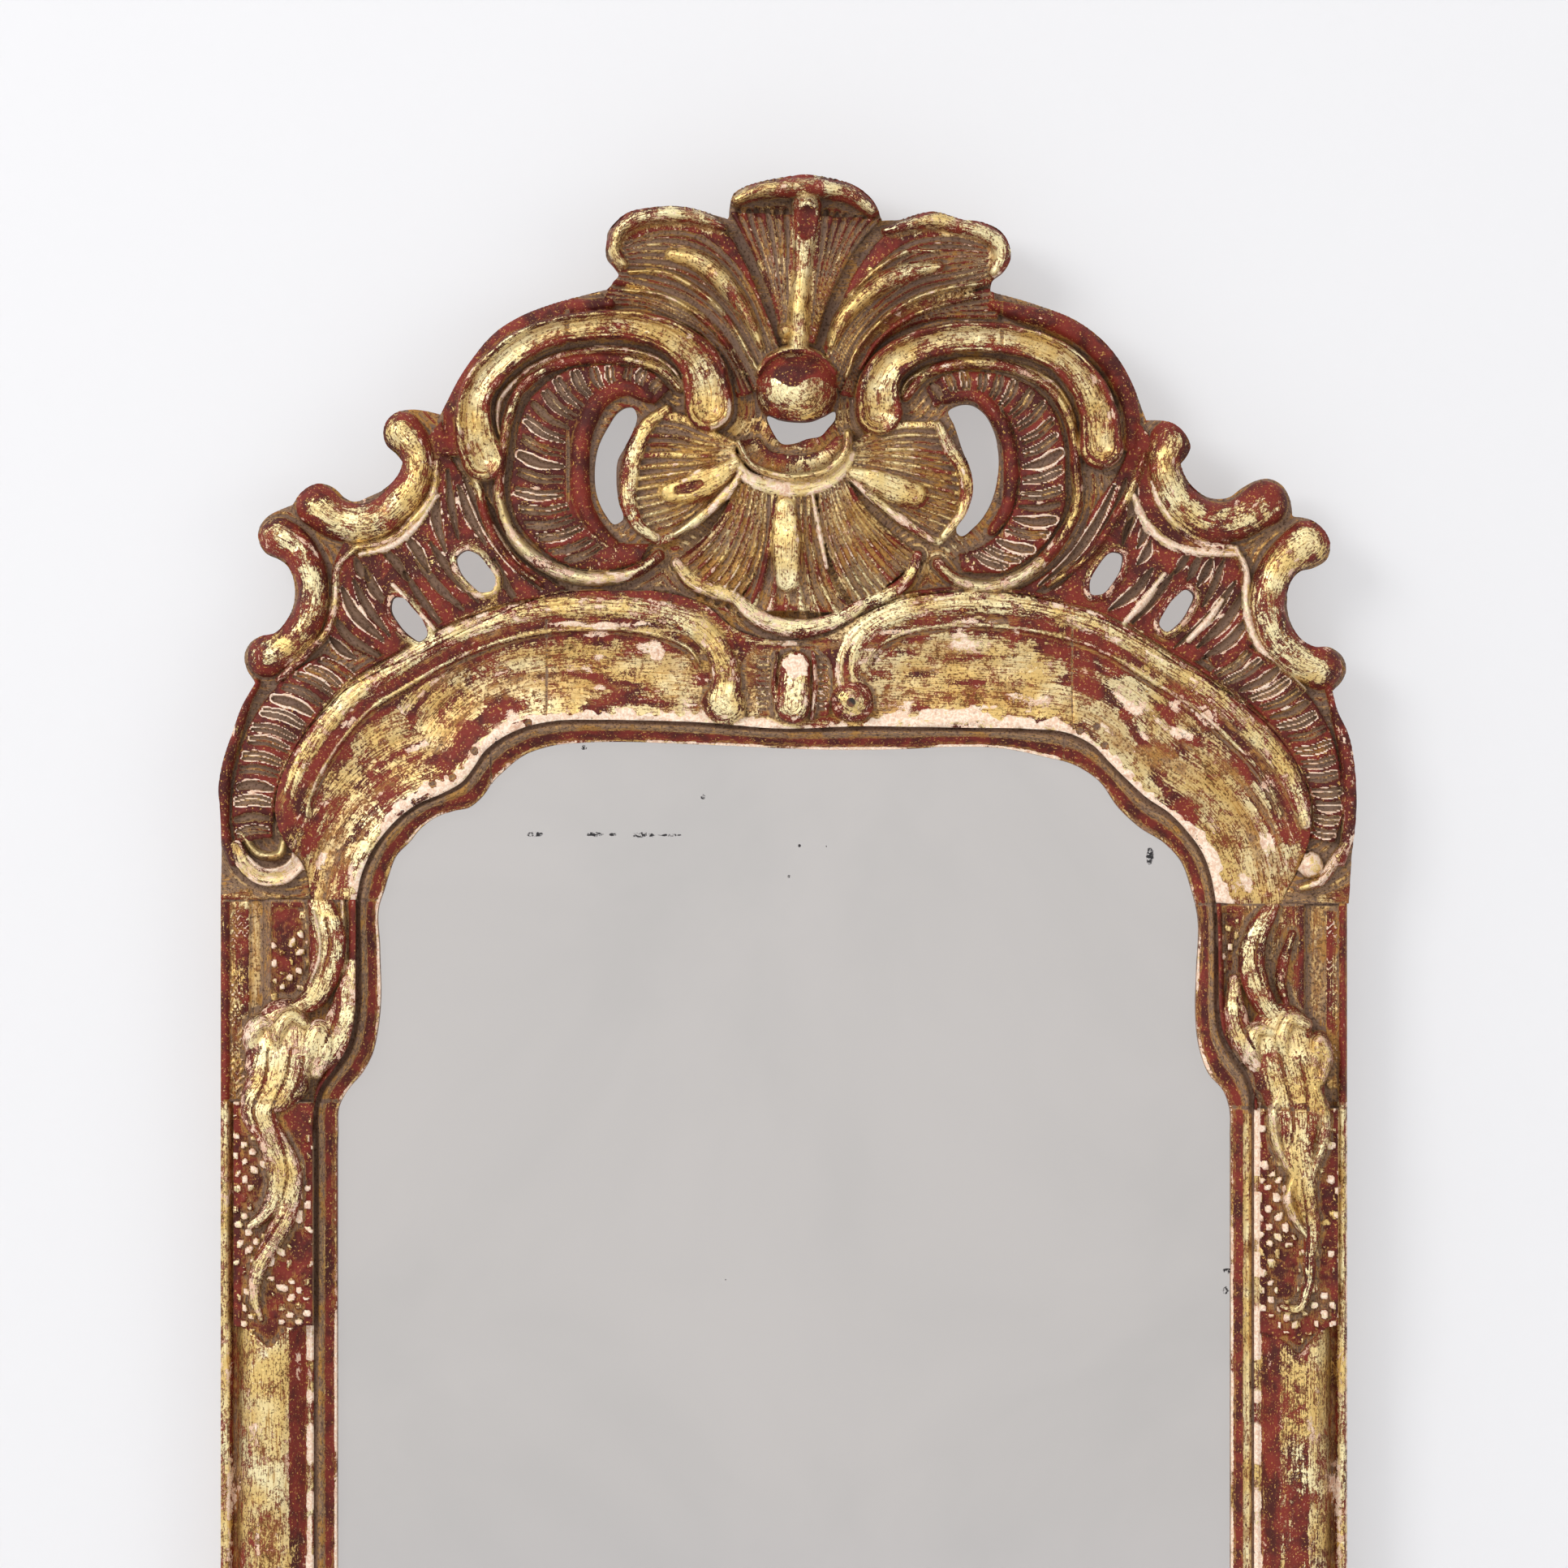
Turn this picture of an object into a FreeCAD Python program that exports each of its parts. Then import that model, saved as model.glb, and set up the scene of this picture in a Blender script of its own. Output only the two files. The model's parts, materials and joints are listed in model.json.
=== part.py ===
import FreeCAD
import Part

import math
import os

# A carved and gilded rococo wall mirror. A pine carcass of stiles and rails, halved and pegged at its
# corners, carries everything. Carved mouldings are glued to its front, a pierced crest of three boards
# stands above the arch, and thin strips frame the glass. The plate lies against the strips from behind,
# held by glued blocks and closed by nailed backboards. It hangs from an iron ring on the crest's batten.
#
# Axes: +X to the viewer's right, +Z up, the front faces -Y. The wall is the plane y = 0, and the origin
# is the point of the wall where the nail carries the lifted ring. All sizes are in millimetres.

V = FreeCAD.Vector

# Overall sizes. The sight opening and the carving are laid out by the frame's width.
FRAME_WIDTH = 400.0
FRAME_HEIGHT = 840.0
STRIP_WIDTH = 8.0

# Depths, measured forward from the wall.
CARCASS_THICK = 16.0
PLATE_THICK = 3.0
BACKBOARD_THICK = 6.0
BATTEN_THICK = 8.0

# Heights of the carving above the carcass's front.
CREST_BOARD = 9.0
BACK_OF_RIDGE = 4.0
SCROLL_HEIGHT = 20.0
SMALL_SCROLL_HEIGHT = 17.0
BORDER_HEIGHT = 13.0
RIM_HEIGHT = 14.0
SHELL_HEIGHT = 14.0
TONGUE_HEIGHT = 18.0
COLLAR_HEIGHT = 19.0
KNOB_HEIGHT = 24.0
KNOB_RADIUS = 13.8
PLUME_HEIGHT = 16.0
PLUME_RIM_HEIGHT = 21.0
FILLET_HEIGHT = 20.0
BEAD_HEIGHT = 14.0
COVE_FOOT = 13.0
COVE_FLOOR = 8.0
COVE_LIP = 11.0
CUSHION_HEIGHT = 19.0
CUSHION_FOOT = 9.0
EDGE_BEAD = 10.0
EDGE_GROOVE = 6.0
STRIP_HEIGHT = 9.0
STRIP_SIGHT_HEIGHT = 4.0
BLOCK_GROUND = 9.0
BLOCK_SWELL = 12.0
LEAF_HEIGHT = 19.0
STILE_LEAF_HEIGHT = 20.5
CARTOUCHE_HEIGHT = 17.0

# Carcass, glazing and back.
PLATE_OVERLAP = 6.0
PLATE_CLEARANCE = 1.0
PLATE_TOP_OVERLAP = 8.0
CARCASS_INSET = 1.0
LAP_LENGTH = 29.0
LAP_BELOW_JOINT = 12.0
PEG_RADIUS = 3.0
WOOD_FIT = 0.05
BACKBOARD_LAP = 7.0
BACKBOARD_GAP = 0.4
BACKBOARD_COUNT = 3
GLAZING_BLOCK_LENGTH = 30.0
GLAZING_BLOCK_WIDTH = 8.0
GLAZING_BLOCK_THICK = 6.0
BATTEN_HALF_LENGTH = 88.0
BATTEN_WIDTH = 16.0
UPRIGHT_WIDTH = 11.0
UPRIGHT_OUT = 84.0
NAIL_RADIUS = 0.8
NAIL_HEAD_RADIUS = 2.4
NAIL_HEAD_THICK = 1.0
NAIL_LENGTH = 13.0
NAIL_EDGE = 3.5
PIN_RADIUS = 1.6
PIN_LENGTH = 6.0
PIN_PROUD = 0.6

# Hanging ring and its staple.
RING_RADIUS = 11.0
RING_WIRE = 1.5
STAPLE_WIRE = 1.2
STAPLE_RUN = 0.4
STAPLE_STAND = 2.4
STAPLE_BITE = 7.0

# Bottom of the frame.
CARTOUCHE_HALF = 34.0
CARTOUCHE_DROP = 10.0
BOTTOM_RAIL_WIDTH = 33.0

# The photograph's frame: the sheet is read in pixels and laid out by the frame's width.
PHOTO_CENTRE_X = 966
PHOTO_FRAME_WIDTH = 1384
PHOTO_SIGHT_WIDTH = 1100
PHOTO_RING_Y = 412
PHOTO_TOP_Y = 218
PHOTO_ARCH_FOOT_Y = 1108
PHOTO_SHOULDER_FOOT_Y = 1355
PHOTO_CREST_JOINTS_X = (700, 1233)
PHOTO_CREST_JOINT_TOP_Y = 350
PHOTO_ARCH_JOINTS_X = (675, 1320)
PHOTO_STRIP_JOINTS_X = (605, 1310)
PHOTO_PIN = (1048, 866)
PHOTO_RAIL_END_Y = 965

# Crest outline, clockwise from the left foot. Each run is one smooth curve between two corners.
CREST_EDGE_PX = [
    [(274, 1108), (273, 1040), (272, 985), (276, 945), (286, 900), (300, 866), (313, 842)],
    [(313, 842), (305, 828), (303, 810), (310, 793), (328, 785), (346, 778), (358, 760), (364, 738),
     (363, 715), (354, 695), (338, 688), (325, 679), (320, 662), (326, 643), (342, 627), (360, 621)],
    [(360, 621), (370, 606), (390, 597), (410, 602), (426, 616)],
    [(426, 616), (443, 618), (466, 611), (486, 595), (497, 573)],
    [(497, 573), (482, 557), (474, 541), (477, 523), (492, 509), (515, 505), (544, 512)],
    [(544, 512), (556, 480), (578, 442), (608, 409), (645, 384), (695, 368), (752, 356)],
    [(752, 356), (761, 343), (756, 327), (747, 315), (750, 290), (766, 270), (800, 259), (840, 257),
     (872, 262), (898, 270)],
    [(898, 270), (901, 250), (914, 235), (945, 226), (985, 218), (1025, 224), (1060, 237), (1081, 258),
     (1087, 276)],
    [(1087, 276), (1118, 271), (1150, 263), (1182, 272), (1215, 278), (1238, 295), (1245, 318),
     (1236, 338), (1218, 354)],
    [(1218, 354), (1260, 371), (1305, 388), (1345, 417), (1378, 457), (1400, 500), (1408, 520)],
    [(1408, 520), (1440, 521), (1460, 536), (1464, 556), (1453, 572)],
    [(1453, 572), (1463, 595), (1485, 612), (1510, 615), (1530, 602)],
    [(1530, 602), (1545, 593), (1565, 591), (1584, 606), (1591, 636)],
    [(1591, 636), (1615, 641), (1635, 664), (1631, 689), (1608, 701), (1590, 716), (1583, 745),
     (1590, 772), (1608, 792), (1632, 797), (1652, 810), (1655, 830), (1640, 852)],
    [(1640, 852), (1655, 890), (1667, 930), (1670, 985), (1664, 1050), (1658, 1108)],
]

# Piercings of the crest, each one closed smooth curve.
CREST_HOLES_PX = [
    [(775, 503), (785, 514), (778, 545), (763, 570), (761, 600), (768, 640), (756, 644), (738, 618),
     (733, 580), (740, 537), (757, 512)],
    [(1168, 508), (1192, 499), (1216, 518), (1230, 556), (1227, 595), (1212, 635), (1182, 660),
     (1190, 630), (1199, 592), (1185, 548)],
    [(947, 514), (975, 522), (1005, 518), (1028, 509), (1024, 530), (1000, 543), (975, 549), (957, 538)],
    [(575, 678), (592, 686), (612, 712), (608, 728), (590, 728), (568, 705), (563, 688)],
    [(490, 736), (503, 741), (525, 769), (525, 788), (512, 789), (490, 767), (484, 750)],
    [(1372, 682), (1383, 693), (1371, 720), (1352, 734), (1340, 725), (1352, 698)],
    [(1460, 727), (1468, 740), (1455, 764), (1437, 778), (1427, 769), (1440, 742)],
]

# Stations along the arch, left foot to right foot: outer edge, lip and sight edge.
ARCH_STATIONS_PX = [
    ((386, 1108), (440, 1108), (467, 1108)), ((375, 1065), (446, 1080), (471, 1092)),
    ((352, 1035), (456, 1055), (482, 1070)), ((342, 1005), (472, 1030), (495, 1050)),
    ((344, 975), (492, 1008), (511, 1030)), ((352, 950), (515, 992), (528, 1012)),
    ((367, 922), (545, 978), (558, 1001)), ((382, 900), (573, 971), (590, 992)),
    ((400, 880), (582, 955), (603, 975)), ((428, 852), (593, 937), (612, 960)),
    ((462, 832), (612, 920), (627, 944)), ((520, 806), (640, 906), (648, 929)),
    ((600, 766), (680, 897), (685, 917)), ((680, 735), (740, 893), (740, 914)),
    ((760, 729), (800, 893), (800, 917)), ((820, 731), (840, 896), (840, 919)),
    ((870, 747), (880, 899), (880, 920)), ((905, 775), (920, 901), (920, 922)),
    ((966, 790), (966, 903), (966, 925)), ((1025, 777), (1010, 903), (1010, 925)),
    ((1050, 765), (1050, 901), (1050, 924)), ((1095, 745), (1100, 898), (1100, 922)),
    ((1150, 733), (1150, 897), (1150, 920)), ((1210, 731), (1200, 897), (1200, 919)),
    ((1260, 735), (1240, 899), (1240, 922)), ((1310, 747), (1275, 902), (1268, 926)),
    ((1360, 766), (1310, 908), (1298, 932)), ((1410, 794), (1340, 919), (1325, 944)),
    ((1450, 820), (1365, 937), (1348, 960)), ((1490, 842), (1387, 960), (1372, 985)),
    ((1530, 869), (1412, 982), (1398, 1008)), ((1565, 901), (1440, 1002), (1425, 1028)),
    ((1592, 937), (1463, 1022), (1446, 1043)), ((1609, 975), (1480, 1048), (1460, 1068)),
    ((1612, 1025), (1491, 1078), (1469, 1090)), ((1578, 1108), (1498, 1108), (1475, 1108)),
]

# Stations down each shoulder below the arch's foot: lip and sight edge. The last one is the stile's own.
SHOULDER_LEFT_PX = [
    ((440, 1108), (467, 1108)), ((441, 1150), (467, 1150)), ((442, 1200), (469, 1205)),
    ((441, 1240), (468, 1250)), ((437, 1268), (464, 1282)), ((424, 1292), (455, 1306)),
    ((405, 1314), (438, 1328)), ((392, 1336), (423, 1344)),
]
SHOULDER_RIGHT_PX = [
    ((1498, 1108), (1475, 1108)), ((1499, 1150), (1474, 1150)), ((1500, 1200), (1472, 1205)),
    ((1501, 1243), (1473, 1250)), ((1505, 1270), (1477, 1284)), ((1516, 1294), (1487, 1310)),
    ((1532, 1316), (1499, 1330)), ((1541, 1337), (1510, 1346)),
]

# Ridges of the crest: centre line, half widths at its start, middle and end, and height.
CREST_RIDGES_PX = [
    ([(873, 502), (880, 475), (866, 446), (835, 420), (780, 404), (710, 406), (650, 428), (603, 468),
      (583, 515), (592, 565)], (29, 20, 26), SCROLL_HEIGHT),
    ([(1085, 506), (1080, 476), (1096, 446), (1130, 424), (1190, 415), (1255, 421), (1310, 446),
      (1343, 484), (1355, 525), (1357, 562)], (29, 20, 26), SCROLL_HEIGHT),
    ([(500, 533), (516, 570), (506, 605), (475, 636), (440, 645), (397, 622)], (26, 23, 26),
     SMALL_SCROLL_HEIGHT),
    ([(347, 662), (376, 684), (387, 725), (380, 765), (357, 792), (332, 810)], (26, 22, 25),
     SMALL_SCROLL_HEIGHT),
    ([(1438, 546), (1432, 575), (1445, 612), (1475, 638), (1515, 644), (1556, 622)], (25, 24, 28),
     SMALL_SCROLL_HEIGHT),
    ([(1605, 672), (1576, 694), (1562, 735), (1567, 778), (1590, 806), (1624, 824)], (30, 23, 28),
     SMALL_SCROLL_HEIGHT),
    ([(420, 832), (365, 875), (325, 935), (308, 990), (312, 1040), (338, 1064)], (26, 28, 18),
     BORDER_HEIGHT),
    ([(1512, 802), (1560, 842), (1600, 885), (1624, 940), (1630, 1000), (1602, 1064)], (26, 28, 18),
     BORDER_HEIGHT),
    ([(800, 468), (745, 463), (695, 487), (669, 520), (664, 585), (675, 645), (712, 680), (770, 692)],
     (16, 30, 16), BORDER_HEIGHT),
    ([(1150, 478), (1205, 466), (1255, 485), (1285, 525), (1295, 590), (1280, 655), (1240, 692),
      (1175, 692)], (16, 30, 16), BORDER_HEIGHT),
    ([(915, 575), (870, 585), (820, 595), (772, 600)], (20, 56, 52), SHELL_HEIGHT),
    ([(1035, 580), (1080, 590), (1135, 598), (1190, 602)], (20, 54, 52), SHELL_HEIGHT),
    ([(900, 600), (880, 660), (850, 710)], (16, 44, 34), SHELL_HEIGHT),
    ([(1040, 605), (1070, 660), (1105, 705)], (16, 44, 34), SHELL_HEIGHT),
    ([(968, 590), (968, 680), (968, 774)], (30, 62, 62), SHELL_HEIGHT),
    ([(905, 560), (880, 590), (845, 606), (812, 604)], (8, 15, 14), TONGUE_HEIGHT),
    ([(1050, 582), (1090, 600), (1125, 608), (1142, 608)], (8, 14, 15), TONGUE_HEIGHT),
    ([(968, 618), (968, 670), (968, 724)], (16, 18, 19), TONGUE_HEIGHT),
    ([(916, 552), (940, 576), (978, 588), (1015, 578), (1038, 548)], (9, 17, 12), COLLAR_HEIGHT),
    ([(985, 430), (988, 340), (990, 250)], (30, 60, 84), PLUME_HEIGHT),
    ([(940, 430), (905, 360), (850, 315), (757, 305)], (14, 46, 40), PLUME_HEIGHT),
    ([(1030, 430), (1075, 360), (1130, 325), (1236, 318)], (14, 46, 38), PLUME_HEIGHT),
    ([(908, 246), (950, 236), (990, 231), (1035, 237), (1077, 256)], (9, 11, 9), PLUME_RIM_HEIGHT),
    ([(890, 280), (830, 270), (775, 282), (762, 312), (790, 332)], (8, 11, 8), PLUME_RIM_HEIGHT),
    ([(1092, 286), (1150, 276), (1215, 292), (1230, 320), (1200, 344)], (8, 12, 8), PLUME_RIM_HEIGHT),
    ([(985, 425), (988, 350), (990, 266)], (19, 17, 20), PLUME_RIM_HEIGHT),
    ([(925, 420), (900, 360), (860, 325), (820, 312)], (9, 15, 12), PLUME_RIM_HEIGHT),
    ([(1030, 425), (1060, 370), (1105, 338), (1152, 332)], (9, 14, 10), PLUME_RIM_HEIGHT),
]
CREST_KNOB_PX = (982, 478)

# Ridges of the arch: the fillet scrolls with their thin inner beads, and the tongue between the curls.
ARCH_RIDGES_PX = [
    ([(893, 888), (898, 835), (888, 790), (858, 762), (800, 748), (720, 750), (640, 760), (560, 792),
      (480, 826)], (24, 15, 5), FILLET_HEIGHT),
    ([(368, 1050), (353, 1005), (360, 955), (392, 908), (440, 864), (500, 842), (560, 820)],
     (14, 15, 5), FILLET_HEIGHT),
    ([(560, 812), (640, 785), (730, 772), (810, 778), (858, 806), (868, 850)], (5, 6, 5), BEAD_HEIGHT),
    ([(1048, 890), (1042, 835), (1052, 795), (1085, 768), (1140, 752), (1220, 749), (1300, 762),
      (1380, 793), (1450, 838)], (26, 15, 5), FILLET_HEIGHT),
    ([(1600, 1050), (1606, 1000), (1592, 950), (1556, 900), (1510, 868), (1455, 846), (1410, 830)],
     (14, 15, 5), FILLET_HEIGHT),
    ([(1400, 822), (1330, 794), (1240, 778), (1150, 780), (1095, 800), (1076, 845)], (5, 6, 5),
     BEAD_HEIGHT),
    ([(975, 803), (975, 845), (975, 892)], (18, 23, 30), FILLET_HEIGHT),
]

# Leaves on the shoulders and the upper stiles.
SHOULDER_LEAVES_PX = {
    "left": [
        ([(388, 1118), (405, 1150), (405, 1190), (385, 1235)], (12, 18, 14)),
        ([(430, 1200), (422, 1250), (380, 1292), (330, 1340)], (10, 22, 24)),
    ],
    "right": [
        ([(1562, 1122), (1545, 1160), (1548, 1205), (1580, 1255)], (12, 18, 14)),
        ([(1514, 1215), (1524, 1262), (1562, 1300), (1600, 1342)], (12, 22, 26)),
    ],
}
STILE_LEAVES_PX = {
    "left": [([(325, 1366), (345, 1420), (345, 1480), (330, 1540), (322, 1625)], (24, 22, 5))],
    "right": [([(1590, 1366), (1592, 1430), (1605, 1500), (1610, 1570), (1575, 1615)], (30, 26, 6))],
}

# Outer edge of the top rail's board behind the arch, from its left end to the middle.
TOP_RAIL_EDGE_PX = [
    (300, 912), (335, 866), (430, 850), (520, 812), (600, 775), (700, 745), (800, 742), (860, 757),
    (905, 785), (966, 800),
]

# Cross sections: shares of the width, from the outer edge inward, and shares of the height.
ROUND_ACROSS_SHARES = (0.0, 0.22, 0.5, 0.78, 1.0)
ROUND_RISE_SHARES = (0.45, 0.9, 1.0, 0.9, 0.45)
CAP_SHARES = (0.06, 0.3, 0.7)
MIN_CAP_SHARE = 0.35
COVE_SHARES = (0.0, 0.22, 0.45, 0.75, 0.92, 1.0)
STRIP_SHARES = (0.0, 0.4, 1.0)
BLOCK_SHARES = (0.0, 0.08, 0.13, 0.3, 0.7, 1.0)
EDGE_SHARES = (0.0, 0.1, 0.16, 0.2)
CUSHION_ACROSS_SHARES = (0.3, 0.4, 0.55, 0.7, 0.84)
CUSHION_RISE_SHARES = (0.62, 0.86, 1.0, 0.95, 0.72)
CUSHION_FOOT_SHARES = (0.94, 1.0)

# Plate and nails: shares of half the sight width and of the plate's flat top.
PLATE_TOP_SHARE = 0.59
PLATE_CLIP_SHARE = 0.36
END_NAIL_SHARES = (-0.67, 0.0, 0.67)

# Values worked out from those above.
MM_PER_PX = FRAME_WIDTH / PHOTO_FRAME_WIDTH
RING_AXIS_Z = -(2 * RING_RADIUS - RING_WIRE)
FRONT = -CARCASS_THICK
HALF_WIDTH = FRAME_WIDTH / 2
SIGHT_HALF = PHOTO_SIGHT_WIDTH * MM_PER_PX / 2
LIP_HALF = SIGHT_HALF + STRIP_WIDTH
PLATE_TOP_HALF = SIGHT_HALF * PLATE_TOP_SHARE
PLATE_CLIP_HEIGHT = SIGHT_HALF * PLATE_CLIP_SHARE
CUT_MARGIN = FRAME_WIDTH


def place(point):
    """Pixel of the photograph to (x, z) of the frame."""
    x, y = point
    return ((x - PHOTO_CENTRE_X) * MM_PER_PX, RING_AXIS_Z + (PHOTO_RING_Y - y) * MM_PER_PX)


def height_at(pixel_y):
    return place((PHOTO_CENTRE_X, pixel_y))[1]


def across_at(pixel_x):
    return place((pixel_x, PHOTO_RING_Y))[0]


TOP_Z = height_at(PHOTO_TOP_Y)
LOW_Z = TOP_Z - FRAME_HEIGHT
BOTTOM_Z = LOW_Z + CARTOUCHE_DROP
ARCH_FOOT_Z = height_at(PHOTO_ARCH_FOOT_Y)
SHOULDER_FOOT_Z = height_at(PHOTO_SHOULDER_FOOT_Y)
BOTTOM_LIP_Z = BOTTOM_Z + BOTTOM_RAIL_WIDTH
BOTTOM_SIGHT_Z = BOTTOM_LIP_Z + STRIP_WIDTH
SIGHT_TOP_Z = max(height_at(station[2][1]) for station in ARCH_STATIONS_PX)
STAPLE_Y = -CARCASS_THICK + BATTEN_THICK + STAPLE_STAND
BATTEN_BACK = FRONT + BATTEN_THICK


def spline(points, closed=False):
    """Smooth curve through (x, z) points, in the plane y = 0."""
    curve = Part.BSplineCurve()
    curve.interpolate(Points=[V(x, 0, z) for x, z in points], PeriodicFlag=closed)
    return curve


def prism(outline, back, front):
    """Extrudes a flat outline drawn at y = 0 from y = back to y = front."""
    solid = Part.Face(outline).extrude(V(0, front - back, 0))
    solid.translate(V(0, back, 0))
    return solid


def polygon(points):
    return Part.makePolygon([V(x, 0, z) for x, z in points + points[:1]])


def board(points, back, front):
    return prism(polygon(points), back, front)


def oblong(x_a, x_b, z_low, z_high):
    return [(x_a, z_low), (x_b, z_low), (x_b, z_high), (x_a, z_high)]


def section(start, end, profile, base):
    """Cross section standing on y = base between two (x, z) points; profile is (share across, height)."""
    points = [V(start[0], base, start[1])]
    for share, height in profile:
        x = start[0] + (end[0] - start[0]) * share
        z = start[1] + (end[1] - start[1]) * share
        points.append(V(x, FRONT - height, z))
    points.append(V(end[0], base, end[1]))
    return Part.makePolygon(points + points[:1])


def band(edge_a, edge_b, profile):
    """Strip of moulding between two edges that have a point at each station."""
    sections = [section(a, b, profile, FRONT) for a, b in zip(edge_a, edge_b)]
    return Part.makeLoft(sections, True, True)


def ridge(points_px, widths_px, height):
    """Half-round carved ridge along a smooth centre line, with rounded ends."""
    line = spline([place(p) for p in points_px])
    length = line.length()
    start, middle, end = [w * MM_PER_PX for w in widths_px]
    steps = len(points_px) + 1
    inner = [start + (length - start - end) * i / steps for i in range(steps + 1)]
    stations = [(c * start, start) for c in CAP_SHARES] + [(d, None) for d in inner]
    stations += [(length - c * end, end) for c in reversed(CAP_SHARES)]
    sections = []
    for distance, cap in stations:
        share = distance / length
        if share < 1 / 2:
            half = start + (middle - start) * 2 * share
        else:
            half = middle + (end - middle) * (2 * share - 1)
        lift = 1.0
        if cap:
            near = min(distance, length - distance) / cap
            round_share = math.sqrt(1 - (1 - near) ** 2)
            half = half * round_share
            lift = max(MIN_CAP_SHARE, round_share)
        parameter = line.parameterAtDistance(distance, line.FirstParameter)
        centre = line.value(parameter)
        along = line.tangent(parameter)[0]
        side = V(-along.z, 0, along.x) * half
        a, b = centre - side, centre + side
        top = (height - BACK_OF_RIDGE) * lift
        rise = [BACK_OF_RIDGE + top * share for share in ROUND_RISE_SHARES]
        profile = list(zip(ROUND_ACROSS_SHARES, rise))
        sections.append(section((a.x, a.z), (b.x, b.z), profile, FRONT - BACK_OF_RIDGE))
    return Part.makeLoft(sections, True, True)


def slab(x_low, x_high, z_high):
    """Block that holds everything between two upright planes, up to a height."""
    z_low = LOW_Z - CUT_MARGIN
    return board(oblong(x_low, x_high, z_low, z_high), CUT_MARGIN, -CUT_MARGIN)


def split(shape, joints_px, z_high=CUT_MARGIN):
    """Left, centre and right pieces of a run; above z_high all belongs to the centre."""
    left_x, right_x = [across_at(x) for x in joints_px]
    left = slab(left_x - CUT_MARGIN, left_x, z_high)
    right = slab(right_x, right_x + CUT_MARGIN, z_high)
    return shape.common(left), shape.cut([left, right]), shape.common(right)


def rod(x, z, radius, y_from, y_to):
    return Part.makeCylinder(radius, abs(y_to - y_from), V(x, y_from, z), V(0, y_to - y_from, 0))


def nail(x, z, head_y, slack=0.0):
    """Forged nail driven forward from y = head_y with its head flush; slack makes the hole for it."""
    head = rod(x, z, NAIL_HEAD_RADIUS + slack, head_y, head_y - NAIL_HEAD_THICK - slack)
    return head.fuse(rod(x, z, NAIL_RADIUS + slack, head_y, head_y - NAIL_LENGTH - slack))


def without(shape, tools):
    """The shape with each tool that reaches it cut away."""
    near = [t for t in tools if shape.BoundBox.intersect(t.BoundBox)]
    return shape.cut(near) if near else shape


def mirrored(points):
    return [(-x, z) for x, z in points]


# Front of the frame.

def arch_edges():
    return [[place(station[i]) for station in ARCH_STATIONS_PX] for i in range(3)]


def dome(centre_px, radius, height):
    """Round boss: a ball that meets the carving's ground in a circle of the given radius."""
    x, z = place(centre_px)
    rise = height - BACK_OF_RIDGE
    ball = (radius * radius + rise * rise) / (2 * rise)
    wide = 2 * ball
    above = board(oblong(x - wide, x + wide, z - wide, z + wide), FRONT - BACK_OF_RIDGE, -CUT_MARGIN)
    return Part.makeSphere(ball, V(x, FRONT - height + ball, z)).common(above)


def crest_boards():
    """Pierced crest: one flat board with its carving raised on it, jointed into three."""
    runs = [spline([place(p) for p in run]).toShape() for run in CREST_EDGE_PX]
    foot = [place(CREST_EDGE_PX[-1][-1])] + arch_edges()[0][::-1] + [place(CREST_EDGE_PX[0][0])]
    outline = Part.Wire(runs + Part.makePolygon([V(x, 0, z) for x, z in foot]).Edges)
    carved = prism(outline, FRONT, FRONT - CREST_BOARD)
    raised = [ridge(line, widths, height) for line, widths, height in CREST_RIDGES_PX]
    raised.append(dome(CREST_KNOB_PX, KNOB_RADIUS, KNOB_HEIGHT))
    carved = carved.fuse(raised).common(prism(outline, CUT_MARGIN, -CUT_MARGIN))
    holes = [Part.Wire(spline([place(p) for p in hole], closed=True).toShape()) for hole in CREST_HOLES_PX]
    carved = carved.cut([prism(hole, CUT_MARGIN, -CUT_MARGIN) for hole in holes])
    return split(carved, PHOTO_CREST_JOINTS_X, height_at(PHOTO_CREST_JOINT_TOP_Y))


def arch_mouldings():
    """Hollow moulding of the arch with its fillet scrolls, jointed into three."""
    outer, lip, _ = arch_edges()
    heights = (COVE_FOOT, (COVE_FOOT + COVE_FLOOR) / 2, COVE_FLOOR, COVE_FLOOR, COVE_LIP, COVE_LIP)
    cove = band(outer, lip, list(zip(COVE_SHARES, heights)))
    reach = board(outer + lip[::-1], FRONT, -CUT_MARGIN)
    ridges = [ridge(*entry).common(reach) for entry in ARCH_RIDGES_PX]
    pin_x, pin_z = place(PHOTO_PIN)
    pin_hole = rod(pin_x, pin_z, PIN_RADIUS + WOOD_FIT, -CUT_MARGIN, pin_bottom() + WOOD_FIT)
    return split(cove.fuse(ridges).cut(pin_hole), PHOTO_ARCH_JOINTS_X)


def pin_bottom():
    return FRONT - FILLET_HEIGHT + PIN_LENGTH - PIN_PROUD


def arch_pin():
    x, z = place(PHOTO_PIN)
    return rod(x, z, PIN_RADIUS, pin_bottom(), pin_bottom() - PIN_LENGTH)


def arch_strips():
    _, lip, sight = arch_edges()
    return split(band(lip, sight, strip_profile()), PHOTO_STRIP_JOINTS_X)


def strip_profile():
    return list(zip(STRIP_SHARES, (STRIP_HEIGHT, STRIP_HEIGHT, STRIP_SIGHT_HEIGHT)))


def moulding_profile():
    """From the outer edge: a bead, a groove, the broad cushion and a foot against the strip."""
    edge = list(zip(EDGE_SHARES, (EDGE_BEAD, EDGE_BEAD, EDGE_GROOVE, EDGE_GROOVE)))
    swell = CUSHION_HEIGHT - CUSHION_FOOT
    rise = [CUSHION_FOOT + swell * share for share in CUSHION_RISE_SHARES]
    foot = [(share, CUSHION_FOOT) for share in CUSHION_FOOT_SHARES]
    return edge + list(zip(CUSHION_ACROSS_SHARES, rise)) + foot


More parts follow.
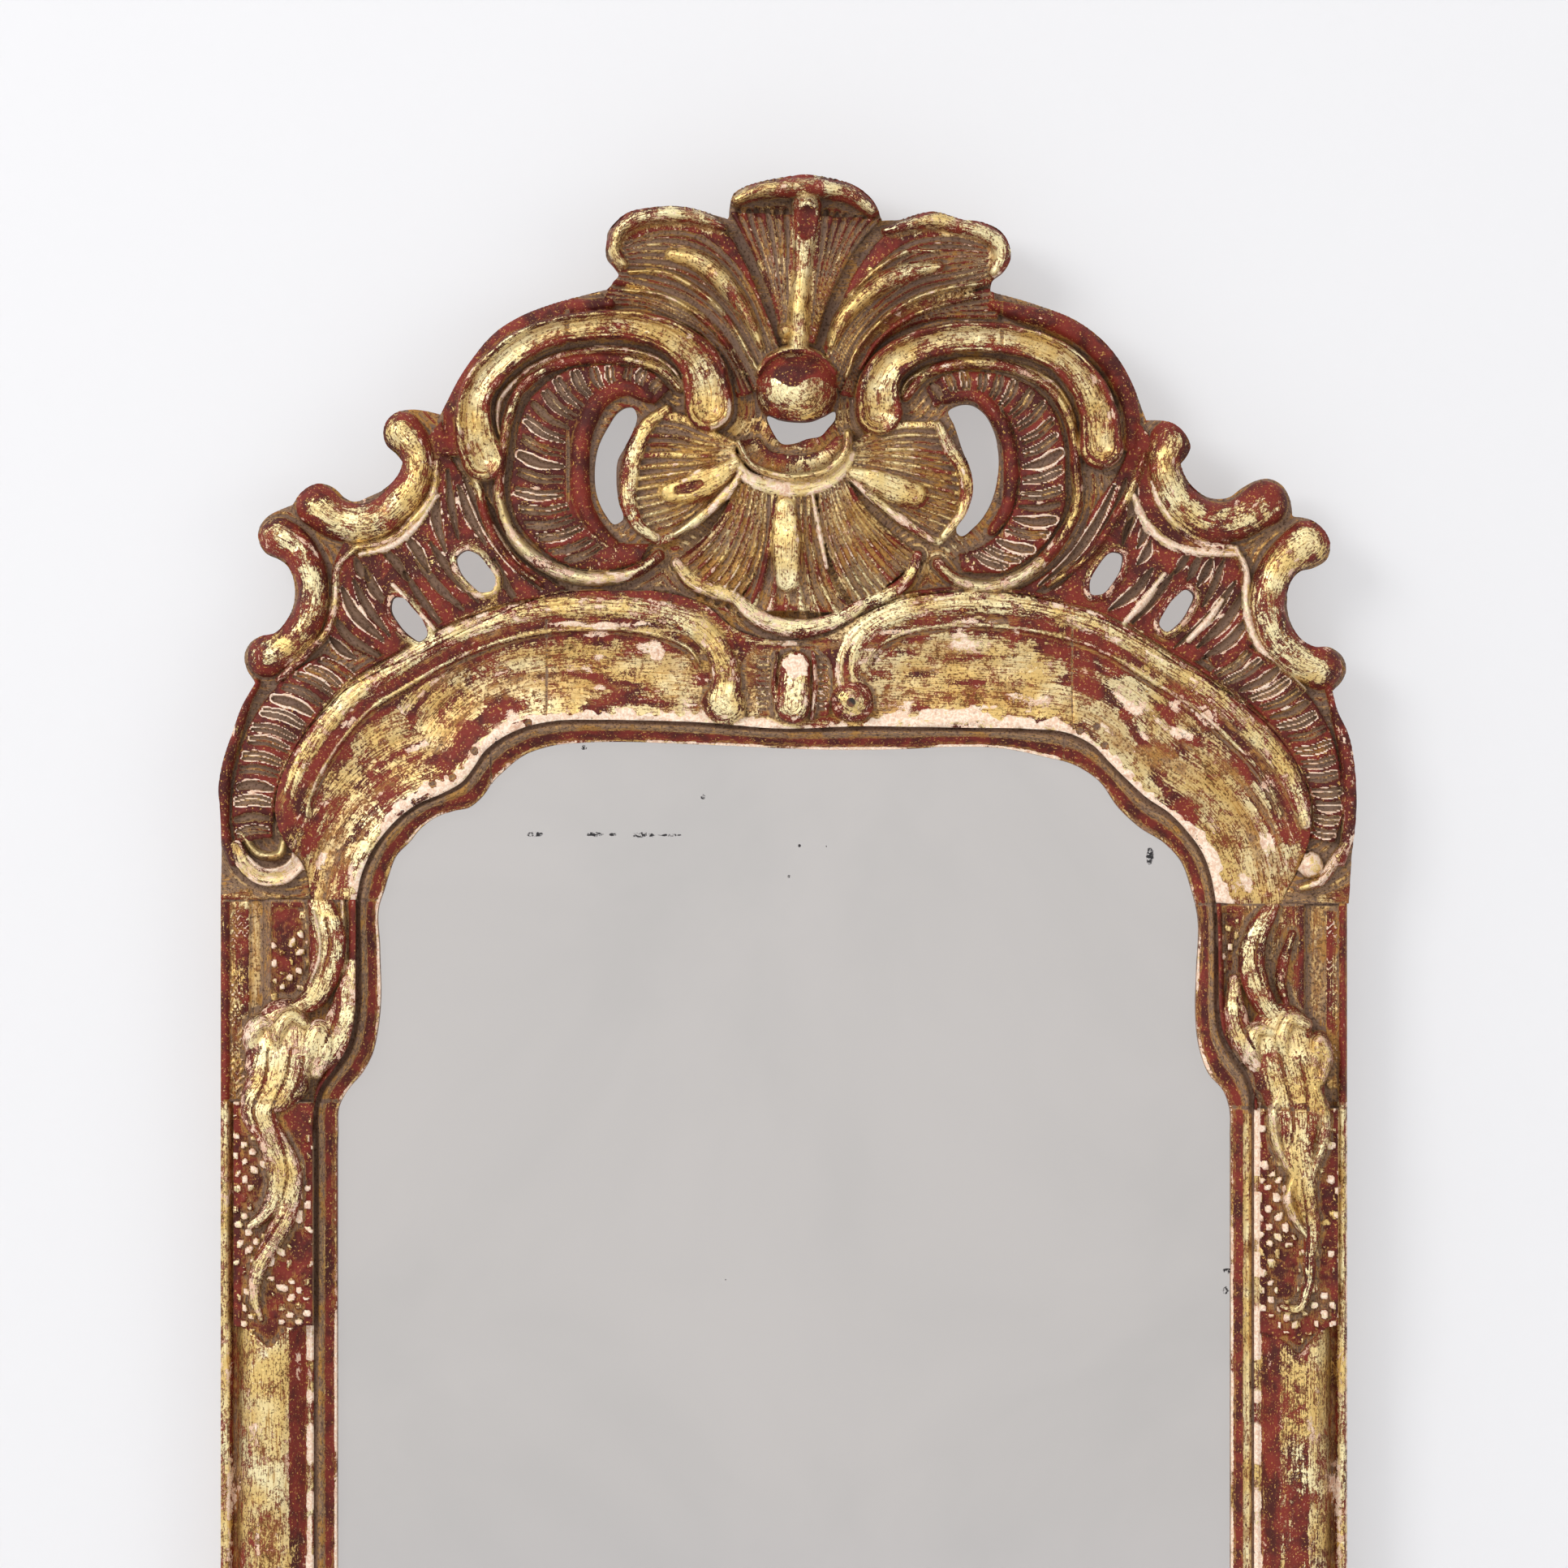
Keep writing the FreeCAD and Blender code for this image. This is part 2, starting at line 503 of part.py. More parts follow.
def side_sign(side):
    return -1 if side == "left" else 1


def shoulder(side):
    """Block and sight strip between the arch's foot and the plain stile."""
    sign = side_sign(side)
    stations = SHOULDER_LEFT_PX if side == "left" else SHOULDER_RIGHT_PX
    lip = [place(s[0]) for s in stations] + [(sign * LIP_HALF, SHOULDER_FOOT_Z)]
    sight = [place(s[1]) for s in stations] + [(sign * SIGHT_HALF, SHOULDER_FOOT_Z)]
    outer = [(sign * HALF_WIDTH, z) for _, z in lip]
    heights = (EDGE_BEAD, EDGE_BEAD, EDGE_GROOVE, BLOCK_GROUND, BLOCK_SWELL, CUSHION_FOOT)
    block = band(outer, lip, list(zip(BLOCK_SHARES, heights)))
    reach = board(outer + lip[::-1], FRONT, -CUT_MARGIN)
    leaves = [ridge(line, widths, LEAF_HEIGHT).common(reach) for line, widths in SHOULDER_LEAVES_PX[side]]
    return block.fuse(leaves), band(lip, sight, strip_profile())


def stile(side):
    """Lower moulding and strip of one side, mitred at the bottom."""
    sign = side_sign(side)
    outer = [(sign * HALF_WIDTH, SHOULDER_FOOT_Z), (sign * HALF_WIDTH, BOTTOM_Z)]
    lip = [(sign * LIP_HALF, SHOULDER_FOOT_Z), (sign * LIP_HALF, BOTTOM_LIP_Z)]
    sight = [(sign * SIGHT_HALF, SHOULDER_FOOT_Z), (sign * SIGHT_HALF, BOTTOM_SIGHT_Z)]
    moulding = band(outer, lip, moulding_profile())
    reach = board(outer + lip[::-1], FRONT, -CUT_MARGIN)
    leaves = [ridge(line, widths, STILE_LEAF_HEIGHT).common(reach) for line, widths in STILE_LEAVES_PX[side]]
    return moulding.fuse(leaves), band(lip, sight, strip_profile())


def bottom_moulding(side):
    sign = side_sign(side)
    outer = [(sign * HALF_WIDTH, BOTTOM_Z), (sign * CARTOUCHE_HALF, BOTTOM_Z)]
    lip = [(sign * LIP_HALF, BOTTOM_LIP_Z), (sign * CARTOUCHE_HALF, BOTTOM_LIP_Z)]
    return band(outer, lip, moulding_profile())


def bottom_strip():
    lip = [(-LIP_HALF, BOTTOM_LIP_Z), (LIP_HALF, BOTTOM_LIP_Z)]
    sight = [(-SIGHT_HALF, BOTTOM_SIGHT_Z), (SIGHT_HALF, BOTTOM_SIGHT_Z)]
    return band(lip, sight, strip_profile())


def bottom_cartouche():
    """Carved centre block of the bottom rail, with a rounded drop below it."""
    half = CARTOUCHE_HALF
    left = V(-half, 0, BOTTOM_Z)
    right = V(half, 0, BOTTOM_Z)
    high_left = V(-half, 0, BOTTOM_LIP_Z)
    high_right = V(half, 0, BOTTOM_LIP_Z)
    drop = Part.Arc(left, V(0, 0, LOW_Z), right).toShape()
    sides = Part.makePolygon([right, high_right, high_left, left])
    outline = Part.Wire([drop] + sides.Edges)
    ball = (half * half + CARTOUCHE_HEIGHT * CARTOUCHE_HEIGHT) / (2 * CARTOUCHE_HEIGHT)
    swell = Part.makeSphere(ball, V(0, FRONT - CARTOUCHE_HEIGHT + ball, (BOTTOM_LIP_Z + LOW_Z) / 2))
    reach = prism(outline, FRONT - BACK_OF_RIDGE, -CUT_MARGIN)
    return prism(outline, FRONT, FRONT - CREST_BOARD).fuse(swell.common(reach))


# Plate, carcass and back.

def plate_outline(grow):
    """Clipped-corner outline of the plate, grown outward by a margin."""
    side = SIGHT_HALF + PLATE_OVERLAP
    low = BOTTOM_SIGHT_Z - PLATE_OVERLAP
    top = SIGHT_TOP_Z + PLATE_TOP_OVERLAP
    corners = [(-side, low), (side, low), (side, top - PLATE_CLIP_HEIGHT), (PLATE_TOP_HALF, top),
               (-PLATE_TOP_HALF, top), (-side, top - PLATE_CLIP_HEIGHT)]
    wire = polygon(corners)
    return wire.makeOffset2D(grow, 2) if grow else wire


def carcass():
    """Stiles and rails, halved over each other at the corners and pegged."""
    inner = SIGHT_HALF + PLATE_OVERLAP + PLATE_CLEARANCE
    outer = HALF_WIDTH - CARCASS_INSET
    low = BOTTOM_Z + CARCASS_INSET
    lap_low = ARCH_FOOT_Z - LAP_BELOW_JOINT
    lap_high = lap_low + LAP_LENGTH
    rail_top = BOTTOM_SIGHT_Z - PLATE_OVERLAP - PLATE_CLEARANCE
    half_y = -CARCASS_THICK / 2
    edge = [place(p) for p in TOP_RAIL_EDGE_PX]
    end_z = height_at(PHOTO_RAIL_END_Y)
    top_board = [(-outer, lap_low), (-outer, end_z)] + edge
    top_board += mirrored(edge[:-1])[::-1] + [(outer, end_z), (outer, lap_low)]
    opening = prism(plate_outline(PLATE_CLEARANCE), CUT_MARGIN, -CUT_MARGIN)
    top_rail = board(top_board, 0, FRONT).cut(opening)
    bottom_rail = board(oblong(-outer, outer, low, rail_top), 0, FRONT)
    laps_back = []
    laps_front = []
    pegs = []
    for sign in (-1, 1):
        for z_low, z_high in ((lap_low, lap_high), (low, rail_top)):
            corner = oblong(sign * inner, sign * outer, z_low, z_high)
            laps_back.append(board(corner, 0, half_y))
            laps_front.append(board(corner, half_y, FRONT))
            for z in (z_low + LAP_LENGTH / 4, z_high - LAP_LENGTH / 4):
                pegs.append((sign * (outer + inner) / 2, z))
    tools = [rod(x, z, PEG_RADIUS + WOOD_FIT, CUT_MARGIN, -CUT_MARGIN) for x, z in pegs]
    tools += [nail(x, z, 0, WOOD_FIT) for x, z in backboard_nail_places()]
    tools.append(prism(plate_outline(PLATE_CLEARANCE + BACKBOARD_LAP + BACKBOARD_GAP), 0, -BACKBOARD_THICK))
    pieces = {
        "carcass_top_rail": without(without(top_rail, laps_back), tools),
        "carcass_bottom_rail": without(without(bottom_rail, laps_back), tools),
        "joint_pegs": Part.makeCompound([rod(x, z, PEG_RADIUS, 0, FRONT) for x, z in pegs]),
    }
    for side in ("left", "right"):
        sign = side_sign(side)
        upright = board(oblong(sign * inner, sign * outer, low, lap_high), 0, FRONT)
        pieces["carcass_stile_" + side] = without(without(upright, laps_front), tools)
    return pieces


def backboard_nail_places():
    """Nails down both sides and along the top and bottom, in the lap of the backboards."""
    side = SIGHT_HALF + PLATE_OVERLAP + PLATE_CLEARANCE + NAIL_EDGE
    low = BOTTOM_SIGHT_Z - PLATE_OVERLAP - PLATE_CLEARANCE - NAIL_EDGE
    top = SIGHT_TOP_Z + PLATE_TOP_OVERLAP + PLATE_CLEARANCE + NAIL_EDGE
    clip = top - PLATE_CLIP_HEIGHT
    places = []
    rows = 2 * BACKBOARD_COUNT
    for i in range(rows):
        z = low + (clip - low) * (i + 1 / 2) / rows
        places += [(-side, z), (side, z)]
    for share in END_NAIL_SHARES:
        places += [(share * PLATE_TOP_HALF, top), (share * PLATE_TOP_HALF, low)]
    return places


def backboards():
    """Three rough boards set in the carcass's rebate, with their nails."""
    outline = prism(plate_outline(PLATE_CLEARANCE + BACKBOARD_LAP), 0, -BACKBOARD_THICK)
    box = outline.BoundBox
    step = (box.ZMax - box.ZMin) / BACKBOARD_COUNT
    holes = [nail(x, z, 0, WOOD_FIT) for x, z in backboard_nail_places()]
    boards = []
    for i in range(BACKBOARD_COUNT):
        low = box.ZMin + step * i + (BACKBOARD_GAP / 2 if i else 0)
        high = box.ZMin + step * (i + 1) - (BACKBOARD_GAP / 2 if i < BACKBOARD_COUNT - 1 else 0)
        cutter = board(oblong(box.XMin, box.XMax, low, high), 0, -BACKBOARD_THICK)
        boards.append(without(outline.common(cutter), holes))
    nails = Part.makeCompound([nail(x, z, 0) for x, z in backboard_nail_places()])
    return boards, nails


def glazing_blocks():
    """Small blocks glued behind the plate's edge, three to a side and two at top and bottom."""
    back = FRONT + PLATE_THICK
    wall = SIGHT_HALF + PLATE_OVERLAP
    low = BOTTOM_SIGHT_Z - PLATE_OVERLAP
    top = SIGHT_TOP_Z + PLATE_TOP_OVERLAP
    half = GLAZING_BLOCK_LENGTH / 2
    width = GLAZING_BLOCK_WIDTH
    blocks = []
    for i in range(3):
        z = low + (top - PLATE_CLIP_HEIGHT - low) * (i + 1 / 2) / 3
        for sign in (-1, 1):
            blocks.append(oblong(sign * (wall - width), sign * wall, z - half, z + half))
    for sign in (-1, 1):
        x = sign * PLATE_TOP_HALF / 2
        for z_low in (low, top - width):
            blocks.append(oblong(x - half, x + half, z_low, z_low + width))
    return Part.makeCompound([board(b, back, back + GLAZING_BLOCK_THICK) for b in blocks])


def batten_nail_places():
    reach = BATTEN_HALF_LENGTH - BATTEN_WIDTH / 2
    return [(x, RING_AXIS_Z) for x in (-reach, -reach / 2, reach / 2, reach)]


def upright_nail_places():
    top = RING_AXIS_Z - BATTEN_WIDTH
    return [(sign * UPRIGHT_OUT, top - BATTEN_WIDTH * i * 2) for sign in (-1, 1) for i in range(2)]


def battens(top_rail):
    """Cross batten and two uprights that tie the crest's boards to the carcass."""
    high = RING_AXIS_Z + BATTEN_WIDTH / 2
    low = RING_AXIS_Z - BATTEN_WIDTH / 2
    holes = [nail(x, z, BATTEN_BACK, WOOD_FIT) for x, z in batten_nail_places() + upright_nail_places()]
    holes += staple_legs(STAPLE_WIRE + WOOD_FIT)
    cross = board(oblong(-BATTEN_HALF_LENGTH, BATTEN_HALF_LENGTH, low, high), BATTEN_BACK, FRONT)
    pieces = {"crest_cross_batten": without(cross, holes)}
    for side in ("left", "right"):
        x = side_sign(side) * UPRIGHT_OUT
        half = UPRIGHT_WIDTH / 2
        post = board(oblong(x - half, x + half, ARCH_FOOT_Z, low), BATTEN_BACK, FRONT)
        above = max(post.cut(top_rail).Solids, key=lambda s: s.BoundBox.ZMax)
        pieces["crest_upright_" + side] = without(above, holes)
    return pieces


def staple_legs(radius):
    reach = RING_WIRE + STAPLE_RUN + STAPLE_WIRE
    foot = BATTEN_BACK - STAPLE_BITE
    slack = radius - STAPLE_WIRE
    return [rod(0, RING_AXIS_Z + sign * reach, radius, foot - slack, STAPLE_Y) for sign in (-1, 1)]


def hanging_staple():
    """Eye of bent wire driven into the batten; the ring's wire runs through it."""
    reach = RING_WIRE + STAPLE_RUN + STAPLE_WIRE
    bend = Part.makeTorus(reach, STAPLE_WIRE, V(0, STAPLE_Y, RING_AXIS_Z), V(1, 0, 0))
    outer = reach + 2 * STAPLE_WIRE
    half_space = Part.makeBox(2 * outer, outer, 2 * outer, V(-outer, STAPLE_Y, RING_AXIS_Z - outer))
    return bend.common(half_space).fuse(staple_legs(STAPLE_WIRE))


def hanging_ring():
    return Part.makeTorus(RING_RADIUS, RING_WIRE, V(0, STAPLE_Y, RING_AXIS_Z - RING_RADIUS), V(0, 1, 0))


def build():
    pieces = carcass()
    holes = [nail(x, z, BATTEN_BACK, WOOD_FIT) for x, z in batten_nail_places() + upright_nail_places()]
    for name, shape in zip(("left", "centre", "right"), crest_boards()):
        pieces["crest_" + name] = without(shape, holes)
    for name, shape in zip(("left", "centre", "right"), arch_mouldings()):
        pieces["arch_" + name] = shape
    for name, shape in zip(("left", "centre", "right"), arch_strips()):
        pieces["sight_strip_arch_" + name] = shape
    for side in ("left", "right"):
        pieces["shoulder_block_" + side], pieces["sight_strip_shoulder_" + side] = shoulder(side)
        pieces["stile_moulding_" + side], pieces["sight_strip_stile_" + side] = stile(side)
        pieces["bottom_moulding_" + side] = bottom_moulding(side)
    pieces["sight_strip_bottom"] = bottom_strip()
    pieces["bottom_cartouche"] = bottom_cartouche()
    pieces["arch_pin"] = arch_pin()
    pieces["mirror_plate"] = prism(plate_outline(0), FRONT + PLATE_THICK, FRONT)
    pieces["glazing_blocks"] = glazing_blocks()
    boards, nails = backboards()
    for name, shape in zip(("lower", "middle", "upper"), boards):
        pieces["backboard_" + name] = shape
    pieces["backboard_nails"] = nails
    pieces.update(battens(pieces["carcass_top_rail"]))
    pieces["batten_nails"] = Part.makeCompound(
        [nail(x, z, BATTEN_BACK) for x, z in batten_nail_places() + upright_nail_places()])
    pieces["hanging_staple"] = hanging_staple()
    pieces["hanging_ring"] = hanging_ring()
    return pieces


os.makedirs("parts", exist_ok=True)
for node, shape in build().items():
    if not shape.isValid():
        print("not valid:", node)
    print(node, len(shape.Solids), round(shape.Volume, 1))
    Part.makeCompound(shape.Solids).exportStep("parts/" + node + ".step")
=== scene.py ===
import functools
import json
import math

import bpy
import numpy as np
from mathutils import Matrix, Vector
from mathutils.geometry import delaunay_2d_cdt

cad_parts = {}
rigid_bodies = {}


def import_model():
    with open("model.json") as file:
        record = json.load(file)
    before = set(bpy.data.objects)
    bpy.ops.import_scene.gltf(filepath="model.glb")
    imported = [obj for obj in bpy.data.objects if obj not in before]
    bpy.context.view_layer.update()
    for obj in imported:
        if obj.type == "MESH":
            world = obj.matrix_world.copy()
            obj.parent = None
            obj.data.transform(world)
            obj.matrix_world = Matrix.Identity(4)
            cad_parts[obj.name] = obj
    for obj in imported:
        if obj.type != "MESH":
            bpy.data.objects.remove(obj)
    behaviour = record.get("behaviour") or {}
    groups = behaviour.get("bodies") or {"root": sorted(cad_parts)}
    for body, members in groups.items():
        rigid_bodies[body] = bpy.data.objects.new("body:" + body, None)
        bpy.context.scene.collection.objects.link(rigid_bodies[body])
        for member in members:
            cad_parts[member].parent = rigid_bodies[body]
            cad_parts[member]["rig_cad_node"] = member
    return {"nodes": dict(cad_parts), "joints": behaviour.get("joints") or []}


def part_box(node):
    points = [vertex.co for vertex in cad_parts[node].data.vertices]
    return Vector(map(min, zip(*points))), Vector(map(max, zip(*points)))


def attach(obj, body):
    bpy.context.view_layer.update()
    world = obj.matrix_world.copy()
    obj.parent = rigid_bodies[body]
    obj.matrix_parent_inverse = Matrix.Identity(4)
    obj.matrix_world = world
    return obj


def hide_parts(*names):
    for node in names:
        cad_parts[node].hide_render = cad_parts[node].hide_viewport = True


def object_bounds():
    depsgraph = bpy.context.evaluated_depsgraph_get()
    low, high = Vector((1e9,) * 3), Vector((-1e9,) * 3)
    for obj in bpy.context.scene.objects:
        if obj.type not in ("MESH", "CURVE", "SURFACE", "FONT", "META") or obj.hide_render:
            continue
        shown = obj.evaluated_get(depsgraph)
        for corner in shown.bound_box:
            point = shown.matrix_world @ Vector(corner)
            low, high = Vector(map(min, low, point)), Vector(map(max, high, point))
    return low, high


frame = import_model()

bl_info = {
    "name": "Rococo wall mirror",
    "version": (1, 0, 0),
    "blender": (4, 5, 0),
    "location": "View3D > Sidebar > Mirror",
    "description": "Carves and gilds a pierced rococo mirror frame over its packed carcass",
    "category": "Object",
}

# The carving is drawn on sheets whose unit is one pixel of the photograph, at its pixel coordinates. Heights
# are millimetres above the front of the carcass. Shares of wear run from 0, none, to 1: red for bared bole,
# white for bared gesso and dark for soiling, which also carries painted shade in the shell's bowl and in a
# band of the left shoulder block.
PHOTO_SIDE = 1932
MIDDLE_X = 966
RING_Y = 412
EDGE_LEFT, EDGE_RIGHT = 274, 1658
LIP_LEFT, LIP_RIGHT = 388.3, 1543.7
SIGHT_LEFT, SIGHT_RIGHT = 416, 1516
FOOT_Y = 1108
BLOCK_FOOT_Y = 1356
RIGHT_FOOT_DROP = 5
RIGHT_BLOCK_DROP = 8
GOLD_TOP_Y = 1372
RAIL_END_Y = 2600

FRAME_WIDTH_MM = 400.0
MM = FRAME_WIDTH_MM / (EDGE_RIGHT - EDGE_LEFT)
STEP = 1.65
BOARD_MM = 8.6
FACE_DEPTH_MM = 1.3
RING_Z_MM = frame["joints"][0]["pos_m"][2] * 1000
FRONT_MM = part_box("mirror_plate")[0][1] * 1000
CAD_BOX = [list(corner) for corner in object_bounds()]


def sheet_y(z_m):
    """Row of the sheet at a height of the frame in metres."""
    return RING_Y + (RING_Z_MM - z_m * 1000) / MM


LOW_Y = sheet_y(CAD_BOX[0][2])
BOTTOM_Y = sheet_y(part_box("bottom_moulding_left")[0][2])
BOTTOM_LIP_Y = sheet_y(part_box("bottom_moulding_left")[1][2])
BOTTOM_SIGHT_Y = sheet_y(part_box("sight_strip_bottom")[1][2])

# ---- outlines
CREST_EDGE = [
    [(274, 1108), (274, 1000), (272, 970), (277, 940), (290, 900), (300, 872), (317, 842)],
    [(317, 842), (306, 825), (303, 808), (310, 793), (322, 785), (342, 780), (356, 764), (364, 742),
     (364, 718), (356, 698), (345, 690), (330, 683), (321, 668), (321, 652), (332, 637), (347, 629),
     (362, 623)],
    [(362, 623), (373, 608), (393, 597), (411, 601), (424, 613)],
    [(424, 613), (436, 619), (458, 612), (480, 600), (493, 585), (498, 571)],
    [(498, 571), (490, 561), (478, 550), (474, 533), (479, 519), (491, 509), (508, 506), (528, 508),
     (544, 512)],
    [(544, 512), (552, 497), (565, 472), (585, 442), (612, 411), (640, 393), (680, 377), (718, 366),
     (750, 358)],
    [(750, 358), (756, 350), (763, 342), (757, 331), (748, 320), (748, 302), (750, 287), (758, 278),
     (773, 266), (800, 260), (840, 258), (870, 264), (898, 272)],
    [(898, 272), (900, 254), (907, 238), (925, 231), (960, 223), (990, 219), (1020, 222), (1050, 231),
     (1073, 248), (1086, 272)],
    [(1086, 274), (1112, 272), (1130, 267), (1150, 264), (1166, 268), (1184, 274), (1210, 277), (1232, 288),
     (1243, 308), (1244, 322), (1236, 336), (1222, 348), (1219, 361)],
    [(1219, 361), (1250, 369), (1290, 382), (1325, 397), (1355, 419), (1378, 446), (1394, 475), (1405, 503),
     (1411, 519)],
    [(1411, 519), (1425, 519), (1443, 523), (1458, 536), (1465, 553), (1459, 566), (1453, 573)],
    [(1453, 573), (1459, 589), (1472, 605), (1492, 615), (1512, 614), (1529, 602)],
    [(1529, 602), (1544, 594), (1562, 591), (1578, 599), (1588, 617), (1591, 637)],
    [(1591, 637), (1612, 641), (1628, 653), (1637, 672), (1633, 690), (1618, 700), (1600, 705), (1588, 718),
     (1584, 742), (1588, 766), (1600, 787), (1616, 797), (1636, 798), (1652, 809), (1657, 824), (1650, 842),
     (1639, 852)],
    [(1639, 852), (1645, 875), (1659, 905), (1667, 950), (1669, 990), (1664, 1050), (1660, 1116)],
]
LARGE_HOLES = [
    [(772, 503), (780, 503), (785, 512), (781, 532), (772, 550), (762, 568), (760, 592), (763, 620),
     (768, 641), (758, 647), (746, 634), (736, 612), (733, 582), (738, 550), (750, 526), (763, 508)],
    [(1168, 508), (1182, 500), (1197, 500), (1211, 509), (1224, 531), (1230, 560), (1228, 595), (1217, 628),
     (1200, 650), (1182, 661), (1178, 657), (1190, 634), (1198, 605), (1196, 585), (1185, 555), (1175, 525)],
    [(946, 513), (960, 518), (980, 521), (1000, 520), (1015, 514), (1029, 508), (1029, 517), (1020, 529),
     (1012, 538), (995, 542), (977, 548), (964, 548), (953, 535)],
]
OVAL_HOLES = [
    [(576, 679), (588, 683), (602, 698), (612, 715), (608, 728), (596, 731), (580, 720), (567, 703),
     (564, 688)],
    [(487, 737), (497, 737), (510, 750), (524, 768), (528, 784), (520, 791), (506, 784), (492, 769),
     (483, 750)],
    [(1372, 681), (1381, 684), (1381, 698), (1371, 718), (1356, 733), (1343, 733), (1341, 722), (1350, 701)],
    [(1462, 727), (1469, 733), (1464, 750), (1450, 770), (1435, 779), (1427, 772), (1434, 753), (1447, 736)],
]
ARCH_OUTER = [
    (386, 1108), (375, 1065), (352, 1035), (342, 1005), (344, 975), (352, 950), (367, 922), (382, 900),
    (400, 880), (428, 852), (462, 832), (520, 806), (600, 766), (680, 735), (760, 729), (820, 731),
    (870, 747), (905, 775), (966, 790), (1025, 777), (1050, 765), (1095, 745), (1150, 733), (1210, 731),
    (1260, 735), (1310, 747), (1360, 766), (1410, 794), (1450, 820), (1490, 842), (1530, 869), (1565, 901),
    (1592, 937), (1609, 975), (1612, 1025), (1575, 1116),
]
LIP_EDGE = [
    (440, 1112), (446, 1080), (456, 1055), (472, 1030), (492, 1008), (515, 991), (545, 978), (572, 962),
    (585, 945), (597, 927), (618, 910), (645, 897), (680, 889), (740, 887), (800, 888), (860, 890),
    (966, 898), (1060, 895), (1140, 896), (1200, 897), (1260, 898), (1320, 905), (1345, 918), (1367, 940),
    (1387, 960), (1412, 983), (1440, 1002), (1463, 1026), (1480, 1050), (1491, 1080), (1497, 1112),
]
LIP_LEFT_RUN = [
    (LIP_LEFT, RAIL_END_Y), (LIP_LEFT, 1450), (LIP_LEFT, 1420), (389, 1362), (397, 1338), (413, 1316),
    (430, 1288), (438, 1254), (440, 1200), (440, 1150), (440, 1112),
]
LIP_RIGHT_RUN = [
    (1497, 1112), (1499, 1150), (1500, 1200), (1501, 1243), (1507, 1275), (1520, 1298), (1535, 1320),
    (1543, 1345), (LIP_RIGHT, 1380), (LIP_RIGHT, 1450), (LIP_RIGHT, RAIL_END_Y),
]
SIGHT_LEFT_RUN = [
    (SIGHT_LEFT, RAIL_END_Y), (SIGHT_LEFT, 1450), (SIGHT_LEFT, 1420), (416.5, 1400), (419, 1360), (428, 1344),
    (447, 1321), (459, 1298), (465, 1272), (469, 1236),
]
SIGHT_ARCH_RUN = [
    (468, 1170), (468, 1112), (473, 1098), (479, 1078), (488, 1055), (505, 1037), (518, 1021), (537, 1007),
    (560, 999), (578, 995), (590, 986), (598, 977), (605, 966), (622, 949), (645, 931), (680, 919),
    (720, 915), (760, 914), (830, 916), (900, 919), (966, 922), (1040, 924), (1110, 923), (1180, 920),
    (1235, 922), (1285, 932), (1325, 943), (1354, 962), (1378, 995), (1405, 1020), (1435, 1039), (1455, 1061),
    (1467, 1093), (1475, 1125),
]
SIGHT_RIGHT_RUN = [
    (1474, 1200), (1473, 1245), (1478, 1292), (1490, 1324), (1508, 1345), (1515, 1366), (1515.8, 1400),
    (SIGHT_RIGHT, 1420), (SIGHT_RIGHT, 1450), (SIGHT_RIGHT, RAIL_END_Y),
]
SIGHT_EDGE = SIGHT_LEFT_RUN + SIGHT_ARCH_RUN + SIGHT_RIGHT_RUN


# ---- lines and grids
def length_run(line):
    """Length along a polyline at each of its points."""
    return np.concatenate([[0], np.cumsum(np.linalg.norm(np.diff(line, axis=0), axis=1))])


def smooth_line(points, spacing=3.0, closed=False):
    """Curve through the points, sampled evenly by length. Each span is a Hermite cubic, whose slope at a
    point is the mean of the neighbouring chords' directions, each weighted by the other chord's length."""
    p = np.asarray(points, float)
    if closed:
        p = np.vstack([p[-1:], p, p[:2]])
    else:
        p = np.vstack([2 * p[:1] - p[1:2], p, 2 * p[-1:] - p[-2:-1]])
    chord = np.diff(p, axis=0)
    size = (np.linalg.norm(chord, axis=1) + 1e-6)[:, None]
    slope = (chord[1:] / size[1:] * size[:-1] + chord[:-1] / size[:-1] * size[1:]) / (size[:-1] + size[1:])
    start, end, span = p[1:-2, None], p[2:-1, None], size[1:-1]
    start_slope, end_slope = (slope[:-1] * span)[:, None], (slope[1:] * span)[:, None]
    t = np.linspace(0, 1, 17)[None, :-1, None]
    line = ((2 * t**3 - 3 * t**2 + 1) * start + (t**3 - 2 * t**2 + t) * start_slope
            + (-2 * t**3 + 3 * t**2) * end + (t**3 - t**2) * end_slope).reshape(-1, 2)
    line = np.vstack([line, line[:1] if closed else p[-2:-1]])
    return resample(line, max(4, int(length_run(line)[-1] / spacing)))


def resample(line, count):
    """A polyline divided into a number of equal lengths."""
    run = length_run(line)
    at = np.linspace(0, run[-1], count + 1)
    return np.column_stack([np.interp(at, run, line[:, k]) for k in (0, 1)])


def chain(runs):
    """One polyline from several smooth runs that meet in corners."""
    parts = [smooth_line(run, 2.0) for run in runs]
    return np.vstack([part[:-1] for part in parts[:-1]] + [parts[-1]])


def even(points, count=24):
    """A smooth line as a fixed number of its points, read at even steps of their order."""
    line = smooth_line(points, 2.0)
    at = np.linspace(0, len(line) - 1, count)
    return np.column_stack([np.interp(at, np.arange(len(line)), line[:, k]) for k in (0, 1)])


def dense(ring, spacing=4.0):
    """A ring of straight sides, divided evenly."""
    ring = np.asarray(ring, float)
    sides = [a + (b - a) * np.linspace(0, 1, max(2, int(np.linalg.norm(b - a) / spacing)),
                                       endpoint=False)[:, None]
             for a, b in zip(ring, np.roll(ring, -1, axis=0))]
    return np.vstack(sides)


def parallel(line, offset):
    """A line moved sideways; a positive offset lies to the left of its travel as the photograph is seen."""
    t = np.gradient(line, axis=0)
    t = t / np.maximum(np.linalg.norm(t, axis=1), 1e-6)[:, None]
    return line + offset * np.column_stack([t[:, 1], -t[:, 0]])


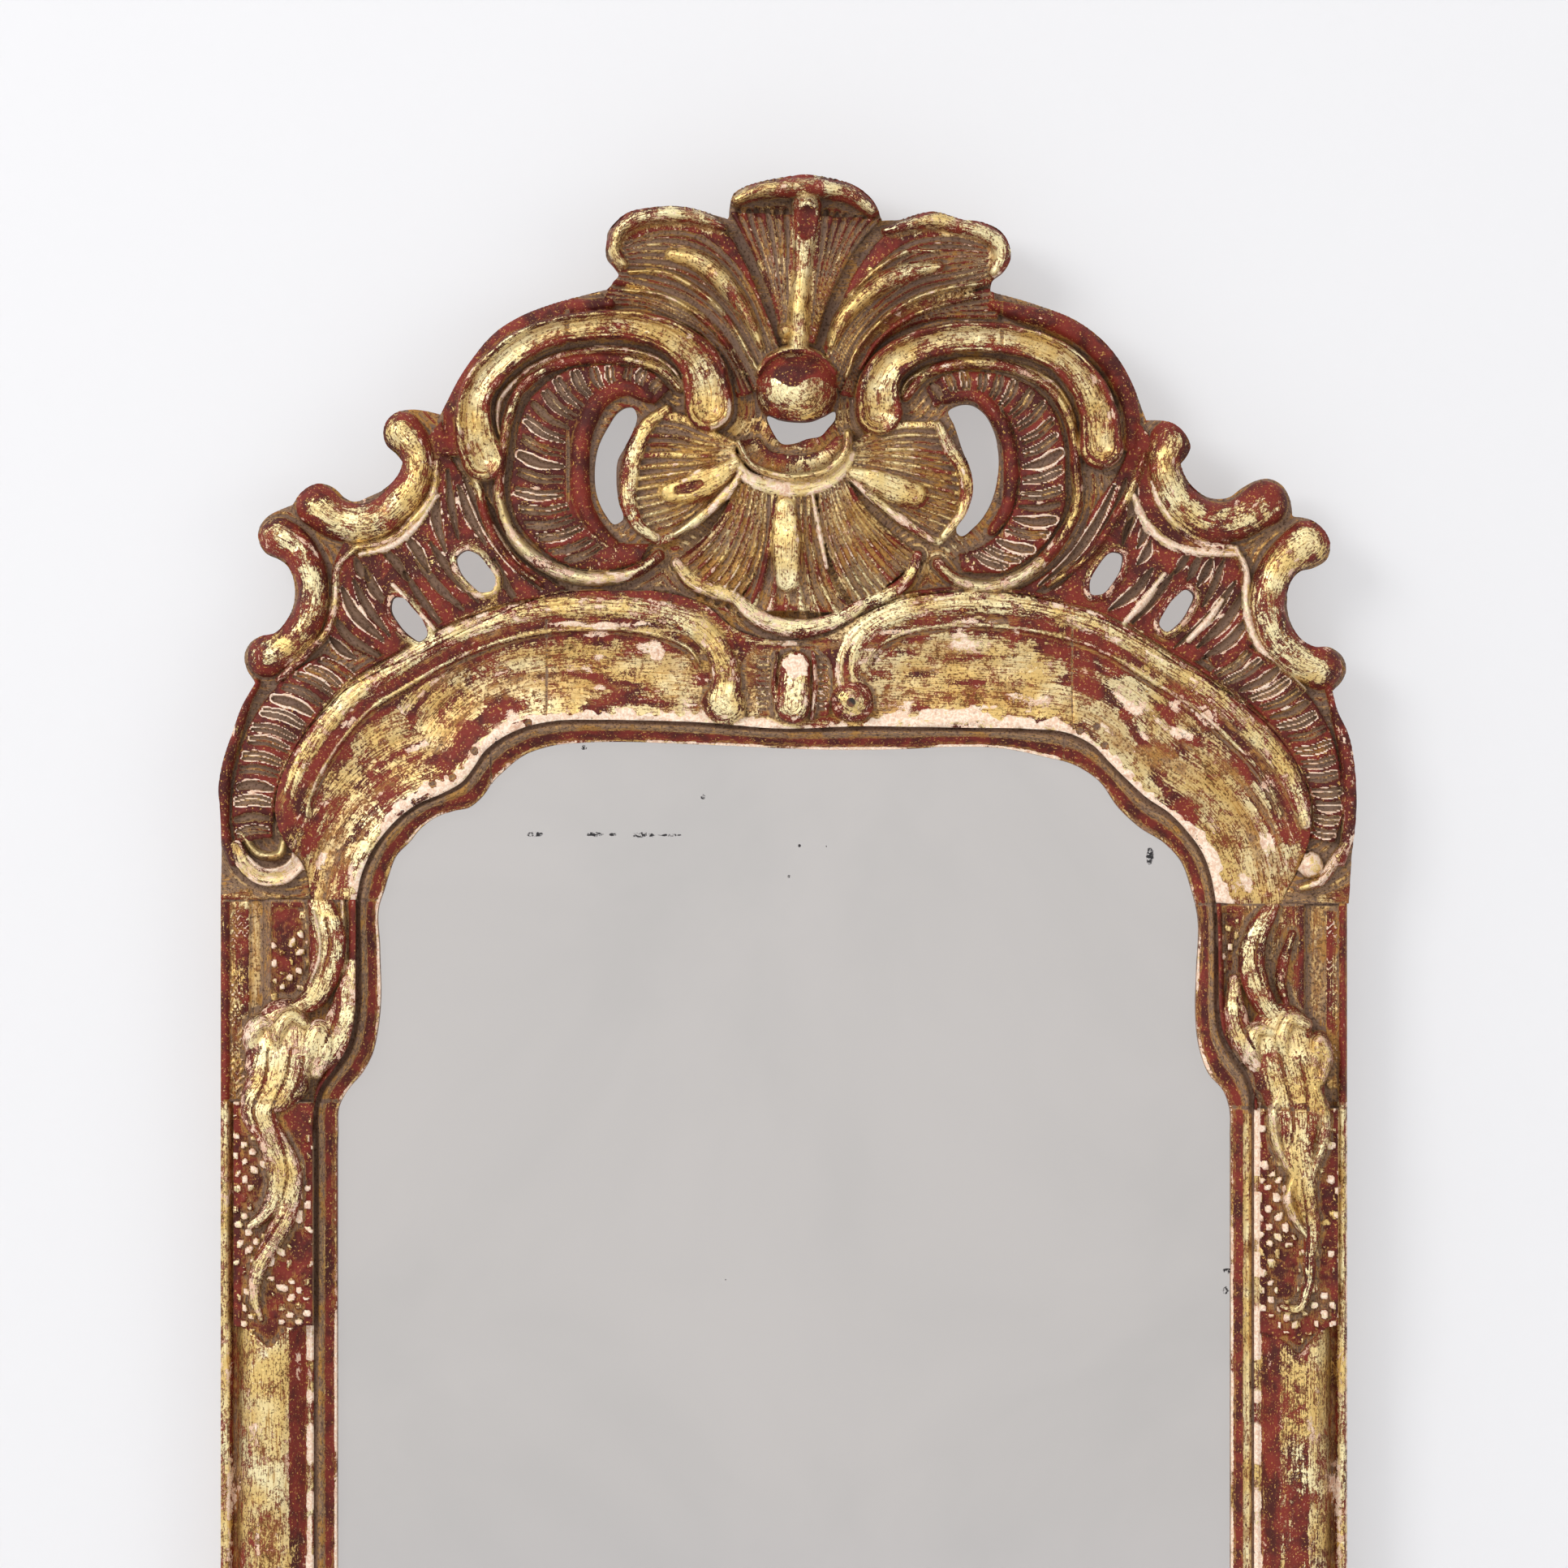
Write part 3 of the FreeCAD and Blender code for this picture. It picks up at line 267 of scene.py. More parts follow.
def wide_line(stations):
    """A line with its own half widths: both run through the stations as one smooth curve."""
    p = np.asarray(stations, float)
    run = length_run(p[:, :2])
    return smooth_line(p[:, :2]), np.interp(np.linspace(0, run[-1], 40), run, p[:, 2])


def hash_noise(x, y, seed):
    """Value noise: random heights at whole steps, blended with the cubic 3t^2 - 2t^3 between them."""
    column, row = np.floor(x).astype(np.int64), np.floor(y).astype(np.int64)
    fx, fy = x - column, y - row
    fx, fy = fx * fx * (3 - 2 * fx), fy * fy * (3 - 2 * fy)

    def value(i, j):
        n = (i * 374761393 + j * 668265263 + seed * 974634777) & 0x7FFFFFFF
        n = ((n ^ (n >> 13)) * 1274126177) & 0x7FFFFFFF
        return ((n ^ (n >> 16)) & 0xFFFF) / 65535.0
    top = value(column, row) * (1 - fx) + value(column + 1, row) * fx
    low = value(column, row + 1) * (1 - fx) + value(column + 1, row + 1) * fx
    return top * (1 - fy) + low * fy


def run_noise(run, seed):
    """Noise along a run alone."""
    return hash_noise(run, run * 0, seed)


def soft_step(value, low, high):
    """0 below low, 1 above high, and the cubic 3t^2 - 2t^3 between."""
    t = np.clip((value - low) / (high - low), 0, 1)
    return t * t * (3 - 2 * t)


def blur(field, steps):
    """Mean over a square window of 2 * steps + 1, taken twice."""
    for axis in (0, 1, 0, 1):
        total = np.cumsum(np.concatenate([np.zeros_like(field.take([0], axis)), field], axis), axis)
        i = np.arange(field.shape[axis])
        high, low = np.minimum(i + steps + 1, len(i)), np.maximum(i - steps, 0)
        span = np.expand_dims((high - low).astype(float), 1 - axis)
        field = (total.take(high, axis) - total.take(low, axis)) / span
    return field


class Sheet:
    """A grid of the carving. Each point has its height h, its wear red, white and dark, dark carrying painted
    shade in a few places, and the place u along and v across the cut it lies in, which the streaks of the
    gilding follow."""

    def __init__(self, xs, ys):
        self.xs, self.ys = np.asarray(xs, float), np.asarray(ys, float)
        self.X, self.Y = np.meshgrid(self.xs, self.ys)
        self.h, self.white, self.dark = (np.zeros_like(self.X) for _ in range(3))
        self.red = np.full_like(self.X, 0.5)
        self.u, self.v = self.X * MM, self.Y * MM

    def window(self, low, high):
        """The rows and columns between two corners."""
        i0, i1 = np.searchsorted(self.xs, [low[0], high[0]])
        j0, j1 = np.searchsorted(self.ys, [low[1], high[1]])
        return slice(j0, j1), slice(i0, i1)

    def near(self, line, reach):
        """Nearest point of a polyline for every grid point within reach: the window, the distance signed by
        side, the length run to it, and the whole length."""
        line = np.asarray(line, float)
        chord = np.diff(line, axis=0)
        square = np.maximum((chord**2).sum(1), 1e-9)
        run = np.concatenate([[0], np.cumsum(np.sqrt(square))])
        win = self.window(line.min(0) - reach, line.max(0) + reach)
        shape = self.X[win].shape
        best, along, side = np.full(shape, 1e9), np.zeros(shape), np.ones(shape)
        j0, i0 = win[0].start, win[1].start
        for k in range(0, len(chord), 12):
            a, d, s = line[k:k + 13][:-1], chord[k:k + 12], square[k:k + 12]
            part = self.window(line[k:k + 13].min(0) - reach, line[k:k + 13].max(0) + reach)
            local = (slice(part[0].start - j0, part[0].stop - j0),
                     slice(part[1].start - i0, part[1].stop - i0))
            x, y = self.X[part][..., None], self.Y[part][..., None]
            if x.size == 0:
                continue
            t = np.clip(((x - a[:, 0]) * d[:, 0] + (y - a[:, 1]) * d[:, 1]) / s, 0, 1)
            ex, ey = x - a[:, 0] - t * d[:, 0], y - a[:, 1] - t * d[:, 1]
            away = ex * ex + ey * ey
            nearest = away.argmin(-1)[..., None]
            away, cross, t = (np.take_along_axis(values, nearest, -1)[..., 0]
                              for values in (away, ex * d[:, 1] - ey * d[:, 0], t))
            nearest = nearest[..., 0]
            better = away < best[local]
            best[local] = np.where(better, away, best[local])
            side[local] = np.where(better, np.where(cross < 0, -1, 1), side[local])
            along[local] = np.where(better, run[k:k + 12][nearest] + t * np.sqrt(s)[nearest], along[local])
        return win, np.sqrt(best) * side, along, run[-1]

    def distance(self, line, reach):
        """Distance to a polyline and the length run to it, over the whole sheet. Points outside the line's
        window keep the reach."""
        away, along = np.full(self.X.shape, float(reach)), np.zeros(self.X.shape)
        win, d, run, _ = self.near(line, reach)
        away[win], along[win] = np.abs(d), run
        return away, along

    def inside(self, polygon):
        """True inside a closed polygon, by counting the sides crossed to the left of each grid point."""
        p = np.asarray(polygon, float)
        q = np.roll(p, -1, axis=0)
        rows = self.ys[None, :]
        crosses = (p[:, 1:2] <= rows) != (q[:, 1:2] <= rows)
        dy = np.where(np.abs(q[:, 1:2] - p[:, 1:2]) < 1e-9, 1e-9, q[:, 1:2] - p[:, 1:2])
        x = p[:, 0:1] + (rows - p[:, 1:2]) / dy * (q[:, 0:1] - p[:, 0:1])
        column = np.searchsorted(self.xs, x)
        counts = np.zeros((len(self.ys), len(self.xs) + 1))
        side, row = np.nonzero(crosses)
        np.add.at(counts, (row, column[side, row]), 1)
        return (np.cumsum(counts, axis=1)[:, :-1] % 2) > 0.5

    def signed(self, polygon, reach=16.0):
        """Distance to a closed polygon, negative inside, cut off at a reach."""
        away = np.minimum(self.distance(np.vstack([polygon, polygon[:1]]), reach)[0], reach)
        return np.where(self.inside(polygon), -away, away)

    def paint(self, where, **layers):
        """Sets layers where a mask holds, each to one value or to its own at each point."""
        for name, value in layers.items():
            getattr(self, name)[where] = value if np.ndim(value) == 0 else value[where]

    def raise_to(self, win, mask, **layers):
        """Adds a form within a window: it shows wherever it stands higher than what is there."""
        mask = mask & (layers["h"] > self.h[win])
        for name, value in layers.items():
            getattr(self, name)[win][mask] = value if np.ndim(value) == 0 else value[mask]


# ---- the carver's tools
def spread(values, share):
    """Values given at even steps along a line, read at a share of its length."""
    values = np.atleast_1d(np.asarray(values, float))
    if len(values) == 1:
        return np.full_like(share, values[0])
    return np.interp(share, np.linspace(0, 1, len(values)), values)


def as_line(points):
    """Points given as a list are smoothed; an array is a line already."""
    return points if isinstance(points, np.ndarray) else smooth_line(points)


def groove(sheet, line, widths, depth, red, dark):
    """Cut along a line: depth * (1 - u^2) taken off, u being the distance over the half width."""
    win, d, run, length = sheet.near(line, np.max(widths) + 1)
    u = np.clip(np.abs(d) / np.maximum(spread(widths, run / length), 0.3), 0, 1)
    ends = np.clip(np.minimum(run, length - run) / 6.0 + 0.25, 0, 1)
    sheet.h[win] -= depth * (1 - u * u) * ends
    inside = u < 0.9
    sheet.dark[win][inside] = np.maximum(sheet.dark[win][inside], dark)
    sheet.red[win][inside] = red


def ball(sheet, centre, radius, height, base, red=0.3, white=0.0, squash=1.0, power=2.0):
    """Rounded boss: base + (height - base) * sqrt(1 - u^power) with u the distance from the centre over the
    radius. A power of 2 is a half ball, and a higher one is flatter."""
    cx, cy = centre
    reach = radius * 1.3 + 2
    win = sheet.window((cx - reach, cy - reach), (cx + reach, cy + reach))
    x, y = sheet.X[win] - cx, (sheet.Y[win] - cy) / squash
    angle = np.arctan2(y, x)
    u = np.hypot(x, y) / (radius * (1 + .1 * (hash_noise(angle * 2 + 9, x * 0, int(cx)) - .5)))
    sheet.raise_to(win, u < 1, h=base + (height - base) * np.sqrt(np.clip(1 - u**power, 0, 1)),
                   red=red + .45 * (u * u - .4), white=white, u=angle * radius * MM, v=u * radius * MM,
                   dark=0.0)


SECTIONS = {
    "roll": ([0, .2, .4, .6, .75, .87, .95, 1], [1, .98, .92, .8, .66, .49, .31, 0]),
    "ridge": ([0, .25, .5, .75, 1], [1, .93, .74, .42, 0]),
    "flat": ([0, .5, .75, .9, .97, 1], [1, .97, .88, .68, .42, 0]),
    "scroll": ([-1, -.95, -.86, -.72, -.45, 0, .35, .55, .68, .8, .92, 1],
               [0, .5, .74, .78, .66, .6, .66, .82, .98, .96, .7, 0]),
}


def raised(sheet, points, widths, heights, foot, form="roll", red=0.3, white=0.0, dark=0.0, rim=0.35,
           lines=0):
    """Raised form along a line: foot + (height - foot) * section(u), u being the distance over the half
    width. The sections are tables, symmetric except for the scroll's, whose crest lies towards its outer
    side. Hand work sways the width and the height by noise along the run, and fine parallel cuts are a cosine
    of u."""
    win, d, run, length = sheet.near(as_line(points), np.max(widths) + 3)
    w = spread(widths, run / length)
    w = w * (1 + 0.08 * (hash_noise(run / 14.0, np.sign(d) * 4.0, int(length)) - 0.5))
    u = np.clip(d / np.maximum(w, 0.5), -1.1, 1.1)
    top = spread(heights, run / length) + 0.5 * (run_noise(run / 22.0, 7 + int(length)) - 0.5)
    height = foot + (top - foot) * np.interp(u if form == "scroll" else np.abs(u), *SECTIONS[form])
    cut = 0.5 + 0.5 * np.cos(u * lines * math.pi) if lines else 0
    height = height - 0.28 * cut * (np.abs(u) < 0.85)
    sheet.raise_to(win, np.abs(u) < 1, h=height, red=red + rim * (u * u - 0.35) + 0.25 * cut, white=white,
                   u=run * MM, v=d * MM, dark=dark + 0.5 * np.clip(np.abs(u) - 0.9, 0, 1) * 10)


def gouge(sheet, points, widths, depth, lip=0.3, rim_white=0.35, dark=0.8, red=0.55):
    """Lens-shaped cut of a gouge: depth * (1 - u^2) taken off, with a low burr where u is near 1 that the
    wear has bared."""
    win, d, run, length = sheet.near(as_line(points), np.max(widths) * 1.5 + 2)
    u = np.abs(d) / np.maximum(spread(widths, run / length), 0.6)
    burr = np.exp(-((u - 1.08) / 0.22)**2)
    sheet.h[win] += lip * burr - spread(depth, run / length) * np.clip(1 - u * u, 0, 1)
    inside = u < 0.85
    for layer, value in ((sheet.dark, dark), (sheet.red, red)):
        layer[win][inside] = value
    sheet.u[win][inside], sheet.v[win][inside] = (run * MM)[inside], (d * MM)[inside]
    sheet.white[win] = np.where(inside, 0.0, np.maximum(sheet.white[win], rim_white * burr))
    sheet.dark[win] = np.where(inside, sheet.dark[win], sheet.dark[win] * (1 - 0.8 * burr))


def band(sheet, side_a, side_b, low_a, low_b, crown, red, dark):
    """Ruled surface between two lines, t across it: low_a * (1 - t) + low_b * t + crown * 4t(1 - t). It takes
    the place of what was there."""
    a, b = smooth_line(side_a), smooth_line(side_b)
    reach = np.max(np.linalg.norm(even(side_a) - even(side_b), axis=1)) * 1.2 + 4
    away_a, along = sheet.distance(a, reach)
    away_b, _ = sheet.distance(b, reach)
    t = away_a / (away_a + away_b + 1e-6)
    sheet.paint(sheet.inside(np.vstack([a, b[::-1]])),
                h=low_a * (1 - t) + low_b * t + crown * 4 * t * (1 - t), red=red, white=0.0, dark=dark,
                u=t * reach * MM, v=along * MM)


def fan(sheet, side_a, side_b, count, depth, seed, bulge=0.0, lip=.22):
    """Long flutes side by side: cut i runs a share s = (i + 1/2)/count of the way from one side line to the
    other and takes up its share of the gap. Where the patch ends in a curve, each is drawn out by bulge *
    4s(1 - s)."""
    a, b = even(side_a), even(side_b)
    rng = np.random.default_rng(seed)
    gap = np.linalg.norm(b - a, axis=1) / count / 2
    taper = np.interp(np.linspace(0, 1, len(gap)), [0, .12, .9, 1], [.7, 1, 1, .75])
    for i in range(count):
        share = (i + 0.5 + rng.uniform(-.12, .12)) / count
        line = a * (1 - share) + b * share
        line = line[0] + (line - line[0]) * (1 + bulge * 4 * share * (1 - share) / np.linalg.norm(line[-1] - line[0]))
        gouge(sheet, line, gap * .95 * taper, np.clip(depth * gap / 6.0, 0.5, depth) * rng.uniform(.85, 1.15),
              red=rng.uniform(.35, .7), dark=rng.uniform(.6, 1.0), rim_white=.25 * rng.uniform(0.2, 1.6),
              lip=lip)


def comb(sheet, side_a, side_b, count, depth=2.0, fill=0.66, bow=0.06, seed=5, rim_white=0.6):
    """Short gouge cuts across a band, the i-th where a share (i + 1/2)/count of the two sides' lengths is.
    Most are twin cuts, which leave a thin ridge down their middle."""
    n = 160
    a, b = even(side_a, n), even(side_b, n)
    rng = np.random.default_rng(seed)
    pitch_a, pitch_b = length_run(a)[-1] / count, length_run(b)[-1] / count
    widths = np.array([pitch_a * .7, pitch_a, (pitch_a + pitch_b) / 2, pitch_b, pitch_b * .55]) / 2 * fill
    for i in range(count):
        k = int(np.clip((i + 0.5 + rng.uniform(-.1, .1)) / count * n, 2, n - 3))
        p, q = a[k], b[k]
        reach = q - p
        tangent = a[k + 2] - a[k - 2]
        tangent = tangent / max(np.linalg.norm(tangent), 1e-6)
        p, q = p + reach * (.08 + rng.uniform(0, .06)), q - reach * (.08 + rng.uniform(0, .06))
        line = smooth_line([p, (p + q) / 2 + tangent * bow * np.linalg.norm(reach), q])
        dark = rng.uniform(.6, 1.1)
        shifts, narrow, shallow = ((-.42, .42), .55, .8) if rng.uniform() < .8 else ((0,), 1, 1)
        for shift in shifts:
            gouge(sheet, line + tangent * shift * widths[1], widths * rng.uniform(.85, 1.1) * narrow,
                  depth * rng.uniform(.8, 1.15) * shallow, dark=dark, red=rng.uniform(.3, .6),
                  rim_white=rim_white * rng.uniform(0, 2.2), lip=.25)


def punch(sheet, ring, pitch, low, lift, form="lozenge"):
    """Punched ground inside a ring: on a lattice turned by an eighth of a circle and warped by slow noise,
    each cell keeps a raised lozenge where |p|^1.5 + |q|^1.5 is small, or the rows are zigzag lines; the rest
    is struck down."""
    ring = dense(ring) if isinstance(ring, list) else ring
    where = sheet.inside(ring)
    x = sheet.X + 9 * (hash_noise(sheet.X / 24, sheet.Y / 24, 83) - .5)
    y = sheet.Y + 9 * (hash_noise(sheet.X / 24, sheet.Y / 24, 84) - .5)
    if form == "zigzag":
        wave = np.abs(((x / pitch) % 1) - .5) * 2
        mark = np.clip(1 - np.abs((((y / pitch) + wave * .9) % 1) - .5) * 4.8, 0, 1)
    else:
        p, q = ((x + y) / pitch / 1.41) % 1 - .5, ((y - x) / pitch / 1.41) % 1 - .5
        size = .15 + .14 * hash_noise(x / 12, y / 12, 86)
        mark = soft_step(size - np.abs(p)**1.5 - np.abs(q)**1.5, 0, .06)
    worn = hash_noise(x / 22, y / 22, 81)
    mark = mark * soft_step(worn, .32, .50)
    left = mark > .45
    sheet.paint(where, h=low + lift * mark * (.6 + .6 * worn) + .3 * (hash_noise(x / 6, y / 6, 85) - .5),
                white=np.where(left, .62 * (worn > .52), .05), dark=np.where(left, 0, .35),
                red=np.where(left, .2, .95 if form == "lozenge" else .6))


def lay_rows(sheet, rows, foot=8.5, rim=.45):
    """Raised forms from a table: line, half widths, heights, section, red and white."""
    for line, widths, heights, form, red, white in rows:
        raised(sheet, line, widths, heights, foot, form, red=red, white=white, rim=rim)


# ---- the crest's carving
LEFT_SCROLL = [
    (597, 568, 27), (588, 545, 26), (584, 515, 23), (590, 482, 21), (615, 450, 20), (645, 427, 19),
    (680, 412, 18), (720, 404, 18), (760, 402, 19), (800, 408, 20), (838, 425, 23), (862, 450, 27),
    (872, 478, 30), (874, 504, 32),
]
RIGHT_SCROLL = [
    (1083, 510, 30), (1081, 482, 27), (1095, 452, 23), (1122, 433, 20), (1160, 421, 19), (1200, 417, 19),
    (1240, 420, 19), (1280, 430, 19), (1315, 450, 20), (1338, 478, 22), (1352, 512, 25), (1356, 552, 28),
]
WING_SCROLLS = [
    [(498, 534, 26), (512, 552, 22), (517, 574, 21), (510, 598, 22), (492, 622, 24), (470, 640, 25),
     (440, 646, 26), (412, 638, 26), (394, 625, 27)],
    [(346, 662, 25), (366, 674, 22), (382, 700, 21), (388, 740, 20), (379, 768, 21), (358, 793, 23),
     (332, 810, 26)],
    [(1440, 546, 27), (1432, 572, 21), (1440, 602, 23), (1460, 628, 25), (1490, 645, 26), (1520, 643, 25),
     (1556, 622, 29)],
    [(1608, 670, 29), (1582, 688, 23), (1563, 720, 23), (1559, 752, 23), (1568, 782, 23), (1590, 808, 24),
     (1624, 824, 28)],
]
SCROLL_BACKS = [
    ([(562, 552), (560, 512), (570, 480), (590, 449), (620, 421), (655, 401), (700, 385), (752, 376)],
     [13, 13, 14, 15, 15, 15, 13, 8], [12, 13, 13.5, 13.5, 13.5, 13], .95, 0),
    ([(1222, 378), (1262, 390), (1302, 402), (1338, 423), (1364, 449), (1382, 480), (1390, 515), (1391, 548)],
     [8, 13, 15, 15, 15, 14, 14, 12], [13, 13.5, 13.5, 13.5, 13, 12], .9, .25),
]
LEFT_RIM = [
    (838, 480), (815, 457), (780, 446), (740, 443), (700, 447), (665, 462), (640, 485), (628, 515),
    (621, 550), (617, 585), (616, 615), (628, 652), (655, 685), (700, 709), (745, 714), (790, 702),
    (812, 686),
]
RIGHT_RIM = [
    (1115, 490), (1140, 463), (1180, 450), (1220, 450), (1260, 460), (1295, 483), (1315, 515), (1323, 550),
    (1324, 580), (1327, 605), (1323, 632), (1307, 663), (1280, 695), (1245, 717), (1205, 724), (1175, 714),
    (1155, 696),
]
SHELL_FOOT = [
    (834, 695), (850, 714), (878, 727), (904, 736), (936, 763), (985, 775), (1032, 764), (1062, 746),
    (1092, 734), (1120, 710), (1130, 685),
]
BEAD_LEFT = [
    (353, 1022, 9), (355, 990, 12), (366, 955, 13), (385, 920, 14), (410, 885, 14), (445, 850, 14),
    (490, 822, 13), (540, 793, 13), (590, 772, 13), (640, 757, 14), (690, 750, 14), (740, 748, 14),
    (795, 752, 15), (835, 762, 16), (868, 780, 17), (888, 808, 17), (896, 840, 18), (892, 862, 22),
]
BEAD_RIGHT = [
    (1049, 858, 22), (1043, 835, 17), (1044, 808, 16), (1057, 785, 16), (1080, 766, 16), (1110, 753, 15),
    (1150, 746, 15), (1190, 743, 15), (1230, 745, 14), (1270, 750, 14), (1310, 758, 14), (1350, 770, 14),
    (1390, 790, 14), (1430, 815, 14), (1470, 840, 14), (1500, 862, 14), (1530, 890, 14), (1560, 920, 14),
    (1585, 955, 13), (1600, 990, 12), (1606, 1015, 8),
]
FLOW_REACH, FLOW_PITCH = 90, 9


def carve_ground(s):
    """The board: 8.6 mm with slow hand-cut waves of value noise."""
    s.h[:] = BOARD_MM + 0.8 * (hash_noise(s.X / 24, s.Y / 24, 11) - 0.5) + 0.3 * (
        hash_noise(s.X / 6, s.Y / 9, 12) - 0.5)
    s.red[:] = 0.55
    s.dark[:] = 0.75


def carve_flow(s):
    """Tool marks of the ground that follow the forms on it: 0.35 * cos(2 pi d / 9) of the distance d to the
    nearest form, fading out with d."""
    lines = [wide_line(stations)[0] for stations in [LEFT_SCROLL, RIGHT_SCROLL, BEAD_LEFT,
                                                     BEAD_RIGHT] + WING_SCROLLS]
    lines += [smooth_line(rim) for rim in (LEFT_RIM, RIGHT_RIM, SHELL_FOOT)]
    best = np.full(s.X.shape, float(FLOW_REACH))
    for line in lines:
        win, d, run, _ = s.near(line, FLOW_REACH)
        closer = np.abs(d) < best[win]
        best[win] = np.where(closer, np.abs(d), best[win])
        s.u[win] = np.where(closer, run * MM, s.u[win])
        s.v[win] = np.where(closer, d * MM, s.v[win])
    wave = np.cos(2 * math.pi * (best + 5 * hash_noise(s.X / 40, s.Y / 40, 13)) / FLOW_PITCH)
    s.h -= .35 * wave * np.clip(1 - best / FLOW_REACH, 0, 1)
    s.dark -= .25 * (wave < -.4)


# The combed band inside each large scroll: the sides of its ground, the ends of its cuts, their seed, and the
# core that it curls round with half widths, height, red and rim.
INNER_COMBS = [
    (([(826, 482), (804, 461), (770, 453), (735, 452), (700, 458), (672, 475), (650, 500), (640, 530),
       (634, 570), (630, 612), (640, 646), (666, 676), (702, 698), (745, 704), (790, 694)],
      [(806, 500), (790, 486), (765, 482), (745, 487), (728, 502), (712, 524), (704, 550), (702, 580),
       (705, 612), (716, 636), (735, 655), (760, 668), (800, 672)]),
     ([(822, 478), (800, 459), (765, 453), (730, 452), (700, 458), (672, 475), (650, 500), (640, 530),
       (634, 570), (630, 612), (640, 646), (666, 676), (702, 698)],
      [(808, 492), (788, 482), (765, 480), (745, 485), (728, 500), (712, 522), (704, 550), (702, 580),
       (704, 612), (712, 634), (724, 650), (738, 664), (752, 674)]), 5,
     [(800, 490), (770, 478), (742, 492), (722, 525), (715, 575), (718, 618), (734, 650), (756, 672)],
     [9, 12, 13, 13, 13, 13, 11, 8], 13.0, 1.1, -.1),
    (([(1140, 480), (1166, 463), (1200, 460), (1240, 466), (1275, 482), (1298, 510), (1309, 545), (1311, 585),
       (1311, 626), (1295, 660), (1268, 688), (1235, 706), (1185, 706)],
      [(1150, 504), (1182, 488), (1212, 492), (1238, 512), (1250, 540), (1255, 575), (1253, 610), (1243, 640),
       (1228, 660), (1205, 676), (1180, 684)]),
     ([(1140, 478), (1166, 462), (1200, 460), (1240, 466), (1275, 482), (1298, 510), (1308, 545), (1310, 585),
       (1310, 626), (1295, 660), (1268, 688), (1232, 706)],
      [(1155, 498), (1182, 486), (1212, 492), (1238, 512), (1250, 540), (1255, 575), (1253, 610), (1243, 640),
       (1228, 660), (1208, 676), (1190, 684)]), 8,
     [(1165, 492), (1200, 488), (1228, 515), (1242, 550), (1245, 590), (1238, 630), (1222, 655)],
     [8, 9, 10, 10, 10, 9, 7], 12.6, .8, .2),
]


def carve_combs(s):
    """The combed bands inside the large scrolls, and the rims that hold them."""
    for ground, ends, seed, core, widths, height, red, rim in INNER_COMBS:
        band(s, *ground, 11.5, 10.5, 1.6, red=0.8, dark=0.1)
        comb(s, *ends, 19, seed=seed)
        raised(s, core, widths, height, 8.0, red=red, rim=rim)
    for rim in (LEFT_RIM, RIGHT_RIM):
        raised(s, rim, [6, 8, 8, 7, 7, 7, 8, 9, 9, 8], [13, 13.5, 14, 14, 14, 14, 14.5, 14.5, 14], 8.0,
               red=0.5, white=0.18)
    for end, red, white in ((LEFT_RIM[10:], .05, .35), (RIGHT_RIM[11:], .15, .3)):
        raised(s, end, [5, 9, 10, 9, 6], [14, 15, 15, 14], 8.0, red=red, white=white, rim=0.1)


def fluted(sheet, sides, levels, red, dark, flutes):
    """A ruled surface and the sets of flutes cut into it. The levels are its heights at both sides and its
    crown."""
    band(sheet, *sides, *levels, red=red, dark=dark)
    for side_a, side_b, count, depth, seed, bulge, lip in flutes:
        fan(sheet, side_a, side_b, count, depth, seed, bulge, lip)


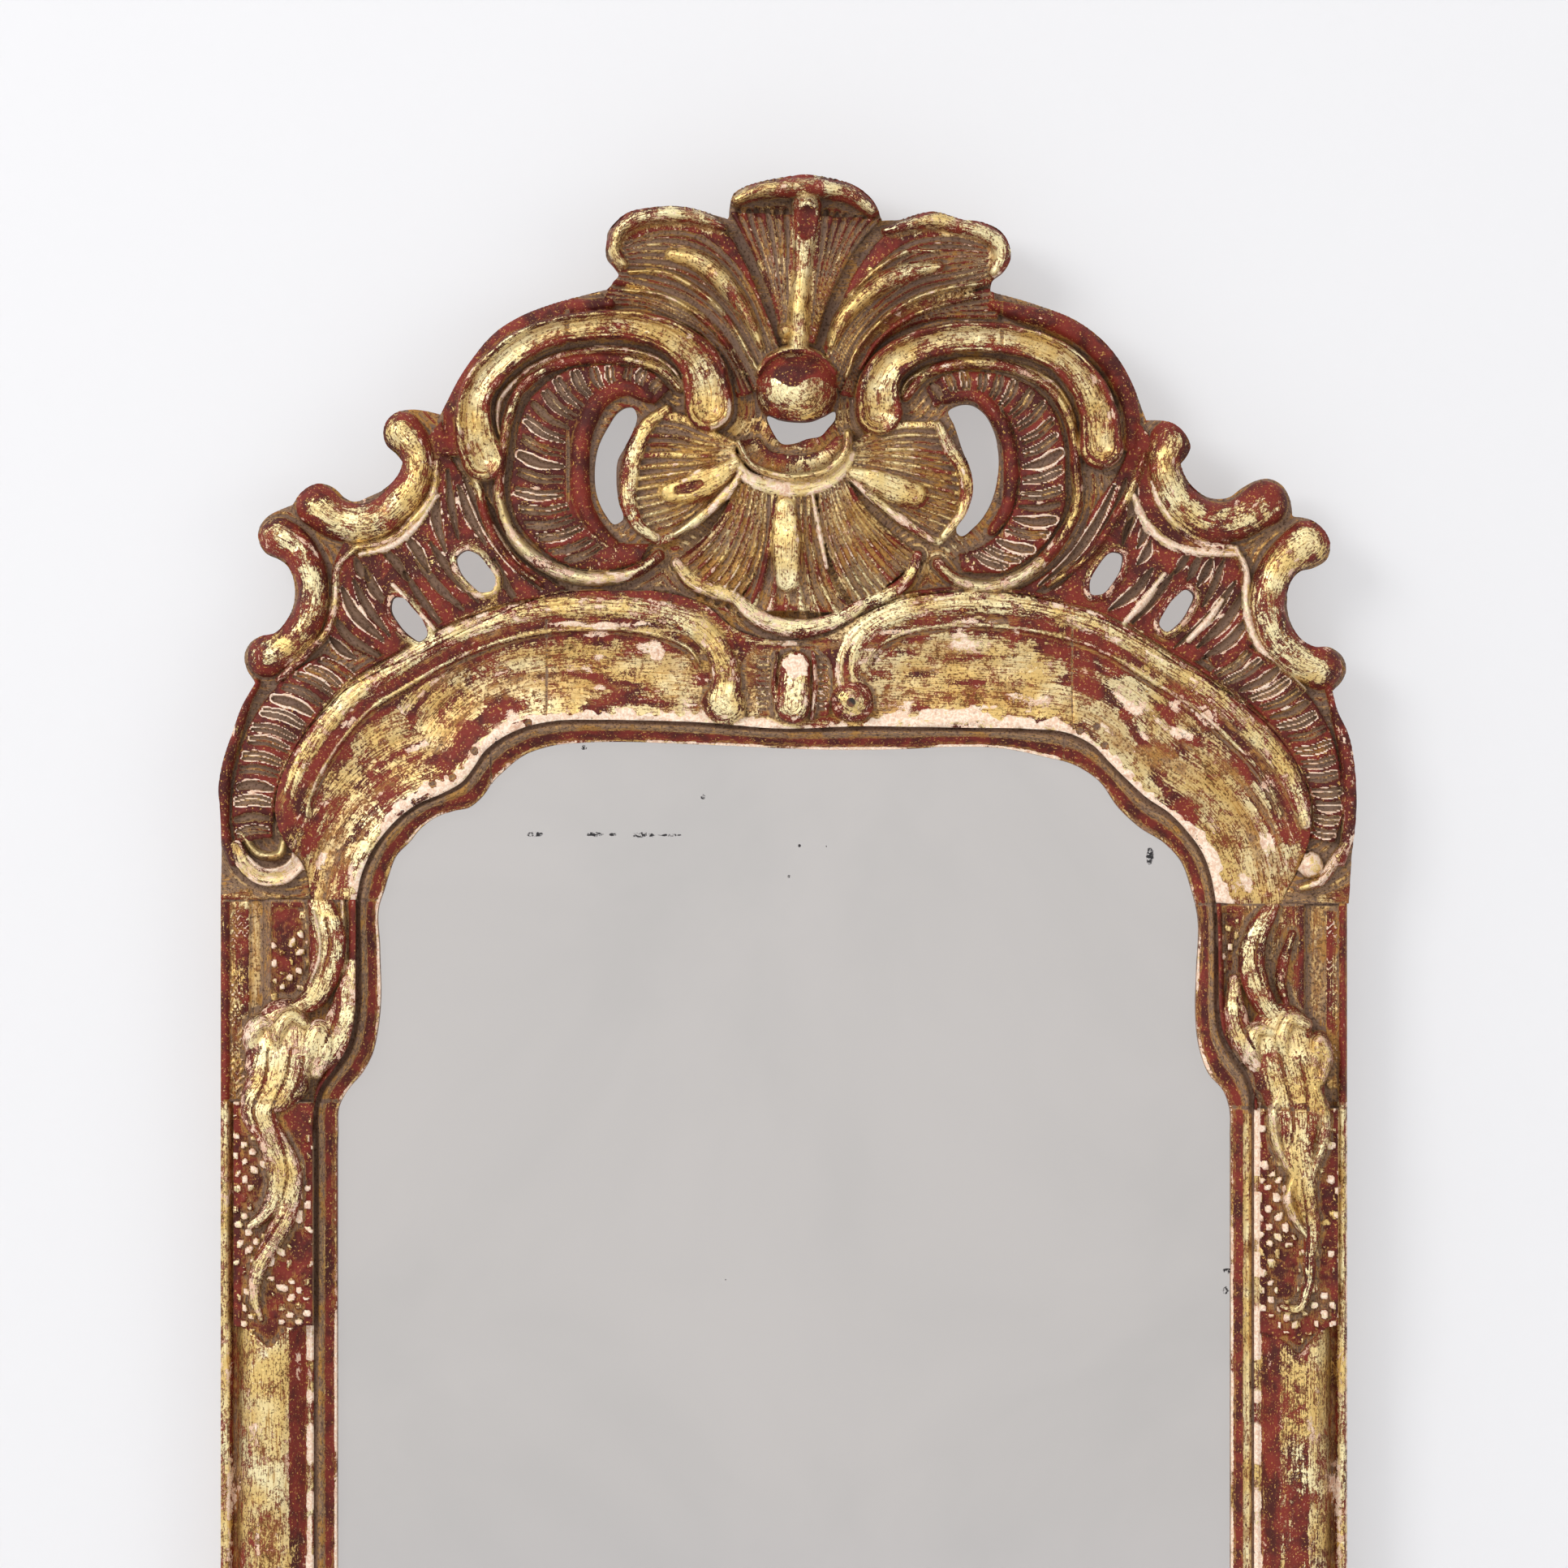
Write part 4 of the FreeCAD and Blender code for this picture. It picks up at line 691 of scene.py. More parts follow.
# Each leaf of the plume: its sides, levels, red and dark, then its flutes with their sides, count, depth,
# seed, bulge and burr.
PLUME_LEAVES = [
    (([(900, 264), (920, 300), (938, 340), (955, 385), (964, 425)],
      [(1085, 272), (1060, 300), (1038, 335), (1020, 375), (1004, 425)]), (12.5, 12.5, 2.0), .62, .12,
     [([(903, 262), (921, 300), (939, 340), (956, 385), (966, 420)],
       [(975, 262), (975, 300), (972, 350), (974, 415)], 6, 1.5, 21, 0, .22),
      ([(1012, 262), (1010, 300), (1004, 350), (998, 415)],
       [(1084, 276), (1060, 302), (1038, 337), (1021, 375), (1006, 418)], 6, 1.5, 22, 0, .22)]),
    (([(757, 300), (800, 275), (850, 274), (895, 290), (922, 335), (945, 390), (960, 430)],
      [(752, 352), (790, 362), (840, 380), (880, 410), (908, 445), (930, 485)]), (12.5, 11.0, 2.2), .58, .12,
     [([(772, 300), (815, 286), (862, 290), (898, 316), (925, 352), (946, 400), (958, 428)],
       [(758, 348), (800, 358), (850, 378), (890, 412), (915, 450), (930, 482)], 8, 1.6, 23, 0, .3)]),
    (([(1243, 306), (1200, 286), (1150, 275), (1100, 284), (1062, 325), (1032, 385), (1014, 430)],
      [(1220, 352), (1180, 366), (1130, 382), (1085, 408), (1052, 445), (1034, 485)]), (12.5, 11.0, 2.2), .58,
      .12,
     [([(1214, 304), (1170, 294), (1125, 298), (1088, 322), (1055, 360), (1030, 400), (1018, 428)],
       [(1216, 345), (1180, 360), (1130, 375), (1086, 402), (1052, 440), (1036, 480)], 8, 1.6, 24, 0, .3)]),
    (([(750, 356), (790, 362), (840, 380), (880, 410), (908, 445), (928, 486)],
      [(742, 380), (790, 380), (838, 398), (872, 420), (898, 455), (908, 492)]), (11, 10, 1.0), .65, .15,
     [([(752, 360), (790, 366), (840, 384), (880, 414), (908, 448), (926, 482)],
       [(744, 376), (790, 378), (838, 396), (872, 418), (896, 452), (908, 486)], 3, 1.2, 25, 0, .22)]),
    (([(1222, 356), (1180, 366), (1130, 382), (1085, 408), (1052, 445), (1034, 488)],
      [(1230, 396), (1180, 394), (1122, 404), (1080, 430), (1058, 462), (1050, 492)]), (11, 10, 1.0), .65,
      .15,
     [([(1218, 360), (1180, 370), (1130, 386), (1085, 412), (1054, 448), (1038, 482)],
       [(1226, 392), (1180, 391), (1122, 401), (1080, 427), (1058, 458), (1050, 488)], 4, 1.2, 26, 0, .22)]),
]
PLUME_RIDGES = [
    ([(776, 338), (815, 338), (860, 360), (893, 390), (918, 430), (935, 462)], [4, 6, 6, 5, 4], 15.5, "ridge",
     .25, .15),
    ([(768, 360), (815, 366), (862, 392), (893, 424), (915, 462)], [3, 5, 6, 5, 3], 14.5, "ridge", .35, .15),
    ([(1208, 352), (1165, 358), (1120, 374), (1085, 398), (1056, 432), (1042, 466)], [4, 6, 6, 5, 4], 15,
     "ridge", .3, .15),
    ([(1205, 368), (1160, 378), (1115, 396), (1080, 424), (1060, 456)], [3, 4, 5, 5, 3], 14, "ridge", .5,
     .15),
]
PLUME_FOLD_MM = [16, 18, 18.5, 18.5, 18, 16]
PLUME_FOLDS = [
    ([(828, 316), (860, 324), (886, 344), (908, 370), (926, 402), (938, 430)], [10, 15, 15, 13, 9, 6],
     PLUME_FOLD_MM, "roll", .2, .05),
    ([(1156, 331), (1122, 337), (1090, 350), (1060, 371), (1038, 396), (1024, 428)], [8, 13, 14, 13, 12, 8],
     PLUME_FOLD_MM, "roll", .3, .05),
    ([(1150, 312), (1120, 312), (1092, 326), (1062, 350), (1040, 376)], [4, 5, 5, 4, 3], 15, "ridge", .2, 0),
]
PLUME_LIP_MM = [18, 19, 19.5, 19.5, 19, 18, 17]
PLUME_LIPS = [
    ([(892, 284), (872, 275), (842, 268), (806, 268), (780, 275), (762, 292), (758, 310), (768, 328)],
     [5, 9, 11, 12, 12, 11, 9, 8], PLUME_LIP_MM, "roll", .3, .1),
    ([(1090, 288), (1118, 281), (1150, 275), (1182, 283), (1210, 290), (1228, 302), (1233, 318), (1224, 338)],
     [5, 8, 11, 11, 11, 12, 13, 9], PLUME_LIP_MM, "roll", .3, .1),
    ([(908, 250), (925, 242), (955, 236), (988, 233), (1020, 236), (1050, 244), (1074, 262)],
     [8, 11, 13, 14, 13, 12, 9], [19, 20.5, 21, 21, 21, 20.5, 19], "roll", .3, .1),
]
PLUME_STEM = [
    ([(994, 256), (991, 300), (987, 350), (984, 400), (983, 432)], [19, 16, 13, 15, 13],
     [19.5, 18.5, 18, 19, 18], "roll", .25, .08),
]
STEM_CUT = [(995, 268), (993, 290)]
STEM_PEARLS = [((968, 410), 10), ((988, 416), 8)]


def carve_plume(s):
    """The plume: five fluted leaves, the ridges and folds on them, their curled lips, and the stem in the
    middle."""
    for leaf in PLUME_LEAVES:
        fluted(s, *leaf)
    lay_rows(s, PLUME_RIDGES, 9.0, .35)
    lay_rows(s, PLUME_FOLDS, 10.0, .35)
    lay_rows(s, PLUME_LIPS, 10.5, .5)
    lay_rows(s, PLUME_STEM, 11.0, .35)
    gouge(s, STEM_CUT, [12, 11], 2.2, red=1.0, dark=.1, rim_white=0, lip=.5)
    for centre, radius in STEM_PEARLS:
        ball(s, centre, radius, 18.5, 12, red=.15, white=.05)


KNOB_COLLAR = [(934, 462), (946, 446), (980, 434), (1012, 444), (1028, 462)]
KNOB, KNOB_RADIUS = (982, 480), 52
KNOB_FACE, KNOB_FACE_RADIUS = (982, 478), 50


def carve_knob(s):
    """The boss under the plume: bole shows on its upper half, above a line waved by a sine."""
    raised(s, KNOB_COLLAR, [5, 7, 9, 7, 5], 17.5, 9, red=.35, dark=.3)
    ball(s, KNOB, KNOB_RADIUS, 23.6, 9, red=.28, squash=.9, power=2.3)
    x, y = KNOB_FACE
    face = np.hypot(s.X - x, (s.Y - y) / .9) < KNOB_FACE_RADIUS
    s.red[face & (s.Y < y - 4 + 6 * np.sin(s.X / 9))] = .95
    s.white[face & (s.Y > y + 20)] = .1


SHELL_LEAVES = [
    (([(908, 546), (876, 530), (846, 514), (818, 506)],
      [(908, 592), (884, 622), (850, 655), (808, 672), (782, 652), (772, 620), (773, 588), (784, 550),
       (804, 518)]),
     (13, 12.0, 1.0), .42, .1,
     [([(908, 548), (872, 536), (842, 522), (812, 518)], [(908, 588), (878, 620), (846, 648), (806, 664)], 13,
       1.7, 31, 28, .22)]),
    (([(1040, 552), (1074, 534), (1110, 522), (1150, 520)],
      [(1044, 592), (1080, 626), (1118, 655), (1158, 672), (1180, 640), (1190, 602), (1182, 566),
       (1164, 535)]),
     (13, 12.0, 1.0), .42, .1,
     [([(1042, 552), (1078, 538), (1110, 530), (1152, 530)],
       [(1046, 590), (1085, 622), (1120, 648), (1158, 666)], 13, 1.7, 32, 24, .22)]),
]
SHELL_LOBES = [
    ([(908, 594), (892, 632), (862, 668), (828, 694)], [(946, 606), (942, 660), (926, 716), (904, 748)], 7,
     33),
    ([(1006, 606), (1014, 660), (1034, 716), (1056, 752)],
     [(1042, 588), (1062, 622), (1098, 658), (1136, 688)], 9, 34),
    ([(944, 606), (940, 670), (924, 722), (906, 752)], [(1004, 606), (1010, 670), (1028, 722), (1054, 756)],
     7, 35),
]
SHELL_RIMS = [
    ([(822, 506), (800, 524), (784, 555), (776, 590), (776, 622), (787, 648), (808, 664)],
     [6, 10, 12, 12, 11, 9, 6], 14.6, "flat", .3, .15),
    ([(832, 660), (857, 644), (882, 622), (902, 602), (914, 584)], [3, 6, 7, 7, 5], 15.4, "flat", .2, .35),
    (SHELL_FOOT[:4], [7, 10, 11, 11, 8], 14.4, "flat", .35, .3),
    (SHELL_FOOT[3:8], [8, 11, 11, 12, 11, 10, 8], 14.6, "flat", .45, .33),
    (SHELL_FOOT[7:], [8, 9, 9, 8, 6], 14.4, "flat", .7, .2),
    ([(1156, 526), (1168, 552), (1184, 578), (1190, 604), (1184, 634), (1162, 662)], [6, 9, 9, 9, 8, 6], 15.0,
     "flat", .3, .22),
    ([(1046, 588), (1082, 620), (1118, 647), (1150, 668)], [5, 6, 6, 4], 14.4, "flat", .45, .35),
]
SHELL_RIBS = [
    ([(956, 606), (950, 660), (938, 715), (926, 745)], [3, 5, 5, 3], 14.6, "ridge", .9, .1),
    ([(1000, 606), (1006, 640), (1018, 700)], [3, 5, 3], 14.6, "ridge", .5, .5),
]
SHELL_COLLAR = [
    ([(905, 566), (922, 590), (950, 601), (985, 604), (1020, 595), (1040, 578), (1050, 562)],
     [5, 9, 11, 11, 10, 9, 5], 15.0, "flat", .25, .58),
]
BOWL_FLOOR = [(934, 540), (948, 556), (978, 562), (1012, 556), (1030, 540)]
BOWL_WALL = [(908, 546), (924, 574), (958, 588), (990, 590), (1022, 580), (1042, 556), (1044, 536)]
BOWL_LIP = [(910, 548), (926, 574), (958, 587), (990, 589), (1022, 579), (1042, 555), (1044, 536)]
BOWL, BOWL_RADIUS = (978, 535), 72
SHELL_DROPS = [
    ([(826, 608), (848, 604), (872, 594), (894, 582), (906, 572)], [12, 17, 19, 14, 7],
     [15.6, 16.4, 17, 17, 16]),
    ([(1050, 584), (1078, 594), (1106, 606), (1126, 610)], [7, 14, 18, 15], [16, 17, 16.6, 16]),
    ([(968, 626), (968, 652), (969, 690), (970, 716)], [13, 18, 18, 15], [16.2, 17.2, 17.2, 16.6]),
]
DROP_CUT = [(836, 606), (852, 602), (862, 598)]
SHELL, SHELL_HALF = (985, 640), (215, 145)


def carve_shell(s):
    """The shell: two fluted wings and three lobes with their rims, the bowl over them with painted shade in the left
    half of its hollow, and three drops.
    """
    for leaf in SHELL_LEAVES:
        fluted(s, *leaf)
    for a, b, count, seed in SHELL_LOBES:
        fluted(s, (a, b), (13, 13, 1.0), .5, .1, [(a, b, count, 1.7, seed, 12, .22)])
    lay_rows(s, SHELL_RIMS, 9.0, .45)
    lay_rows(s, SHELL_RIBS, 11, .35)
    lay_rows(s, SHELL_COLLAR, 10, .45)
    band(s, BOWL_FLOOR, BOWL_WALL, 12.4, 18.5, -1.6, red=.5, dark=.1)
    # Painted shade: the left half of the bowl's hollow is darkened and reddened where shade falls.
    shade = (np.hypot(s.X - BOWL[0], s.Y - BOWL[1]) < BOWL_RADIUS) & (s.Y > 538) & (s.Y < 588) & (s.X < 968)
    s.paint(shade, dark=.7, red=.7)
    raised(s, BOWL_LIP, [4, 5, 6, 6, 7, 8, 6], 18.8, 12, red=.2, white=.15)
    for drop, widths, heights in SHELL_DROPS:
        raised(s, drop, [width + 5 for width in widths], 13.4, 11, "flat", red=.8, dark=.35)
        raised(s, drop, widths, heights, 12, "flat", red=.1, white=.12, rim=.5)
    gouge(s, DROP_CUT, [6, 9, 6], 1.2, red=1.0, dark=.5, rim_white=.1)
    away = np.hypot((s.X - SHELL[0]) / SHELL_HALF[0], (s.Y - SHELL[1]) / SHELL_HALF[1])
    shell = soft_step(-away, -1.0, -.85) * (s.Y > 500)
    s.dark *= 1 - .35 * shell
    s.red -= .12 * shell


def carve_scrolls(s):
    """The two large C-scrolls with the backs behind them, and the four small ones of the wings."""
    for line, widths, heights, red, dark in SCROLL_BACKS:
        raised(s, line, widths, heights, 7.5, red=red, rim=-.2, dark=dark)
    for stations, lines in ((LEFT_SCROLL, 7), (RIGHT_SCROLL, 9)):
        line, widths = wide_line(stations)
        raised(s, line, widths, [18, 20, 20, 20, 20, 20, 19], 8.0, "scroll", red=.24, white=.1, lines=lines)
        raised(s, parallel(line, -30)[6:-10], [2, 5, 5, 5, 4, 2], 12.2, 9, "ridge", red=.4, white=.35,
               dark=.3)
    for stations in WING_SCROLLS:
        line, widths = wide_line(stations)
        raised(s, line, widths, [15.5, 16.5, 17, 17, 16.5, 15.5], 8.0, red=.46, white=.1, rim=.55)
        for x, y, width in (stations[0], stations[-1]):
            s.red += .06 * np.clip(1.3 - np.hypot(s.X - x, s.Y - y) / width, 0, 1)


WING_BANDS = [
    ([(545, 520), (560, 570), (600, 620), (620, 668), (660, 705), (700, 726)],
     [(430, 660), (440, 720), (450, 780), (480, 810), (540, 780), (600, 752)]),
    ([(430, 660), (412, 700), (408, 740), (400, 780)], [(445, 700), (452, 750), (465, 800), (478, 820)]),
    ([(1400, 520), (1378, 580), (1345, 630), (1325, 672), (1290, 706), (1250, 730)],
     [(1510, 660), (1500, 720), (1492, 770), (1480, 812), (1420, 800), (1340, 758)]),
    ([(1510, 660), (1528, 700), (1535, 740), (1545, 790)],
     [(1495, 700), (1490, 760), (1482, 800), (1500, 830)]),
]
WING_CUTS = [
    [(424, 726), (436, 752), (474, 790)], [(438, 716), (452, 745), (482, 784)],
    [(452, 700), (462, 726), (484, 750)], [(410, 756), (430, 784), (474, 812)],
    [(408, 786), (424, 802), (440, 812)], [(500, 706), (522, 740), (550, 776)],
    [(515, 690), (540, 722), (572, 752)], [(532, 670), (554, 702), (590, 742)],
    [(573, 590), (600, 648), (634, 696), (668, 728)], [(590, 600), (612, 640), (648, 688), (690, 722)],
    [(553, 580), (557, 620), (566, 664)], [(538, 600), (540, 644), (550, 680)],
    [(470, 676), (488, 692), (504, 716)], [(500, 660), (516, 680), (530, 706)],
    [(440, 690), (446, 704), (456, 716)], [(566, 600), (582, 640), (600, 672)],
    [(610, 690), (624, 720), (640, 744)], [(1418, 702), (1396, 730), (1366, 752)],
    [(1446, 704), (1424, 734), (1392, 770)], [(1520, 718), (1490, 760), (1446, 798)],
    [(1532, 728), (1510, 764), (1474, 798)], [(1540, 756), (1514, 790), (1480, 812)],
    [(1464, 682), (1456, 694), (1446, 708)], [(1478, 684), (1470, 700), (1462, 716)],
    [(1492, 688), (1484, 706), (1474, 722)], [(1506, 690), (1494, 722), (1480, 748)],
    [(1372, 600), (1350, 645), (1318, 690), (1280, 722)], [(1386, 592), (1374, 630), (1352, 664)],
    [(1398, 600), (1392, 640), (1384, 664)], [(1410, 640), (1408, 660), (1400, 676)],
    [(1330, 690), (1304, 716), (1270, 736)], [(1394, 640), (1386, 656), (1382, 672)],
    [(1416, 668), (1410, 684), (1400, 696)],
]
WING_RIDGES = [
    ([(1433, 708), (1410, 738), (1384, 768)], [4, 7, 5]),
    ([(1504, 740), (1484, 768), (1462, 790)], [3, 5, 4]),
    ([(1395, 612), (1412, 648), (1440, 672), (1482, 682), (1526, 684)], [4, 8, 8, 7, 4]),
    ([(540, 612), (514, 650), (484, 674), (446, 684)], [3, 5, 6, 4]),
    ([(486, 722), (512, 748), (536, 776)], [4, 5, 4]),
]
WING_FILLETS = [
    ([(548, 560), (566, 560), (586, 590), (600, 640), (628, 690), (668, 722)], [4, 6, 6, 6, 5, 3], .6, .2),
    ([(540, 570), (535, 608), (508, 645), (478, 668), (440, 676)], [4, 6, 7, 6, 4], .35, .6),
    ([(440, 676), (418, 700), (415, 740), (405, 778), (380, 805), (345, 838)], [4, 5, 6, 6, 6, 4], .4, .6),
    ([(1408, 560), (1398, 590), (1372, 640), (1336, 690), (1290, 722)], [4, 6, 6, 5, 3], .6, .2),
    ([(1418, 575), (1424, 612), (1448, 648), (1485, 672), (1520, 676)], [4, 6, 7, 6, 4], .4, .9),
    ([(1520, 676), (1532, 700), (1533, 745), (1545, 790), (1572, 822), (1604, 850)], [4, 5, 6, 6, 6, 4], .3,
     .9),
]


def carve_wings(s):
    """The wings between the scrolls: a red ground with gouge cuts, ridges, rings round the four ovals, and
    the fillets that frame it."""
    for a, b in WING_BANDS:
        band(s, a, b, 10.5, 10.5, 1.0, red=.95, dark=.15)
    rng = np.random.default_rng(41)
    for line in WING_CUTS:
        gouge(s, line, np.array([2.5, 5.5, 6.5, 5, 2]) * rng.uniform(.85, 1.15), 1.9 * rng.uniform(.8, 1.2),
              red=rng.uniform(.3, .6), dark=rng.uniform(.8, 1.1), rim_white=rng.uniform(.1, .9), lip=.5)
    for line, widths in WING_RIDGES:
        raised(s, line, widths, 13.2, 10, "ridge", red=.35, white=.6, rim=.3)
    for hole in OVAL_HOLES:
        raised(s, smooth_line(hole, closed=True), 10, 13.4, 9, red=.5, white=.38, rim=.4)
    for line, widths, red, white in WING_FILLETS:
        raised(s, line, widths, 13.5, 9, red=red, white=white * .55, rim=.3)


# The combed edge over each shoulder: its sides, count, bow and seed, then its back with half widths, red and
# white.
OUTER_COMBS = [
    ([(402, 806), (358, 832), (328, 864), (306, 902), (294, 950), (288, 1000), (292, 1038)],
     [(452, 838), (410, 866), (380, 900), (359, 936), (347, 972), (340, 1005), (337, 1032)], 14, -.06, 51,
     [(318, 842), (306, 862), (297, 885), (288, 915), (280, 945), (277, 985), (280, 1030), (290, 1062)],
     [6, 9, 10, 10, 10, 9, 8, 6], .9, .1),
    ([(1535, 796), (1580, 826), (1614, 862), (1638, 905), (1650, 955), (1652, 1005), (1642, 1038)],
     [(1484, 832), (1526, 858), (1562, 892), (1590, 928), (1607, 966), (1614, 1005), (1612, 1032)], 15, .06,
     52, [(1636, 850), (1644, 876), (1652, 905), (1659, 945), (1661, 985), (1658, 1030), (1650, 1062)],
     [6, 9, 10, 10, 10, 9, 6], .85, .25),
]
LEFT_CURL = [(294, 1042), (304, 1064), (328, 1080), (354, 1076), (371, 1058), (366, 1036)]
LEFT_CURL_RIDGE = [(300, 1028), (322, 1052), (346, 1052), (352, 1034)]
RIGHT_CURL = (1613, 1066)
RIGHT_CURL_TAIL = [(1655, 1040), (1640, 1064), (1622, 1086), (1600, 1094)]


def carve_outer_combs(s):
    """The combed edges over the shoulders, and the curls they end in."""
    for outer, inner, count, bow, seed, back, widths, red, white in OUTER_COMBS:
        band(s, outer, inner, 11, 10.5, 1.8, red=.85, dark=.15)
        comb(s, outer, inner, count, 2.0, .7, bow, seed=seed, rim_white=.9)
        raised(s, back, widths, 13, 8, red=red, rim=-.1, white=white)
    raised(s, LEFT_CURL, [8, 11, 12, 12, 10, 8], [14, 15, 15.5, 15.5, 15, 14], 8, "scroll", red=.35, white=.5,
           rim=.5, lines=4)
    raised(s, LEFT_CURL_RIDGE, [5, 6, 6, 5], 13, 9, "ridge", red=.2)
    ball(s, RIGHT_CURL, 16, 15, 9, red=.25, white=.45)
    raised(s, RIGHT_CURL_TAIL, [6, 8, 8, 5], 13.5, 8, red=.5, white=.3)


# ---- the arch's hollow moulding
COVE_AT, COVE_MM = [0, .05, .1, .3, .5, .7, .85, 1], [10.2, 11, 10.6, 8.6, 8.3, 9.8, 12, 13.2]
COVE_REACH, COVE_FAR = 210, 1e3
NAIL_HOLES = [(535, 966), (559, 958), (652, 891), (586, 925), (1329, 900), (1350, 896), (1360, 919)]
PANEL_SIDES = [(922, 882), (912, 845), (915, 815), (935, 795)], [(1020, 882), (1026, 845), (1022, 815),
                                                                 (1005, 797)]
PANEL_COMBS = [(932, 948), (1003, 1020)]
PANEL_TOP, PANEL_FOOT = 806, 876
CURLS = [
    ((893, 868), 27, 15.2, 9, .35, .2, 2.6),
    ((1050, 864), 27, 15.2, 9, .4, .35, 2.6),
    ((1046, 869), 6, 12, 15.4, .9, 0, 2.0),
]
TONGUE = [(979, 822), (978, 845), (976, 870)]
TONGUE_RIDGES = [[(958, 806), (954, 845), (958, 885)], [(1002, 806), (1004, 845), (1000, 885)]]
BARE_SPOT, BARE_SPOT_RADIUS = (980, 822), 15


def lay_arch(s):
    """The arch: t runs from the lip, 0, to the bead, 1. The cove's height is read from a table of t, and its
    wear from tables of t and of the distance from the lip, made ragged by noise along the run."""
    lip, outer = smooth_line(LIP_EDGE), smooth_line(ARCH_OUTER)
    region = s.inside(np.vstack([outer, lip[::-1]]))
    away_lip, along = np.full(s.X.shape, COVE_FAR), np.zeros(s.X.shape)
    win, d, run, _ = s.near(lip, COVE_REACH)
    away_lip[win], along[win] = np.abs(d), run
    away_bead = np.full(s.X.shape, COVE_FAR)
    for stations in (BEAD_LEFT, BEAD_RIGHT):
        win, d, _, _ = s.near(wide_line(stations)[0], COVE_REACH)
        away_bead[win] = np.minimum(away_bead[win], np.abs(d))
    t = away_lip / (away_lip + away_bead + 1e-6)
    ragged = away_lip + 13 * (run_noise(along / 22, 63) - .5) + 9 * (hash_noise(along / 7, away_lip / 7,
                                                                                68) - .5) \
        + 17 * (run_noise(along / 80, 69) - .45)
    bared = 1.1 * np.clip(hash_noise(along / 34, away_lip / 13, 64) - .68, 0, 1) * 2
    s.paint(region, h=np.interp(t, COVE_AT, COVE_MM) + .25 * (hash_noise(along / 30, t * 5, 61) - .5),
            u=along * MM, v=away_lip * MM,
            red=np.interp(t, [0, .08, .15, .6, .8, 1], [.3, .14, .24, .3, .55, .75]) + .14 * (s.X < 640),
            white=np.interp(ragged, [0, 3, 9, 13, 18], [.6, 1.0, .95, .35, .05]) + bared,
            dark=np.interp(t, [0, .3, .8, 1], [.1, .28, .22, .4])
            + .8 * np.clip(hash_noise(along / 45, away_lip / 10, 65) - .52, 0, 1))
    for x, y in NAIL_HOLES:
        nail = np.hypot(s.X - x, s.Y - y)
        s.h -= .6 * (nail < 3.5)
        s.paint(nail < 5, dark=.8, red=.9, white=0)
    s.red[region] += (.9 * np.clip(hash_noise(along / 50, away_lip / 11, 66) - .60, 0, 1) * 1.6)[region]


def carve_beads(s):
    """The bead of each half with its own fine cuts, the ridge and the red quirk beside it, and the ridge
    outside."""
    for stations, short, outside in ((BEAD_LEFT, (6, .93), (4, -30)), (BEAD_RIGHT, (.06, -6), (30, -4))):
        line, widths = wide_line(stations)
        start, stop = (int(len(line) * end) if 0 < end < 1 else end for end in short)
        inner = line[start:stop]
        raised(s, parallel(inner, -27), [2, 4, 4.5, 4.5, 4.5, 4, 3], 12.6, 9.5, "ridge", red=.25, white=.25)
        groove(s, parallel(inner, -33), [1.5, 3.5, 3.5, 3.5, 2], .8, red=1.0, dark=.1)
        raised(s, line, widths, [12.5, 14, 14, 14, 14, 14.3, 15], 9.0, "flat", red=.12, white=.34, rim=.4,
               lines=3)
        for offset in (-5, 4):
            groove(s, parallel(line, offset)[8:-12], [.6, 1.2, 1.2, 1.2, .6], .35, red=.45, dark=.5)
        raised(s, parallel(line, 17)[slice(*outside)], [2, 4, 4, 4, 4, 4, 2], 12, 9, "ridge", red=.7,
               white=.1, dark=.3)


def carve_arch(s):
    """The combed panel under the crown, the beads with the curls they end in, and the tongue between them."""
    band(s, *PANEL_SIDES, 10.5, 10.5, 0, red=.5, dark=.55)
    middle = (PANEL_TOP + PANEL_FOOT) / 2
    for x0, x1 in PANEL_COMBS:
        comb(s, [(x0, PANEL_TOP), (x0 - 2, middle), (x0, PANEL_FOOT)],
             [(x1, PANEL_TOP), (x1 + 2, middle), (x1, PANEL_FOOT)], 11, .6, .6, .1, seed=62)
    carve_beads(s)
    for centre, radius, height, base, red, white, power in CURLS:
        ball(s, centre, radius, height, base, red=red, white=white, power=power)
    raised(s, TONGUE, [20, 21, 22], [15.5, 16.5, 16.5], 10, "flat", red=.32, white=.2, rim=.5)
    for line in TONGUE_RIDGES:
        raised(s, line, [3, 4, 3], 13.6, 10, "ridge", red=.6, white=.3)
    away = np.hypot((s.X - BARE_SPOT[0]) / BARE_SPOT_RADIUS, (s.Y - BARE_SPOT[1]) / BARE_SPOT_RADIUS)
    s.white[away + .5 * (hash_noise(s.X / 7, s.Y / 7, 67) - .5) < 1] = .85


def weather(s):
    """Uneven wear and the waves of hand work: value noise at several sizes, and along the run of each cut."""
    slow = hash_noise(s.X / 75, s.Y / 75, 201) * .6 + hash_noise(s.X / 30, s.Y / 30, 202) * .4 - .5
    s.red += .50 * slow + .34 * (hash_noise(s.u / 7, s.v / 1.7, 203) - .5)
    s.white += 1.5 * np.clip(hash_noise(s.u / 6, s.v / 1.5, 204) - .70, 0, 1) + .3 * np.clip(-slow, 0, 1)
    s.h += .22 * (hash_noise(s.X / 4.5, s.Y / 4.5, 205) - .5) + .25 * (hash_noise(s.X / 13, s.Y / 13,
                                                                                  206) - .5)
    s.h += .16 * (hash_noise(s.u / 4, s.v / .9, 207) - .5)


UPPER_LOW, UPPER_HIGH = (258, 210), (1684, 1118)


